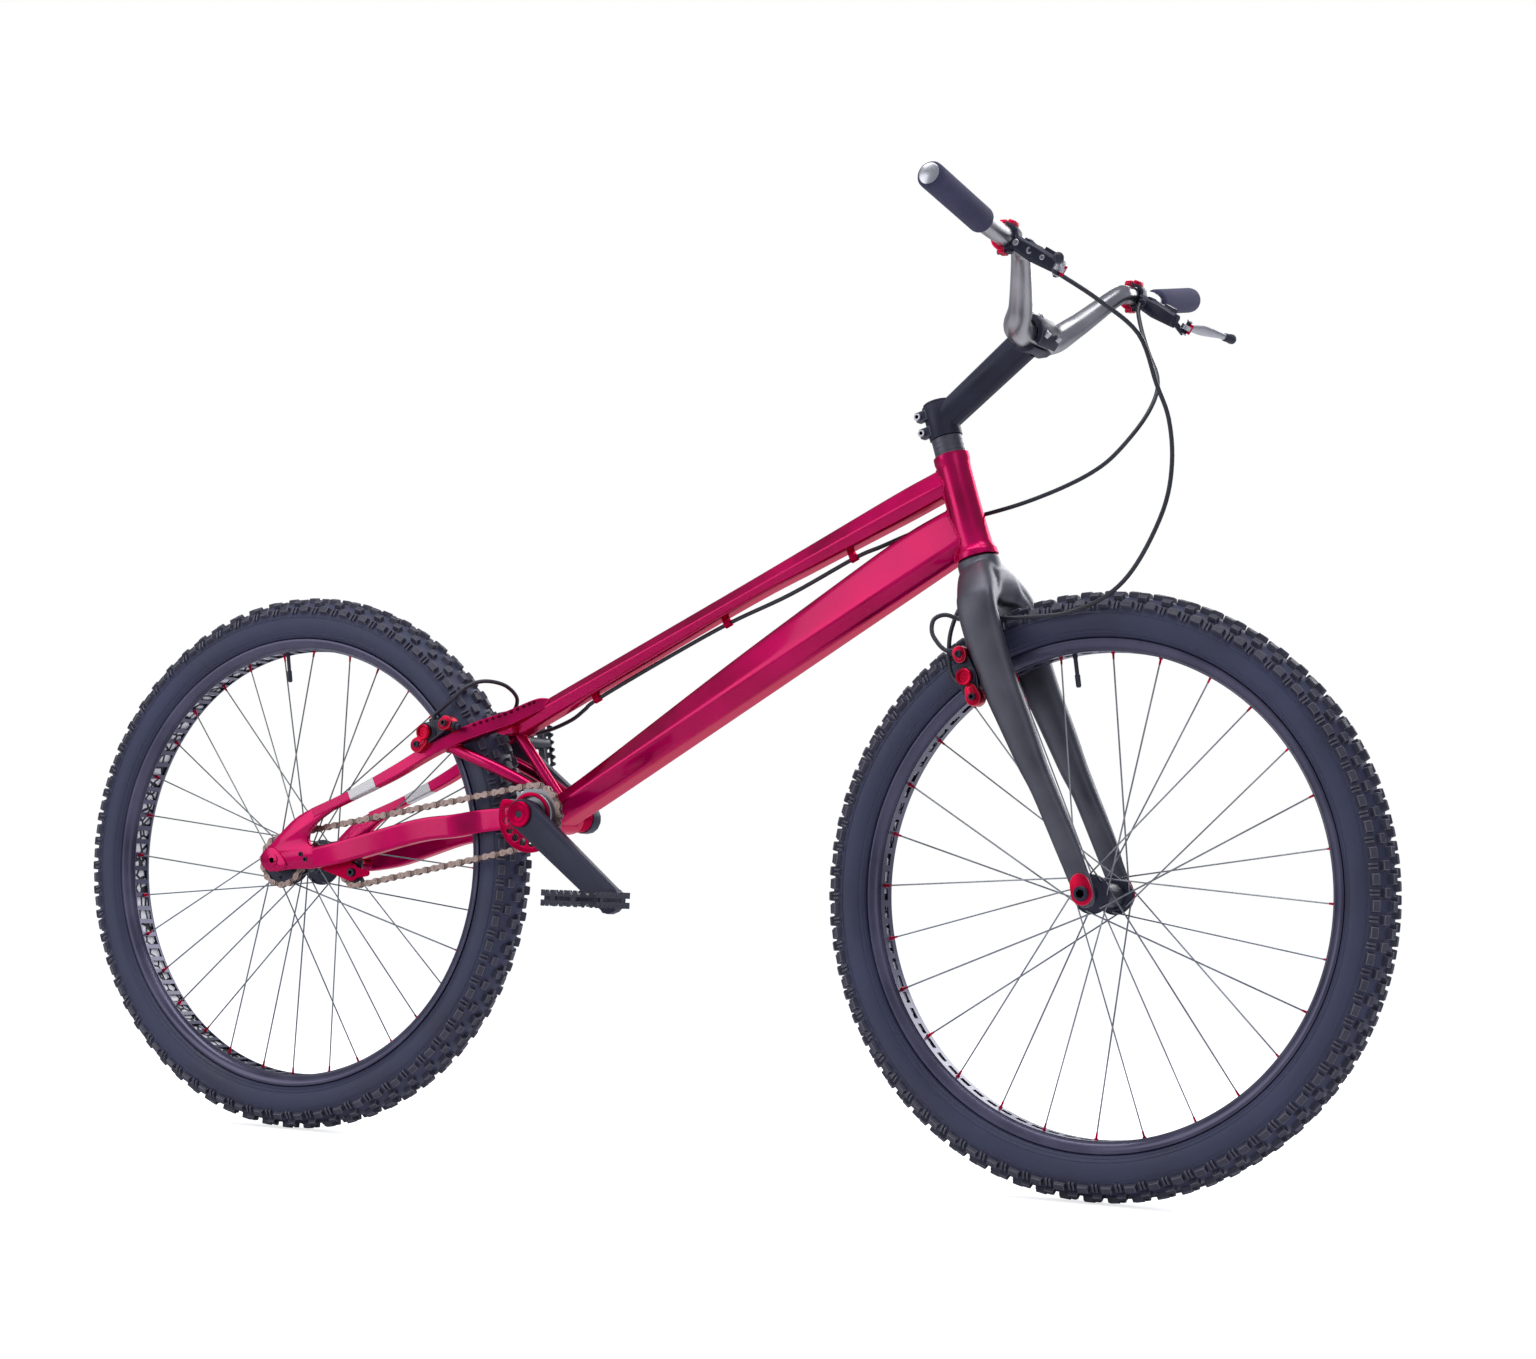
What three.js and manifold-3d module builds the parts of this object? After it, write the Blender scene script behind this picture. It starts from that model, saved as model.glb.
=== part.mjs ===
// Trials bike with 26 inch wheels. Millimetres, +X forwards, +Y to the rider's left, +Z up.
// The origin is the centre of the bottom bracket. Every sub-part is one named mesh.
import * as THREE from "three";
import { mergeVertices } from "three/addons/utils/BufferGeometryUtils.js";
import Module from "manifold-3d";

const wasm = await Module();
wasm.setup();

// Driving dimensions of the bicycle
const WHEELBASE = 1102;
const CHAINSTAY_LENGTH = 382;
const BRACKET_RISE = 67; // bottom bracket above the axles
const HEAD_ANGLE = 72; // degrees, steering axis above the ground
const FORK_OFFSET = 45; // front axle ahead of the steering axis
const FORK_LENGTH = 409; // axle to crown race, along the steering axis
const HEAD_TUBE_LENGTH = 125;
const TYRE_RADIUS = 337;
const REAR_HUB_WIDTH = 116;
const FRONT_HUB_WIDTH = 100;
const CRANK_LENGTH = 170;
const CRANK_DROP = 34.8; // degrees, right crank below the horizontal
const CHAIN_LINE = 46; // chain's middle to the right of the bike's middle
const CHAIN_PITCH = 12.7;
const FREEWHEEL_TEETH = 18;
const REAR_COG_TEETH = 15;
const PULLEY_TEETH = 8;
const BAR_WIDTH = 724;
const GAP = 0.3; // between pieces that touch
const OVERRUN = 2; // how far a cut goes past what it cuts

const DEG = Math.PI / 180;
const FULL_CIRCLE = 360;
const HALF = 1 / 2;
const headCos = Math.cos(HEAD_ANGLE * DEG);
const headSin = Math.sin(HEAD_ANGLE * DEG);
const V = (x, y, z) => new THREE.Vector3(x, y, z);
const rearAxle = V(-Math.sqrt(CHAINSTAY_LENGTH ** 2 - BRACKET_RISE ** 2), 0, -BRACKET_RISE);
const frontAxle = V(rearAxle.x + WHEELBASE, 0, -BRACKET_RISE);
// The foot of the front axle on the steering axis
const steeringFoot = V(frontAxle.x - FORK_OFFSET * headSin, 0, frontAxle.z - FORK_OFFSET * headCos);

const paint = (color, roughness, metalness) =>
  new THREE.MeshStandardMaterial({ color, roughness, metalness });
const RED = paint(0xc80032, 0.28, 0.6);
const RED_ANODISED = paint(0xd01030, 0.35, 0.7);
const FORK_GREY = paint(0x3c3c44, 0.45, 0.5);
const BLACK = paint(0x14151c, 0.4, 0.4);
const BLACK_SATIN = paint(0x1a1c28, 0.55, 0.3);
const RUBBER = paint(0x222228, 0.85, 0);
const FOAM = paint(0x1c1c22, 0.95, 0);
const SILVER = paint(0xc4c6ca, 0.25, 0.95);
const STEEL = paint(0x9a9184, 0.35, 0.9);
const HOSE = paint(0x101014, 0.5, 0);

// Solids and meshes

function toSolid(geometry) {
  const bare = geometry.clone();
  bare.deleteAttribute("normal");
  bare.deleteAttribute("uv");
  const merged = mergeVertices(bare, 1e-4);
  return new wasm.Manifold(
    new wasm.Mesh({
      numProp: 3,
      vertProperties: new Float32Array(merged.attributes.position.array),
      triVerts: new Uint32Array(merged.index.array),
    }),
  );
}

function toGeometry(solid) {
  const mesh = solid.getMesh();
  const positions = new Float32Array(mesh.numVert * 3);
  for (let i = 0; i < mesh.numVert; i++)
    for (let k = 0; k < 3; k++) positions[i * 3 + k] = mesh.vertProperties[i * mesh.numProp + k];
  const geometry = new THREE.BufferGeometry();
  geometry.setAttribute("position", new THREE.BufferAttribute(positions, 3));
  geometry.setIndex(new THREE.BufferAttribute(new Uint32Array(mesh.triVerts), 1));
  return geometry;
}

const solidOf = (shape) => (shape.isBufferGeometry ? toSolid(shape) : shape);
const join = (...shapes) => shapes.map(solidOf).reduce((a, b) => a.add(b));
const cut = (body, ...tools) => tools.map(solidOf).reduce((a, b) => a.subtract(b), solidOf(body));
const mirrored = (shape) => solidOf(shape).mirror([0, 1, 0]);

const bike = new THREE.Group();

function part(name, shape, material, parent = bike) {
  const geometry = shape.isBufferGeometry ? shape : toGeometry(shape);
  geometry.computeVertexNormals();
  const mesh = new THREE.Mesh(geometry, material);
  mesh.name = name;
  parent.add(mesh);
  return mesh;
}

// A group whose z axis is the steering axis and whose x axis points forwards from it
function steeringGroup() {
  const group = new THREE.Group();
  group.position.copy(steeringFoot);
  group.rotation.y = -(90 - HEAD_ANGLE) * DEG;
  bike.add(group);
  return group;
}

function groupAt(position, turn = 0) {
  const group = new THREE.Group();
  group.position.copy(position);
  group.rotation.y = turn;
  bike.add(group);
  return group;
}

// From the steering group's own axes to the bike's
const fromSteering = (p) =>
  V(
    steeringFoot.x + p.x * headSin - p.z * headCos,
    p.y,
    steeringFoot.z + p.x * headCos + p.z * headSin,
  );

// Shape makers

const boxAt = (w, d, h, x, y, z) => new THREE.BoxGeometry(w, d, h).translate(x, y, z);

// A round bar along Y, between two values of y
function pinY(radius, y0, y1, x = 0, z = 0, sides = 16) {
  const length = Math.abs(y1 - y0);
  return new THREE.CylinderGeometry(radius, radius, length, sides).translate(x, (y0 + y1) * HALF, z);
}

// A round bar along Z, between two values of z
function pinZ(radius, z0, z1, x = 0, y = 0, sides = 16) {
  const bar = new THREE.CylinderGeometry(radius, radius, z1 - z0, sides);
  return bar.rotateX(Math.PI * HALF).translate(x, y, (z0 + z1) * HALF);
}

// A round bar between two points
function strut(from, to, radius, sides) {
  const run = to.clone().sub(from);
  const bar = new THREE.CylinderGeometry(radius, radius, run.length(), sides);
  const turn = new THREE.Quaternion().setFromUnitVectors(V(0, 1, 0), run.normalize());
  return bar.applyQuaternion(turn).translate(...from.clone().add(to).multiplyScalar(HALF).toArray());
}

// Profile points are [radius, y]; the ring turns about Y
function ringY(profile, segments) {
  const points = [...profile, profile[0]].map(([r, y]) => new THREE.Vector2(r, y));
  return outwards(new THREE.LatheGeometry(points, segments));
}

const ringZ = (profile, segments) => ringY(profile, segments).rotateX(Math.PI * HALF);

// Turns a closed skin's faces outwards, whichever way its profile was drawn
function outwards(geometry) {
  const merged = mergeVertices(stripped(geometry), 1e-4);
  const p = merged.attributes.position;
  const index = merged.index;
  let volume = 0;
  const faces = [];
  const [a, b, c] = [V(0, 0, 0), V(0, 0, 0), V(0, 0, 0)];
  for (let i = 0; i < index.count; i += 3) {
    const face = [index.getX(i), index.getX(i + 1), index.getX(i + 2)];
    if (new Set(face).size < 3) continue;
    faces.push(face);
    a.fromBufferAttribute(p, face[0]);
    b.fromBufferAttribute(p, face[1]);
    c.fromBufferAttribute(p, face[2]);
    volume += a.dot(b.cross(c));
  }
  merged.setIndex(faces.flatMap((face) => (volume < 0 ? face.reverse() : face)));
  return merged;
}

function stripped(geometry) {
  geometry.deleteAttribute("normal");
  geometry.deleteAttribute("uv");
  return geometry;
}

// A skin through sections that have the same number of points, with flat ends
function loft(sections) {
  const count = sections[0].length;
  const faces = [];
  for (let s = 0; s + 1 < sections.length; s++)
    for (let i = 0; i < count; i++) {
      const a = s * count + i;
      const b = s * count + ((i + 1) % count);
      faces.push(a, b, b + count, a, b + count, a + count);
    }
  const last = (sections.length - 1) * count;
  for (let i = 1; i + 1 < count; i++) faces.push(0, i + 1, i, last, last + i, last + i + 1);
  const geometry = new THREE.BufferGeometry();
  const positions = sections.flat().flatMap((p) => p.toArray());
  geometry.setAttribute("position", new THREE.Float32BufferAttribute(positions, 3));
  geometry.setIndex(faces);
  return outwards(geometry);
}

// Outlines as shares of a half width and a half height
const ovalShares = (sides) =>
  Array.from({ length: sides }, (_, i) => {
    const turn = ((i + HALF) * 2 * Math.PI) / sides;
    return [Math.cos(turn), Math.sin(turn)];
  });
const ROUND_12 = ovalShares(12);
const ROUND_8 = ovalShares(8);
const ROUND_6 = ovalShares(6);
const softBoxShares = (inner) =>
  [
    [1, -inner],
    [1, inner],
    [inner, 1],
    [-inner, 1],
    [-1, inner],
    [-1, -inner],
    [-inner, -1],
    [inner, -1],
  ];
const SOFT_BOX = softBoxShares(0.62);
// A formed tube: a narrow top, two creases at the sides and a narrow underside
const creasedShares = (crease, top, under) => {
  const right = [
    [under, -1],
    [under + 0.2, -0.9],
    [1, crease - 0.08],
    [1, crease + 0.1],
    [top + 0.2, 0.88],
    [top, 1],
  ];
  return [...right, ...right.map(([u, v]) => [-u, v]).reverse()];
};

const SIDEWAYS = V(0, 1, 0);
const FORWARDS = V(1, 0, 0);

// A section of half width w (towards `aside`) and half height h, square to the way the path runs
function section(centre, along, w, h, shares, aside) {
  const run = along.clone().normalize();
  const side = aside.clone().addScaledVector(run, -run.dot(aside)).normalize();
  const up = run.clone().cross(side);
  return shares.map(([u, v]) => centre.clone().addScaledVector(side, u * w).addScaledVector(up, v * h));
}

// Stations are { at, w, h } and can have an outline of their own
function tubeThrough(stations, shares, grow = 0, aside = SIDEWAYS) {
  return loft(
    stations.map(({ at, w, h, outline }, i) => {
      const before = stations[Math.max(i - 1, 0)].at;
      const after = stations[Math.min(i + 1, stations.length - 1)].at;
      const run = after.clone().sub(before);
      return section(at, run, w + grow, h + grow, outline ?? shares, aside);
    }),
  );
}

// Points as vectors, wound anticlockwise (1) or clockwise (-1)
function wound(points, sense) {
  const vectors = points.map(([u, v]) => new THREE.Vector2(u, v));
  return Math.sign(THREE.ShapeUtils.area(vectors)) === sense ? vectors : vectors.reverse();
}

// A plate drawn in x and z, between two values of y
function plateY(outline, y0, y1, holes = []) {
  const shape = new THREE.Shape(wound(outline, 1));
  for (const hole of holes) shape.holes.push(new THREE.Path(wound(hole, -1)));
  const depth = Math.abs(y1 - y0);
  const plate = new THREE.ExtrudeGeometry(shape, { depth, bevelEnabled: false });
  return outwards(plate.rotateX(Math.PI * HALF).translate(0, Math.max(y0, y1), 0));
}

// A block drawn in x and y, between two values of z
function blockZ(outline, z0, z1) {
  const shape = new THREE.Shape(wound(outline, 1));
  const block = new THREE.ExtrudeGeometry(shape, { depth: z1 - z0, bevelEnabled: false });
  return outwards(block.translate(0, 0, z0));
}

const arc = (cx, cz, radius, from, to, steps) =>
  Array.from({ length: steps + 1 }, (_, i) => {
    const turn = (from + ((to - from) * i) / steps) * DEG;
    return [cx + radius * Math.cos(turn), cz + radius * Math.sin(turn)];
  });

// A link-like outline: two round ends of different radius joined by straight edges
function linkOutline(x0, z0, r0, x1, z1, r1, steps) {
  const turn = Math.atan2(z1 - z0, x1 - x0) / DEG;
  const lean = Math.acos((r0 - r1) / Math.hypot(x1 - x0, z1 - z0)) / DEG;
  return [
    ...arc(x0, z0, r0, turn + lean, turn + FULL_CIRCLE - lean, steps),
    ...arc(x1, z1, r1, turn - lean, turn + lean, steps),
  ];
}

// A round hose along a smooth route
function hose(points, radius, steps) {
  const route = new THREE.CatmullRomCurve3(points.map((p) => V(...p)));
  const shape = new THREE.Shape(ovalShares(5).map(([u, v]) => new THREE.Vector2(u * radius, v * radius)));
  const tube = new THREE.ExtrudeGeometry(shape, { steps, bevelEnabled: false, extrudePath: route });
  return outwards(tube);
}

// The envelope of a piece is its solid grown by the gap, which cuts the pieces that meet it

// Head tube, along the steering axis

const HEAD_TUBE = { bore: 15, bottom: 25, waist: 21.5, neck: 19.5, top: 20.5, cup: 8, flare: 14, collar: 8 };
const STEERER_RADIUS = 14.3;
const headBottom = FORK_LENGTH + GAP;
const headTop = headBottom + HEAD_TUBE_LENGTH;

function headTubeProfile(inner, grow) {
  const { bottom, waist, neck, top, cup, flare, collar } = HEAD_TUBE;
  return [
    [inner, headBottom - grow],
    [bottom + grow, headBottom - grow],
    [bottom + grow, headBottom + cup],
    [waist + grow, headBottom + flare],
    [neck + grow, headTop - collar - cup],
    [top + grow, headTop - collar],
    [top + grow, headTop + grow],
    [inner, headTop + grow],
  ];
}

// Moves a shape drawn in the steering group's axes into the bike's
function steeringToBike(shape) {
  const move = new THREE.Matrix4().makeRotationY(-(90 - HEAD_ANGLE) * DEG).setPosition(steeringFoot);
  return shape.clone().applyMatrix4(move);
}

const headEnvelope = toSolid(steeringToBike(ringZ(headTubeProfile(0, GAP), 18)));
part("head_tube", ringZ(headTubeProfile(HEAD_TUBE.bore, 0), 18), RED, steeringGroup());

// Bottom bracket shell

const BRACKET = { radius: 21, bore: 10, width: 73, lip: 19, lipWidth: 4 };
const CRANK_AXLE_RADIUS = 9.6;
const bracketEnd = BRACKET.width * HALF;
const bracketEnvelope = toSolid(pinY(BRACKET.radius + GAP, -bracketEnd - GAP, bracketEnd + GAP, 0, 0, 18));
part(
  "bottom_bracket_shell",
  ringY(
    [
      [BRACKET.bore, -bracketEnd],
      [BRACKET.lip, -bracketEnd],
      [BRACKET.radius, -bracketEnd + BRACKET.lipWidth],
      [BRACKET.radius, bracketEnd - BRACKET.lipWidth],
      [BRACKET.lip, bracketEnd],
      [BRACKET.bore, bracketEnd],
    ],
    18,
  ),
  RED,
);

// Top tube and down tube. Rows are shares: way along, lift, half width, half height, crease, top, underside

const TOP_TUBE = { tailBack: 54, tailRise: 108.8, meet: 497, width: 36, height: 33.2 };
const TOP_TUBE_SHARES = [
  [0, 0, 0.83, 0.72, 0.1, 0.45, 0.55],
  [0.063, 0.03, 0.94, 0.73, 0.1, 0.45, 0.55],
  [0.5015, 0.25, 1, 0.66, -0.3, 0.4, 0.55],
  [0.6856, 0.28, 1, 0.8, -0.25, 0.4, 0.55],
  [0.883, 0.3, 1, 1, -0.25, 0.4, 0.55],
  [0.9615, 0.14, 1, 0.77, -0.3, 0.4, 0.55],
  [1, 0, 0.85, 0.72, -0.3, 0.4, 0.55],
];
const DOWN_TUBE = { startAhead: 10, startRise: 4, meet: 447.6, width: 62, height: 63 };
const DOWN_TUBE_SHARES = [
  [0, 0, 1, 0.54, 0, 0.5, 0.5],
  [0.035, 0, 1, 0.55, 0, 0.5, 0.5],
  [0.127, 0, 0.98, 0.61, 0, 0.45, 0.5],
  [0.461, 0.045, 0.97, 0.83, -0.3, 0.4, 0.45],
  [0.7256, 0.055, 0.9, 0.95, -0.45, 0.4, 0.4],
  [0.879, 0.05, 0.8, 1, -0.5, 0.4, 0.4],
  [0.963, 0.015, 0.71, 0.95, -0.5, 0.4, 0.4],
  [1, 0, 0.62, 0.86, -0.5, 0.4, 0.4],
];

function formedTube(from, to, { width, height }, rows, grow = 0) {
  const run = to.clone().sub(from);
  const up = V(-run.z, 0, run.x).normalize();
  const stations = rows.map(([along, lift, w, h, crease, top, under]) => ({
    at: from.clone().addScaledVector(run, along).addScaledVector(up, lift * height),
    w: w * width * HALF,
    h: h * height * HALF,
    outline: creasedShares(crease, top, under),
  }));
  return toSolid(tubeThrough(stations, null, grow));
}

const topTube = (grow) =>
  formedTube(
    V(-TOP_TUBE.tailBack, 0, TOP_TUBE.tailRise),
    fromSteering(V(0, 0, TOP_TUBE.meet)),
    TOP_TUBE,
    TOP_TUBE_SHARES,
    grow,
  );
const downTube = (grow) =>
  formedTube(
    V(DOWN_TUBE.startAhead, 0, DOWN_TUBE.startRise),
    fromSteering(V(0, 0, DOWN_TUBE.meet)),
    DOWN_TUBE,
    DOWN_TUBE_SHARES,
    grow,
  );
const topTubeEnvelope = topTube(GAP);
const downTubeEnvelope = downTube(GAP);
part("top_tube", cut(topTube(0), headEnvelope), RED);
part("down_tube", cut(downTube(0), headEnvelope, bracketEnvelope), RED);

// The short seat tube ahead of the rear tyre

const SEAT_TUBE = { radius: 9, topBack: 58, topRise: 103, footAhead: 12, footRise: 18 };
const seatTube = (grow) =>
  toSolid(
    strut(
      V(-SEAT_TUBE.topBack, 0, SEAT_TUBE.topRise),
      V(SEAT_TUBE.footAhead, 0, SEAT_TUBE.footRise),
      SEAT_TUBE.radius + grow,
      12,
    ),
  );
part("seat_tube", cut(seatTube(0), topTubeEnvelope, downTubeEnvelope, bracketEnvelope), RED);

// Stays. Rows are shares of the rear centre distance and of the hub's width, then half width and half height

const STAY = { width: 16, height: 18 };
const SEATSTAY_SHARES = [
  [-0.832, 0.517, -0.016, 0.75, 0.7],
  [-0.688, 0.517, 0.045, 0.75, 0.64],
  [-0.531, 0.5, 0.119, 0.9, 0.8],
  [-0.421, 0.466, 0.181, 1, 0.83],
  [-0.346, 0.414, 0.223, 1, 0.9],
  [-0.241, 0.328, 0.269, 1, 1],
  [-0.146, 0.224, 0.306, 1, 1],
  [-0.047, 0.121, 0.356, 0.75, 0.9],
];
const CHAINSTAY = { width: 15, height: 28 };
const CHAINSTAY_SHARES = [
  [-0.817, 0.526, -0.162, 0.93, 0.93],
  [-0.696, 0.526, -0.136, 0.93, 1],
  [-0.445, 0.409, -0.063, 1, 1],
  [-0.304, 0.371, -0.042, 0.93, 1],
  [-0.213, 0.322, -0.024, 0.53, 1],
  [-0.118, 0.322, -0.013, 0.53, 0.96],
  [-0.03, 0.28, -0.003, 0.5, 0.9],
];
const BRIDGE_STRUT = { width: 14.5, height: 14.5 };
const BRIDGE_STRUT_SHARES = [
  [-0.346, 0.379, 0.219, 1, 1],
  [-0.301, 0.362, 0.198, 1, 1],
  [-0.183, 0.345, 0.155, 1, 1],
  [-0.076, 0.29, 0.108, 1, 1],
  [0.01, 0.24, 0.06, 1, 1],
];

function stay(rows, { width, height }, outline, grow) {
  const stations = rows.map(([x, y, z, w, h]) => ({
    at: V(x * CHAINSTAY_LENGTH, -y * REAR_HUB_WIDTH, z * CHAINSTAY_LENGTH),
    w: w * width * HALF,
    h: h * height * HALF,
  }));
  return toSolid(tubeThrough(stations, outline, grow));
}

const seatstay = (grow) => stay(SEATSTAY_SHARES, STAY, SOFT_BOX, grow);
const chainstay = (grow) => stay(CHAINSTAY_SHARES, CHAINSTAY, SOFT_BOX, grow);
const bridgeStrut = stay(BRIDGE_STRUT_SHARES, BRIDGE_STRUT, ROUND_8, 0);

// Dropouts. The outline is in shares of its length and height, from the axle

const DROPOUT = { length: 112, height: 71, thickness: 7.4, end: 16, slot: 5.3 };
const DROPOUT_SHARES = [
  [0.29, 0.72],
  [0.41, 0.87],
  [0.52, 1],
  [0.62, 0.88],
  [0.55, 0.42],
  [0.66, 0.27],
  [1, 0.31],
  [1, 0.08],
  [0.51, -0.12],
];
const DROPOUT_WINDOW_SHARES = [
  [0.3, 0.52],
  [0.44, 0.5],
  [0.45, 0.3],
];
const AXLE_RADIUS = 4.8;
const dropoutInner = REAR_HUB_WIDTH * HALF + GAP;
const dropoutOuter = dropoutInner + DROPOUT.thickness;
const GUIDE_PULLEY = { ahead: 56.2, rise: 4, pin: 4, pinEnd: 40.5 };
const guidePulley = V(rearAxle.x + GUIDE_PULLEY.ahead, 0, rearAxle.z + GUIDE_PULLEY.rise);

function dropout(grow) {
  const place = ([x, z]) => [rearAxle.x + x * DROPOUT.length, rearAxle.z + z * DROPOUT.height];
  const outline = [
    ...DROPOUT_SHARES.map(place),
    ...arc(rearAxle.x, rearAxle.z, DROPOUT.end, 270, 130, 6),
  ];
  const plate = plateY(outline, -dropoutOuter - grow, -dropoutInner + grow, [
    DROPOUT_WINDOW_SHARES.map(place),
  ]);
  const [near, far] = [dropoutInner - OVERRUN, dropoutOuter + OVERRUN];
  return cut(plate, pinY(DROPOUT.slot, -far, -near, rearAxle.x, rearAxle.z, 12));
}

const guidePin = pinY(
  GUIDE_PULLEY.pin,
  -GUIDE_PULLEY.pinEnd,
  -dropoutInner - GAP,
  guidePulley.x,
  guidePulley.z,
  10,
);
const plainDropout = dropout(0);
const dropoutEnvelope = dropout(GAP);
const seatstayEnvelope = seatstay(GAP);
const chainstayEnvelope = chainstay(GAP);
const frameTubes = [topTubeEnvelope, downTubeEnvelope, bracketEnvelope];
const rightSeatstay = cut(seatstay(0), dropoutEnvelope, ...frameTubes);
const rightChainstay = cut(chainstay(0), dropoutEnvelope, downTubeEnvelope, bracketEnvelope);
const rightStrut = cut(bridgeStrut, seatstayEnvelope, chainstayEnvelope, downTubeEnvelope, bracketEnvelope);
part("seatstay_right", rightSeatstay, RED);
part("seatstay_left", mirrored(rightSeatstay), RED);
part("chainstay_right", rightChainstay, RED);
part("chainstay_left", mirrored(rightChainstay), RED);
part("seat_strut_right", rightStrut, RED);
part("seat_strut_left", mirrored(rightStrut), RED);
part("dropout_right", join(plainDropout, guidePin), RED);
part("dropout_left", mirrored(plainDropout), RED);

// The yoke joins the seatstays behind the seat tube, clear of the tyre

const YOKE = { length: 28, height: 22, halfWidth: 27, back: 79, rise: 97 };
const YOKE_SHARES = [
  [0, 0.5],
  [0.22, 0.12],
  [0.6, 0],
  [1, 0.2],
  [1, 0.9],
  [0.5, 1],
  [0.1, 0.86],
];
const yokeOutline = YOKE_SHARES.map(([x, z]) => [x * YOKE.length - YOKE.back, z * YOKE.height + YOKE.rise]);
part(
  "stay_yoke",
  cut(
    plateY(yokeOutline, -YOKE.halfWidth, YOKE.halfWidth),
    seatstayEnvelope,
    mirrored(seatstayEnvelope),
    topTubeEnvelope,
    seatTube(GAP),
  ),
  RED,
);

// Wheels, drawn about their axles

const WHEEL_SIDES = 36;
const RIM = { nipple: 270, bead: 273, wall: 283, seat: 275, wallThickness: 2, floor: 14 };
const REAR_RIM_WIDTH = 47;
const FRONT_RIM_WIDTH = 42;
const TYRE_WIDTH = 62;
const TYRE_SHARES = [
  [0.28, 1],
  [0.6, 0.98],
  [0.88, 0.7],
  [1, 0.2],
];

function rim(width) {
  const { nipple, bead, wall, seat, wallThickness, floor } = RIM;
  const outer = width * HALF;
  const inner = outer - wallThickness;
  const right = [
    [nipple, floor],
    [bead, outer],
    [wall, outer],
    [wall, inner],
    [seat, floor],
  ];
  return ringY([...right, ...right.map(([r, y]) => [r, -y]).reverse()], WHEEL_SIDES);
}

function tyre(rimWidth) {
  const inner = rimWidth * HALF - RIM.wallThickness - GAP;
  const depth = TYRE_RADIUS - RIM.wall - GAP;
  const right = [
    [RIM.seat + GAP * 2, RIM.floor],
    [RIM.wall + GAP, inner],
    ...TYRE_SHARES.map(([r, y]) => [RIM.wall + GAP + r * depth, y * TYRE_WIDTH * HALF]),
  ];
  const left = right.map(([r, y]) => [r, -y]);
  return ringY([...right, ...left.reverse()], WHEEL_SIDES);
}

const VALVE = { radius: 3, rise: 38 };
const VALVE_ANGLE = 12;
const SPOKE = { radius: 1.1, flangeInset: 3, lace: 2.4, rimSpread: 3, clear: 0.7 };

function rimWithValve(width) {
  const foot = V(0, 0, (RIM.nipple + RIM.seat) * HALF);
  const stem = strut(foot, V(0, 0, RIM.nipple - VALVE.rise), VALVE.radius, 6);
  return join(rim(width), stem.rotateY(VALVE_ANGLE * DEG));
}

// Half a crossing lies on each side of a flange, so spokes pass each other
function spokes(count, crossing, flanges) {
  const lines = [];
  for (let i = 0; i < count; i++) {
    const { y, radius } = flanges[i % 2];
    const lean = i % 4 < 2 ? 1 : -1;
    const rimTurn = (i * 2 * Math.PI) / count;
    const hubTurn = rimTurn + lean * crossing * DEG;
    const hubReach = radius - SPOKE.flangeInset;
    const rimReach = RIM.nipple * Math.cos(Math.PI / WHEEL_SIDES) - SPOKE.clear;
    const aside = Math.sign(y);
    lines.push(
      strut(
        V(hubReach * Math.cos(hubTurn), y + lean * SPOKE.lace * HALF, hubReach * Math.sin(hubTurn)),
        V(rimReach * Math.cos(rimTurn), aside * SPOKE.rimSpread, rimReach * Math.sin(rimTurn)),
        SPOKE.radius,
        3,
      ),
    );
  }
  return wasm.Manifold.union(lines.map(toSolid));
}

const HUB = { bore: 5.4, end: 9, barrel: 14, flangeWidth: 5 };
const FRONT_FLANGE = { radius: 22, right: 32, left: 32 };
const REAR_FLANGE = { radius: 29, right: 27, left: 36 };
const COG_SEAT = { radius: 12, start: 34, end: 51 };

function hubShell(width, flange, seat) {
  const { bore, end, barrel, flangeWidth } = HUB;
  const half = width * HALF;
  const thick = flangeWidth * HALF;
  const driveSide = seat
    ? [
        [end, -seat.end],
        [seat.radius, -seat.end],
        [seat.radius, -flange.right - thick],
      ]
    : [[end, -flange.right - thick]];
  return ringY(
    [
      [bore, -half],
      [end, -half],
      ...driveSide,
      [flange.radius, -flange.right - thick],
      [flange.radius, -flange.right + thick],
      [barrel, -flange.right + thick],
      [barrel, flange.left - thick],
      [flange.radius, flange.left - thick],
      [flange.radius, flange.left + thick],
      [end, flange.left + thick],
      [end, half],
      [bore, half],
    ],
    12,
  );
}

const FRONT_SPOKES = 28;
const REAR_SPOKES = 32;
const FRONT_CROSSING_ANGLE = 77;
const REAR_CROSSING_ANGLE = 67;
const flangePair = ({ radius, right, left }) => [
  { y: -right, radius },
  { y: left, radius },
];
const frontWheel = groupAt(frontAxle);
const rearWheel = groupAt(rearAxle);
const frontSpokes = spokes(FRONT_SPOKES, FRONT_CROSSING_ANGLE, flangePair(FRONT_FLANGE));
const rearSpokes = spokes(REAR_SPOKES, REAR_CROSSING_ANGLE, flangePair(REAR_FLANGE));
part("front_hub", join(hubShell(FRONT_HUB_WIDTH, FRONT_FLANGE), frontSpokes), BLACK, frontWheel);
part("rear_hub", join(hubShell(REAR_HUB_WIDTH, REAR_FLANGE, COG_SEAT), rearSpokes), BLACK, rearWheel);
part("front_rim", rimWithValve(FRONT_RIM_WIDTH), BLACK_SATIN, frontWheel);
part("rear_rim", rimWithValve(REAR_RIM_WIDTH), BLACK_SATIN, rearWheel);
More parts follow.
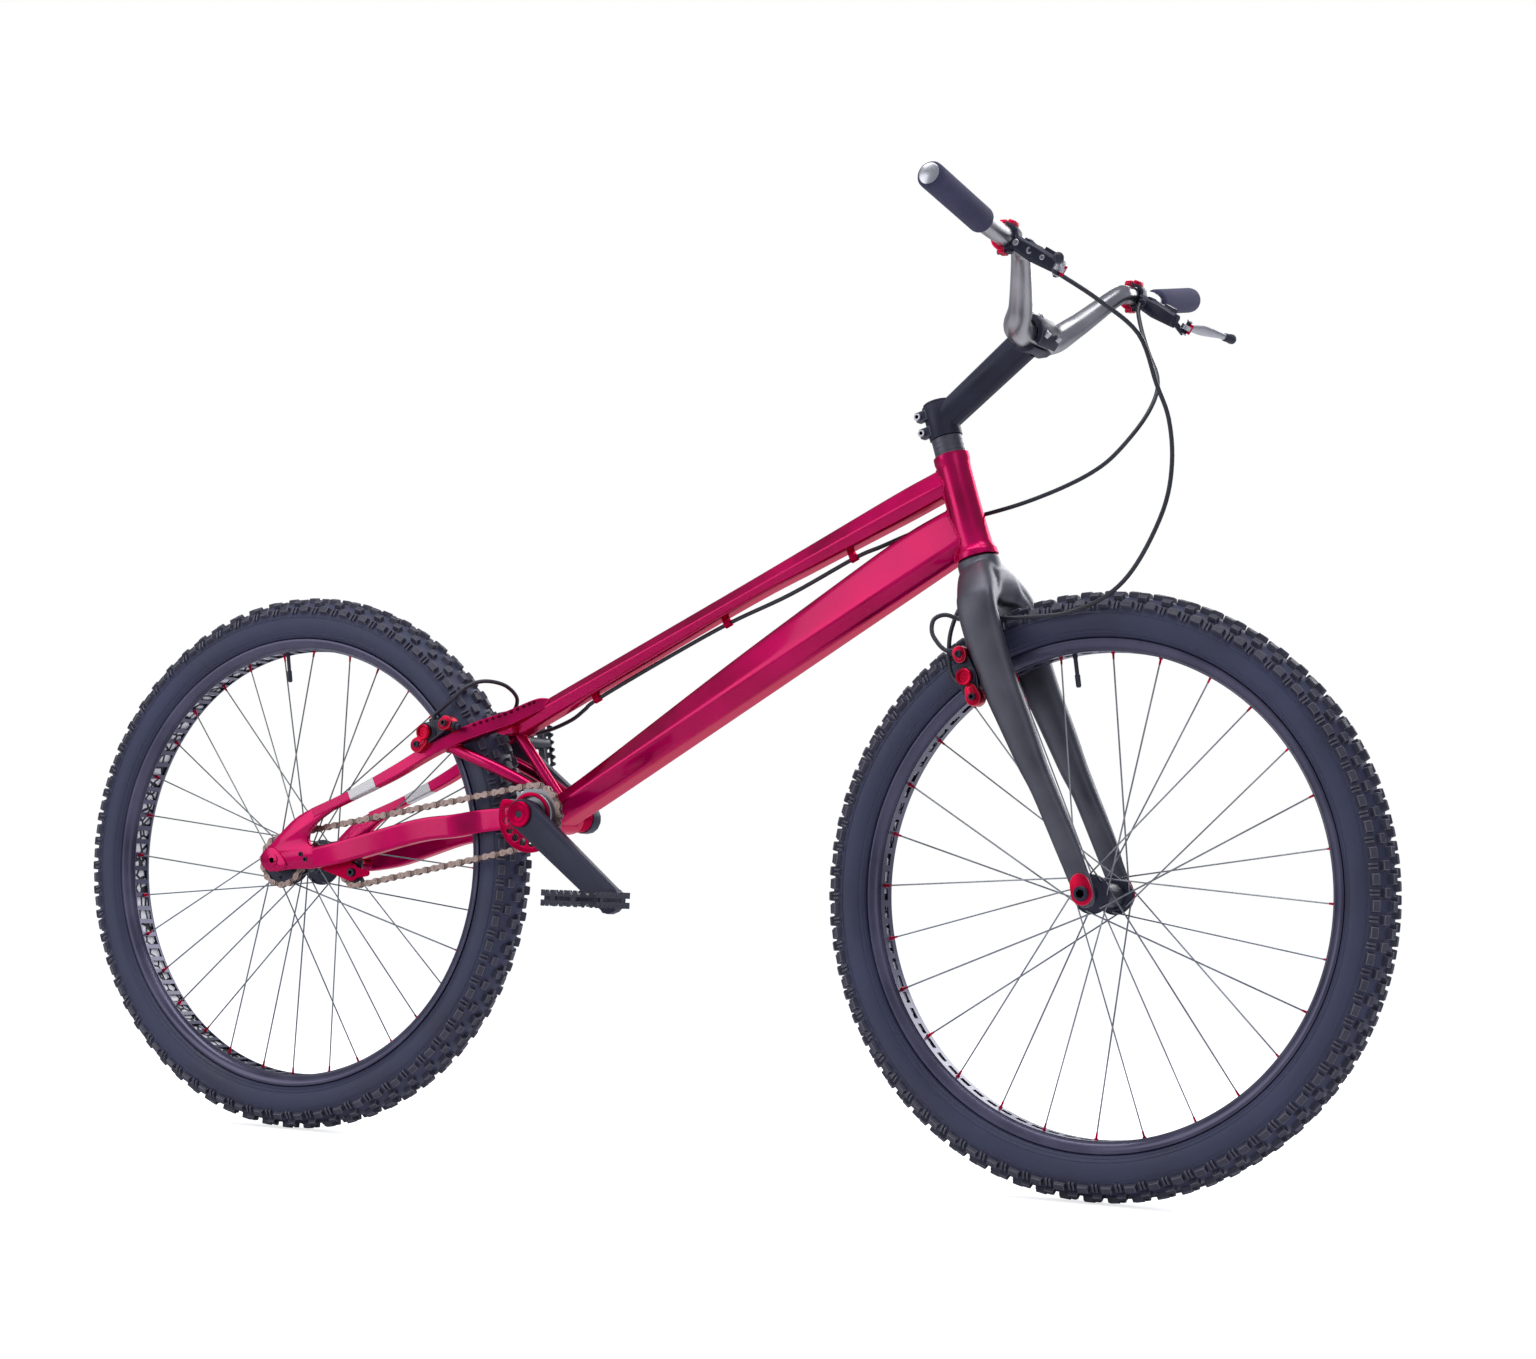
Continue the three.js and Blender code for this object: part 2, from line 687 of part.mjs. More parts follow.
part("front_tyre", tyre(FRONT_RIM_WIDTH), RUBBER, frontWheel);
part("rear_tyre", tyre(REAR_RIM_WIDTH), RUBBER, rearWheel);

// Axles with a head at each end, outside what they clamp

const AXLE_HEAD = { radius: 9, width: 7 };

function axle(clampedOuter) {
  const start = clampedOuter + GAP;
  const end = start + AXLE_HEAD.width;
  return ringY(
    [
      [0, -end],
      [AXLE_HEAD.radius, -end],
      [AXLE_HEAD.radius, -start],
      [AXLE_RADIUS, -start],
      [AXLE_RADIUS, start],
      [AXLE_HEAD.radius, start],
      [AXLE_HEAD.radius, end],
      [0, end],
    ],
    10,
  );
}

part("rear_axle", axle(dropoutOuter), BLACK, rearWheel);

// Chain run, in x and z, met in the order that the chain passes. Sense 1 turns from x towards z

const CHAIN = { halfHeight: 4.2, waist: 3.6, halfWidth: 3.75 };
const TENSION_PULLEY = { ahead: 113.7, drop: 11 };
const tensionPulley = V(rearAxle.x + TENSION_PULLEY.ahead, 0, rearAxle.z - TENSION_PULLEY.drop);
const pitchRadius = (teeth) => (CHAIN_PITCH * HALF) / Math.sin(Math.PI / teeth);
const wheelAt = ({ x, z }, teeth, sense) => ({ x, z, teeth, sense, radius: pitchRadius(teeth) });
const FREEWHEEL = wheelAt(V(0, 0, 0), FREEWHEEL_TEETH, 1);
const COG = wheelAt(rearAxle, REAR_COG_TEETH, 1);
const GUIDE = wheelAt(guidePulley, PULLEY_TEETH, -1);
const TENSION = wheelAt(tensionPulley, PULLEY_TEETH, 1);
const RUN_ORDER = [FREEWHEEL, COG, GUIDE, TENSION];

const onCircle = ({ x, z, radius, sense }, turn) => ({
  x: x + radius * Math.cos(turn),
  z: z + radius * Math.sin(turn),
  nx: sense * Math.cos(turn),
  nz: sense * Math.sin(turn),
});

// Straight runs and arcs, each with its length and a function from the way along it to a place
function chainRun(circles) {
  const headings = circles.map((a, i) => {
    const b = circles[(i + 1) % circles.length];
    const distance = Math.hypot(b.x - a.x, b.z - a.z);
    const lean = Math.asin((a.sense * a.radius - b.sense * b.radius) / distance);
    return Math.atan2(b.z - a.z, b.x - a.x) + lean;
  });
  return circles.flatMap((a, i) => {
    const b = circles[(i + 1) % circles.length];
    const arrival = headings[(i + circles.length - 1) % circles.length];
    const heading = headings[i];
    const whole = 2 * Math.PI;
    const sweep = (((a.sense * (heading - arrival)) % whole) + whole) % whole;
    const start = arrival - (a.sense * Math.PI) / 2;
    const from = onCircle(a, heading - (a.sense * Math.PI) / 2);
    const to = onCircle(b, heading - (b.sense * Math.PI) / 2);
    const length = Math.hypot(to.x - from.x, to.z - from.z);
    return [
      { wheel: a, length: sweep * a.radius, at: (s) => onCircle(a, start + (a.sense * s) / a.radius) },
      {
        length,
        at: (s) => ({
          x: from.x + ((to.x - from.x) * s) / length,
          z: from.z + ((to.z - from.z) * s) / length,
          nx: from.nx,
          nz: from.nz,
        }),
      },
    ];
  });
}

const run = chainRun(RUN_ORDER);
const runLength = run.reduce((sum, piece) => sum + piece.length, 0);
const LINKS = Math.round(runLength / CHAIN_PITCH);
const linkPitch = runLength / LINKS;

function onRun(way) {
  let s = ((way % runLength) + runLength) % runLength;
  for (const piece of run) {
    if (s <= piece.length) return piece.at(s);
    s -= piece.length;
  }
  return run[0].at(0);
}

// The turn of a roller that lies in the middle of a wheel's wrap, about that wheel's centre
function rollerTurn(wheel) {
  let before = 0;
  for (const piece of run) {
    if (piece.wheel === wheel) {
      const middle = before + piece.length / 2;
      const roller = onRun(Math.round(middle / linkPitch) * linkPitch);
      return Math.atan2(roller.z - wheel.z, roller.x - wheel.x);
    }
    before += piece.length;
  }
  return 0;
}

// A band as wide as the chain: narrower between rollers where it bends, straight between the wheels
function chainBand() {
  const { halfHeight, waist, halfWidth } = CHAIN;
  const sections = [];
  for (const piece of run) {
    const halfLinks = (piece.length * 2) / linkPitch;
    const steps = piece.wheel ? Math.round(halfLinks) : Math.ceil(halfLinks / 8);
    for (let i = 0; i < steps; i++) {
      const { x, z, nx, nz } = piece.at((piece.length * i) / steps);
      const reach = piece.wheel && i % 2 ? waist : halfHeight;
      sections.push(
        [
          [reach, halfWidth],
          [-reach, halfWidth],
          [-reach, -halfWidth],
          [reach, -halfWidth],
        ].map(([r, y]) => [x + nx * r, y - CHAIN_LINE, z + nz * r]),
      );
    }
  }
  const faces = [];
  sections.forEach((_, s) => {
    const a = s * 4;
    const b = ((s + 1) % sections.length) * 4;
    for (let k = 0; k < 4; k++) {
      const next = (k + 1) % 4;
      faces.push(a + k, b + k, b + next, a + k, b + next, a + next);
    }
  });
  const geometry = new THREE.BufferGeometry();
  geometry.setAttribute("position", new THREE.Float32BufferAttribute(sections.flat(2), 3));
  geometry.setIndex(faces);
  return outwards(geometry);
}

part("chain", chainBand(), STEEL);

// Toothed wheels

const TOOTH = { depth: 8, tip: 4.9, rootHalf: 3.2 };

// A toothed disc about its own centre, with a round hole. Its teeth end just under the band
function toothedDisc(wheel, bore, thickness, sides) {
  const { depth, tip, rootHalf } = TOOTH;
  const root = wheel.radius - depth;
  const outer = wheel.radius - tip;
  const turn = rollerTurn(wheel);
  const outline = [];
  for (let i = 0; i < wheel.teeth; i++) {
    const middle = turn + ((i + HALF) * 2 * Math.PI) / wheel.teeth;
    for (const [r, side] of [
      [root, -rootHalf],
      [outer, 0],
      [root, rootHalf],
    ])
      outline.push([r * Math.cos(middle + side / r), r * Math.sin(middle + side / r)]);
  }
  const half = thickness * HALF;
  const hole = arc(0, 0, bore, FULL_CIRCLE, FULL_CIRCLE / sides, sides - 1);
  return plateY(outline, -CHAIN_LINE - half, -CHAIN_LINE + half, [hole]);
}

const FREEWHEEL_DISC = { bore: 15.5, thickness: 8 };
const COG_THICKNESS = 4;
const PULLEY_DISC = { bore: 4.4, thickness: 6 };

const pulleyDisc = (wheel) => toothedDisc(wheel, PULLEY_DISC.bore, PULLEY_DISC.thickness, 8);
part("sprocket", toothedDisc(FREEWHEEL, FREEWHEEL_DISC.bore, FREEWHEEL_DISC.thickness, 16), STEEL);
part("rear_cog", toothedDisc(COG, COG_SEAT.radius + GAP, COG_THICKNESS, 14), STEEL, rearWheel);
part("guide_pulley", pulleyDisc(GUIDE), BLACK, groupAt(guidePulley));
part("tension_pulley", pulleyDisc(TENSION), BLACK, groupAt(tensionPulley));

// Tensioner arm, with the pin that its pulley turns on

const ARM = { outer: 53.6, inner: 50.4, pivotEnd: 9, pulleyEnd: 11, tongue: 8, tongueReach: 22 };

function tensionerArm() {
  const outline = linkOutline(
    guidePulley.x,
    guidePulley.z,
    ARM.pivotEnd,
    tensionPulley.x,
    tensionPulley.z,
    ARM.pulleyEnd,
    5,
  );
  const plate = plateY(outline, -ARM.outer, -ARM.inner);
  const tongue = linkOutline(
    tensionPulley.x,
    tensionPulley.z,
    ARM.tongue,
    tensionPulley.x + ARM.tongueReach,
    tensionPulley.z,
    ARM.tongue * HALF,
    4,
  );
  const pin = pinY(GUIDE_PULLEY.pin, -ARM.outer, -GUIDE_PULLEY.pinEnd, tensionPulley.x, tensionPulley.z, 10);
  const bore = pinY(PULLEY_DISC.bore, -dropoutInner, -ARM.inner * HALF, guidePulley.x, guidePulley.z, 10);
  return cut(join(plate, plateY(tongue, -ARM.outer, -ARM.inner), pin), bore);
}

part("tensioner_arm", tensionerArm(), RED_ANODISED);

// Cranks, bash ring and pedals

const AXLE = { boss: 15, collar: 13, outer: 59.5, shoulder: 38 };
const BASH = { radius: 46, outer: 56, inner: 52, hole: 5.5, holeCircle: 34, holes: 8 };
const CRANK = {
  bossRadius: 18.5,
  tipRadius: 14,
  bossMiddle: 68,
  tipMiddle: 82,
  bossHalf: 8,
  tipHalf: 6.5,
  washer: 15.5,
  washerWidth: 4,
  spindle: 5,
};
const PEDAL = {
  length: 74,
  width: 98,
  start: 92,
  height: 17,
  chamfer: 10,
  rail: 8,
  hub: 10,
  slack: 0.6,
};
const HANGING_PEDAL_ANGLE = 80;

part(
  "crank_axle",
  ringY(
    [
      [0, -AXLE.outer],
      [AXLE.boss, -AXLE.outer],
      [AXLE.boss, -AXLE.shoulder],
      [CRANK_AXLE_RADIUS, -AXLE.shoulder],
      [CRANK_AXLE_RADIUS, AXLE.shoulder],
      [AXLE.collar, AXLE.shoulder],
      [AXLE.collar, AXLE.outer],
      [0, AXLE.outer],
    ],
    14,
  ),
  BLACK,
);

const bashHoles = Array.from({ length: BASH.holes }, (_, i) => {
  const turn = ((i + HALF) * 2 * Math.PI) / BASH.holes;
  return arc(BASH.holeCircle * Math.cos(turn), BASH.holeCircle * Math.sin(turn), BASH.hole, FULL_CIRCLE, 60, 5);
});
part(
  "bash_ring",
  plateY(arc(0, 0, BASH.radius, 0, (FULL_CIRCLE * 29) / 30, 29), -BASH.outer, -BASH.inner, [
    arc(0, 0, AXLE.boss + GAP * 2, FULL_CIRCLE, 30, 11),
    ...bashHoles,
  ]),
  RED_ANODISED,
);

const crankTurn = -CRANK_DROP * DEG;
const pedalAxle = V(CRANK_LENGTH * Math.cos(crankTurn), 0, CRANK_LENGTH * Math.sin(crankTurn));
const pedalEnd = PEDAL.start + PEDAL.width;

// Drawn on the right; the left one is the same turned half round and mirrored
function crank() {
  const { bossRadius, tipRadius, bossMiddle, tipMiddle, bossHalf, tipHalf } = CRANK;
  const arm = tubeThrough(
    [
      { at: V(0, -bossMiddle, 0), w: bossHalf, h: bossRadius },
      { at: V(pedalAxle.x, -tipMiddle, pedalAxle.z), w: tipHalf, h: tipRadius },
    ],
    SOFT_BOX,
  );
  const boss = pinY(bossRadius, -bossMiddle - bossHalf, -bossMiddle + bossHalf, 0, 0, 14);
  const tip = pinY(tipRadius, -tipMiddle - tipHalf, -tipMiddle + tipHalf, pedalAxle.x, pedalAxle.z, 12);
  const washerStart = bossMiddle + bossHalf;
  const washer = pinY(CRANK.washer, -washerStart - CRANK.washerWidth, -washerStart + GAP, 0, 0, 12);
  const spindleEnd = pedalEnd - PEDAL.rail * HALF;
  const spindle = pinY(CRANK.spindle, -spindleEnd, -tipMiddle, pedalAxle.x, pedalAxle.z, 8);
  return join(arm, boss, tip, washer, spindle);
}

const rightCrank = crank();
part("crank_right", rightCrank, BLACK);
part("crank_left", rightCrank.rotate([0, 180, 0]).mirror([0, 1, 0]), BLACK);

// A cage round the spindle: two windows between its rails and its hub
function pedal() {
  const { length, width, start, height, chamfer, rail, hub } = PEDAL;
  const end = start + width;
  const x = length * HALF;
  const outline = [
    [-x + chamfer, -end],
    [x - chamfer, -end],
    [x, -end + chamfer],
    [x, -start - chamfer],
    [x - chamfer, -start],
    [-x + chamfer, -start],
    [-x, -start - chamfer],
    [-x, -end + chamfer],
  ];
  const windows = [-1, 1].map((side) =>
    blockZ(
      [
        [side * hub, -end + rail],
        [side * (x - rail - chamfer * HALF), -end + rail],
        [side * (x - rail), -end + rail + chamfer * HALF],
        [side * (x - rail), -start - rail - chamfer * HALF],
        [side * (x - rail - chamfer * HALF), -start - rail],
        [side * hub, -start - rail],
      ],
      -height,
      height,
    ),
  );
  const bore = pinY(CRANK.spindle + PEDAL.slack, -end - rail, -start + rail, 0, 0, 8);
  const cage = cut(blockZ(outline, -height * HALF, height * HALF), ...windows);
  return cut(join(cage, pinY(hub, -end + GAP, -start - GAP, 0, 0, 12)), bore);
}

const rightPedal = pedal();
part("pedal_right", rightPedal, BLACK_SATIN, groupAt(pedalAxle));
const leftPedalAxle = pedalAxle.clone().negate();
part("pedal_left", mirrored(rightPedal), BLACK_SATIN, groupAt(leftPedalAxle, HANGING_PEDAL_ANGLE * DEG));

// Steering parts, drawn with z along the steering axis and x forwards from it

const steering = steeringGroup();

// Fork legs. Rows are shares: height of the fork's length, rear and front edge and middle from its
// offset, then half width of the leg's

const LEG = { width: 25, outset: 57 };
const LEG_SHARES = [
  [0.872, -0.33, 0.7, 0.97, 1],
  [0.817, -0.33, 0.69, 1, 1],
  [0.743, -0.31, 0.69, 1, 1],
  [0.67, -0.23, 0.7, 1, 1],
  [0.597, -0.17, 0.74, 1, 1],
  [0.521, -0.04, 0.82, 1, 1],
  [0.447, 0.09, 0.88, 1, 1],
  [0.374, 0.22, 0.93, 0.995, 0.95],
  [0.301, 0.38, 1.01, 0.99, 0.9],
  [0.156, 0.56, 1.19, 0.97, 0.65],
  [0.083, 0.64, 1.24, 0.955, 0.38],
  [0.02, 0.72, 1.29, 0.951, 0.31],
  [-0.022, 0.78, 1.26, 0.951, 0.31],
  [-0.038, 0.9, 1.14, 0.951, 0.31],
];

function forkLeg(grow) {
  const stations = LEG_SHARES.map(([height, rear, front, middle, w]) => ({
    at: V((rear + front) * HALF * FORK_OFFSET, -middle * LEG.outset, height * FORK_LENGTH),
    w: w * LEG.width * HALF,
    h: (front - rear) * HALF * FORK_OFFSET,
  }));
  const leg = tubeThrough(stations, SOFT_BOX, grow);
  return cut(leg, pinY(AXLE_RADIUS + GAP, 0, -LEG.outset - LEG.width, FORK_OFFSET, 0, 12));
}

const CROWN = { collar: 24, collarTaper: 21, collarDepth: 30, steererTop: 592, front: 30, rear: 16 };
const CROWN_LEAN_SHARE = 0.2;
// Rows are shares: way out to the leg's middle, then underside and top of the fork's length
const CROWN_SHARES = [
  [-0.82, 0.832, 0.868],
  [-0.55, 0.852, 0.905],
  [-0.3, 0.855, 0.965],
  [0.3, 0.855, 0.965],
  [0.55, 0.852, 0.905],
  [0.82, 0.832, 0.868],
];

function forkCrown() {
  const middle = (CROWN.front - CROWN.rear) * HALF;
  const stations = CROWN_SHARES.map(([out, under, top]) => ({
    at: V(middle, out * LEG.outset, (under + top) * HALF * FORK_LENGTH),
    w: (CROWN.front + CROWN.rear) * HALF,
    h: (top - under) * HALF * FORK_LENGTH,
  }));
  const bridge = tubeThrough(stations, SOFT_BOX, 0, FORWARDS);
  const collar = ringZ(
    [
      [0, FORK_LENGTH - CROWN.collarDepth],
      [CROWN.collar, FORK_LENGTH - CROWN.collarDepth],
      [CROWN.collarTaper, FORK_LENGTH],
      [STEERER_RADIUS, FORK_LENGTH],
      [STEERER_RADIUS, CROWN.steererTop],
      [0, CROWN.steererTop],
    ],
    14,
  );
  return join(bridge, collar);
}

const crown = forkCrown();
const legEnvelope = forkLeg(GAP);
const rightLeg = cut(forkLeg(0), crownSides());

function crownSides() {
  const half = CROWN_SHARES[5][0] * LEG.outset + LEG.width * CROWN_LEAN_SHARE;
  return boxAt(FORK_LENGTH, half * 2, FORK_LENGTH * HALF, 0, 0, FORK_LENGTH);
}

part("fork_crown", crown, FORK_GREY, steering);
part("fork_leg_right", rightLeg, FORK_GREY, steering);
part("fork_leg_left", mirrored(rightLeg), FORK_GREY, steering);

const legFoot = LEG_SHARES[12];
const forkOuter = legFoot[3] * LEG.outset + legFoot[4] * LEG.width * HALF;
part("front_axle", axle(forkOuter), RED_ANODISED, frontWheel);

// Headset spacer and stem

const SPACER = { radius: 20, neck: 17.5, length: 21.7, cup: 6, taper: 10 };
const spacerBottom = headTop + GAP;
const spacerTop = spacerBottom + SPACER.length;
part(
  "headset_spacer",
  ringZ(
    [
      [HEAD_TUBE.bore, spacerBottom],
      [SPACER.radius, spacerBottom],
      [SPACER.radius, spacerBottom + SPACER.cup],
      [SPACER.neck, spacerBottom + SPACER.taper],
      [SPACER.neck, spacerTop],
      [HEAD_TUBE.bore, spacerTop],
    ],
    14,
  ),
  BLACK,
  steering,
);

const STEM = {
  clamp: 19.5,
  clampHeight: 39.5,
  bolts: 4,
  boltReach: 27,
  boltOffset: 10,
  reach: 135,
  rise: 56,
  width: 36,
  rearDepth: 34.2,
  depth: 38,
  barClamp: 23,
  barClampWidth: 46,
  faceGap: 4,
};
const BAR = { clamp: 15.9, tube: 11.1 };
const stemBottom = spacerTop + GAP;
const stemMiddle = stemBottom + STEM.clampHeight * HALF;
const barCentre = V(STEM.reach, 0, stemMiddle + STEM.rise);
const stemRun = V(STEM.reach, 0, STEM.rise).normalize();

// One half of the bar's clamp lies behind the plane through the bar, the other in front
function barClampHalf(side) {
  const half = STEM.barClampWidth * HALF;
  const whole = pinY(STEM.barClamp, -half, half, barCentre.x, barCentre.z, 14);
  const bore = pinY(BAR.clamp + GAP, -half - GAP, half + GAP, barCentre.x, barCentre.z, 14);
  const reach = STEM.barClamp * 2;
  const away = new THREE.BoxGeometry(reach, STEM.barClampWidth * 2, reach * 2);
  const turn = -Math.atan2(stemRun.z, stemRun.x);
  const middle = barCentre.clone().addScaledVector(stemRun, -side * (reach * HALF - STEM.faceGap * HALF));
  return cut(whole, bore, away.rotateY(turn).translate(middle.x, middle.y, middle.z));
}

function stem() {
  const ring = pinZ(STEM.clamp, stemBottom, stemBottom + STEM.clampHeight, 0, 0, 14);
  const tube = tubeThrough(
    [
      { at: V(0, 0, stemMiddle), w: STEM.width * HALF, h: STEM.rearDepth * HALF },
      {
        at: barCentre.clone().addScaledVector(stemRun, -BAR.clamp),
        w: STEM.width * HALF,
        h: STEM.depth * HALF,
      },
    ],
    ROUND_12,
  );
  const bore = pinZ(STEERER_RADIUS + GAP, stemBottom - GAP, CROWN.steererTop + GAP, 0, 0, 14);
  const barBore = pinY(BAR.clamp + GAP, -STEM.width, STEM.width, barCentre.x, barCentre.z, 14);
  const pinch = pinY(STEM.bolts, -STEM.clamp, STEM.clamp, -STEM.clamp, stemMiddle - STEM.boltOffset, 6);
  const upperPinch = pinY(STEM.bolts, -STEM.clamp, STEM.clamp, -STEM.clamp, stemMiddle + STEM.boltOffset, 6);
  return cut(join(ring, tube, barClampHalf(-1), pinch, upperPinch), bore, barBore, barClampCut());
}

// What the stem's tube must leave free for the faceplate
function barClampCut() {
  const reach = STEM.barClamp * 2;
  const away = new THREE.BoxGeometry(reach, STEM.barClampWidth * 2, reach * 2);
  const middle = barCentre.clone().addScaledVector(stemRun, reach * HALF - STEM.faceGap * HALF);
  return away.rotateY(-Math.atan2(stemRun.z, stemRun.x)).translate(middle.x, middle.y, middle.z);
}

part("stem", stem(), BLACK, steering);
part("stem_faceplate", barClampHalf(1), BLACK, steering);

// Handlebar. Rows are shares of half the bar's width: back, aside, rise, from the clamp's middle

const BAR_SHARES = [
  [0, 0.11, 0],
  [0.046, 0.2, 0.055],
  [0.107, 0.34, 0.163],
  [0.122, 0.385, 0.19],
  [0.126, 0.43, 0.2],
  [0.127, 0.657, 0.219],
  [0.117, 0.98, 0.284],
];
const barHalf = BAR_WIDTH * HALF;
const barPlace = ([x, y, z]) => V(x * barHalf, -y * barHalf, z * barHalf);

function handlebar() {
  const right = BAR_SHARES.map(barPlace);
  const left = right.map((p) => V(p.x, -p.y, p.z));
  const taper = (BAR.clamp + BAR.tube) * HALF;
  const radii = BAR_SHARES.map((_, i) => [BAR.clamp, taper][i] ?? BAR.tube);
  const stations = [
    ...right.map((at, i) => ({ at, w: radii[i], h: radii[i] })).reverse(),
    ...left.map((at, i) => ({ at, w: radii[i], h: radii[i] })),
  ];
  return tubeThrough(stations, ROUND_12, 0, FORWARDS);
}

const barGroup = groupAt(fromSteering(barCentre));
part("handlebar", handlebar(), SILVER, barGroup);

// A point on the straight outer part of the bar, a given way aside
function onBar(aside) {
  const bends = [barPlace(BAR_SHARES[4]), barPlace(BAR_SHARES[5]), barPlace(BAR_SHARES[6])];
  const [a, b] = aside < -bends[1].y ? [bends[0], bends[1]] : [bends[1], bends[2]];
  const t = (-aside - a.y) / (b.y - a.y);
  return a.clone().lerp(b, t);
}

const GRIP = { slack: 0.9, radius: 15, length: 122, plug: 2, flangeRadius: 16.5, flangeWidth: 4 };

function grip() {
  const start = onBar(barHalf - GRIP.length);
  const end = onBar(barHalf);
  const along = end.clone().sub(start).normalize();
  const outer = join(
    strut(start, end, GRIP.radius, 12),
    strut(start, start.clone().addScaledVector(along, GRIP.flangeWidth), GRIP.flangeRadius, 12),
  );
  const before = start.clone().addScaledVector(along, -GRIP.flangeWidth);
  return cut(outer, strut(before, onBar(barHalf - GRIP.plug), BAR.tube + GRIP.slack, 12));
}

const rightGrip = grip();
part("grip_right", rightGrip, FOAM, barGroup);
part("grip_left", mirrored(rightGrip), FOAM, barGroup);

// Brake levers. Shares are of the way from the clamp's middle to the body's nose, or from the pivot
// to the blade's tip

const LEVER = {
  fromBarEnd: 186,
  clamp: 16,
  clampHalf: 6.5,
  reach: 66,
  inboard: 8,
  drop: 39,
  bodyHalf: 10,
  noseHalf: 8,
  pivot: 3.2,
  slack: 0.8,
  blade: 4.5,
  bladeEnd: 3.5,
  ball: 6,
  reachAside: 68,
  pivotAside: 14,
  banjo: 4.2,
  banjoReach: 16,
  eye: 7,
  eyeHalf: 3,
  probe: 1,
};
const LEVER_SHARES = { start: 0.14, middle: 0.5, end: 0.85, bracket: 0.8, banjo: 0.28, knee: 0.35, sweep: 0.43 };
const leverAside = barHalf - LEVER.fromBarEnd;
const leverSeat = onBar(leverAside);
const leverNose = leverSeat.clone().add(V(LEVER.reach, LEVER.inboard, -LEVER.drop));
const leverPivot = leverNose.clone().add(V(0, -LEVER.pivotAside, 0));
const LEVER_AXIS = V(0.51, 0, 0.86).normalize();

// A round pin along the lever's axis, about its pivot
function alongLeverAxis(half, radius, sides) {
  const start = leverPivot.clone().addScaledVector(LEVER_AXIS, -half);
  const end = leverPivot.clone().addScaledVector(LEVER_AXIS, half);
  return strut(start, end, radius, sides);
}

function leverBody() {
  const seatRun = onBar(leverAside + LEVER.probe).sub(leverSeat).normalize();
  const ring = strut(
    leverSeat.clone().addScaledVector(seatRun, -LEVER.clampHalf),
    leverSeat.clone().addScaledVector(seatRun, LEVER.clampHalf),
    LEVER.clamp,
    12,
  );
  const bore = strut(
    leverSeat.clone().addScaledVector(seatRun, -LEVER.clampHalf * 2),
    leverSeat.clone().addScaledVector(seatRun, LEVER.clampHalf * 2),
    BAR.tube + GRIP.slack,
    12,
  );
  const onBody = (share) => leverSeat.clone().lerp(leverNose, share);
  const body = tubeThrough(
    [
      { at: onBody(LEVER_SHARES.start), w: LEVER.noseHalf, h: LEVER.noseHalf },
      { at: onBody(LEVER_SHARES.middle), w: LEVER.bodyHalf, h: LEVER.bodyHalf },
      { at: onBody(LEVER_SHARES.end), w: LEVER.noseHalf, h: LEVER.noseHalf },
    ],
    SOFT_BOX,
  );
  const pinFoot = leverPivot.clone().addScaledVector(LEVER_AXIS, -LEVER.noseHalf);
  const bracket = tubeThrough(
    [
      { at: onBody(LEVER_SHARES.bracket), w: LEVER.bladeEnd, h: LEVER.bladeEnd },
      { at: pinFoot, w: LEVER.eye * HALF, h: LEVER.eye * HALF },
    ],
    ROUND_6,
  );
  const banjoSeat = onBody(LEVER_SHARES.banjo);
  const banjo = strut(banjoSeat, banjoSeat.clone().add(V(0, LEVER.banjoReach, 0)), LEVER.banjo, 6);
  const whole = cut(join(ring, body, bracket, banjo), leverSlot(), bore);
  return join(whole, alongLeverAxis(LEVER.noseHalf, LEVER.pivot, 6));
}

function leverBlade() {
  const sweep = V(LEVER.reachAside * LEVER_SHARES.sweep, -LEVER.reachAside, -LEVER.pivot);
  const tip = leverPivot.clone().add(sweep);
  const knee = leverPivot.clone().lerp(tip, LEVER_SHARES.knee).add(V(LEVER.blade, 0, 0));
  const eye = alongLeverAxis(LEVER.eyeHalf, LEVER.eye, 10);
  const hole = alongLeverAxis(LEVER.eye, LEVER.pivot + LEVER.slack, 6);
  const blade = tubeThrough(
    [
      { at: leverPivot, w: LEVER.bladeEnd, h: LEVER.eyeHalf },
      { at: knee, w: LEVER.blade, h: LEVER.blade },
      { at: tip, w: LEVER.bladeEnd, h: LEVER.bladeEnd },
    ],
    ROUND_6,
    0,
    FORWARDS,
  );
  const ball = new THREE.IcosahedronGeometry(LEVER.ball, 1).translate(tip.x, tip.y, tip.z);
  return cut(join(eye, blade, ball), hole);
}

// The slot that the lever's eye turns in
const leverSlot = () => alongLeverAxis(LEVER.eyeHalf + GAP, LEVER.eye + GAP * 3, 10);

const rightLeverBody = leverBody();
const rightBlade = leverBlade();
part("lever_body_right", rightLeverBody, BLACK, barGroup);
part("lever_body_left", mirrored(rightLeverBody), BLACK, barGroup);
part("brake_lever_right", rightBlade, SILVER, barGroup);
part("brake_lever_left", mirrored(rightBlade), SILVER, barGroup);

// Rim brakes. A caliper is a cylinder across the bike, held by a clamp between two bolts

const CALIPER = {
  radius: 11.5,
  start: 38,
  end: 66,
  knob: 9.5,
  knobEnd: 73,
  clamp: 9,
  clampStart: 52,
  clampEnd: 68,
  fitting: 4.5,
  fittingReach: 18,
  fittingAside: 61,
  crossFitting: 3.6,
  crossAside: 46,
  crossReach: 14.5,
};
const PAD = { length: 50, height: 8, thickness: 8, stem: 6, stemEnd: 48, gap: 2, inset: 1.5, boreDepth: 50 };
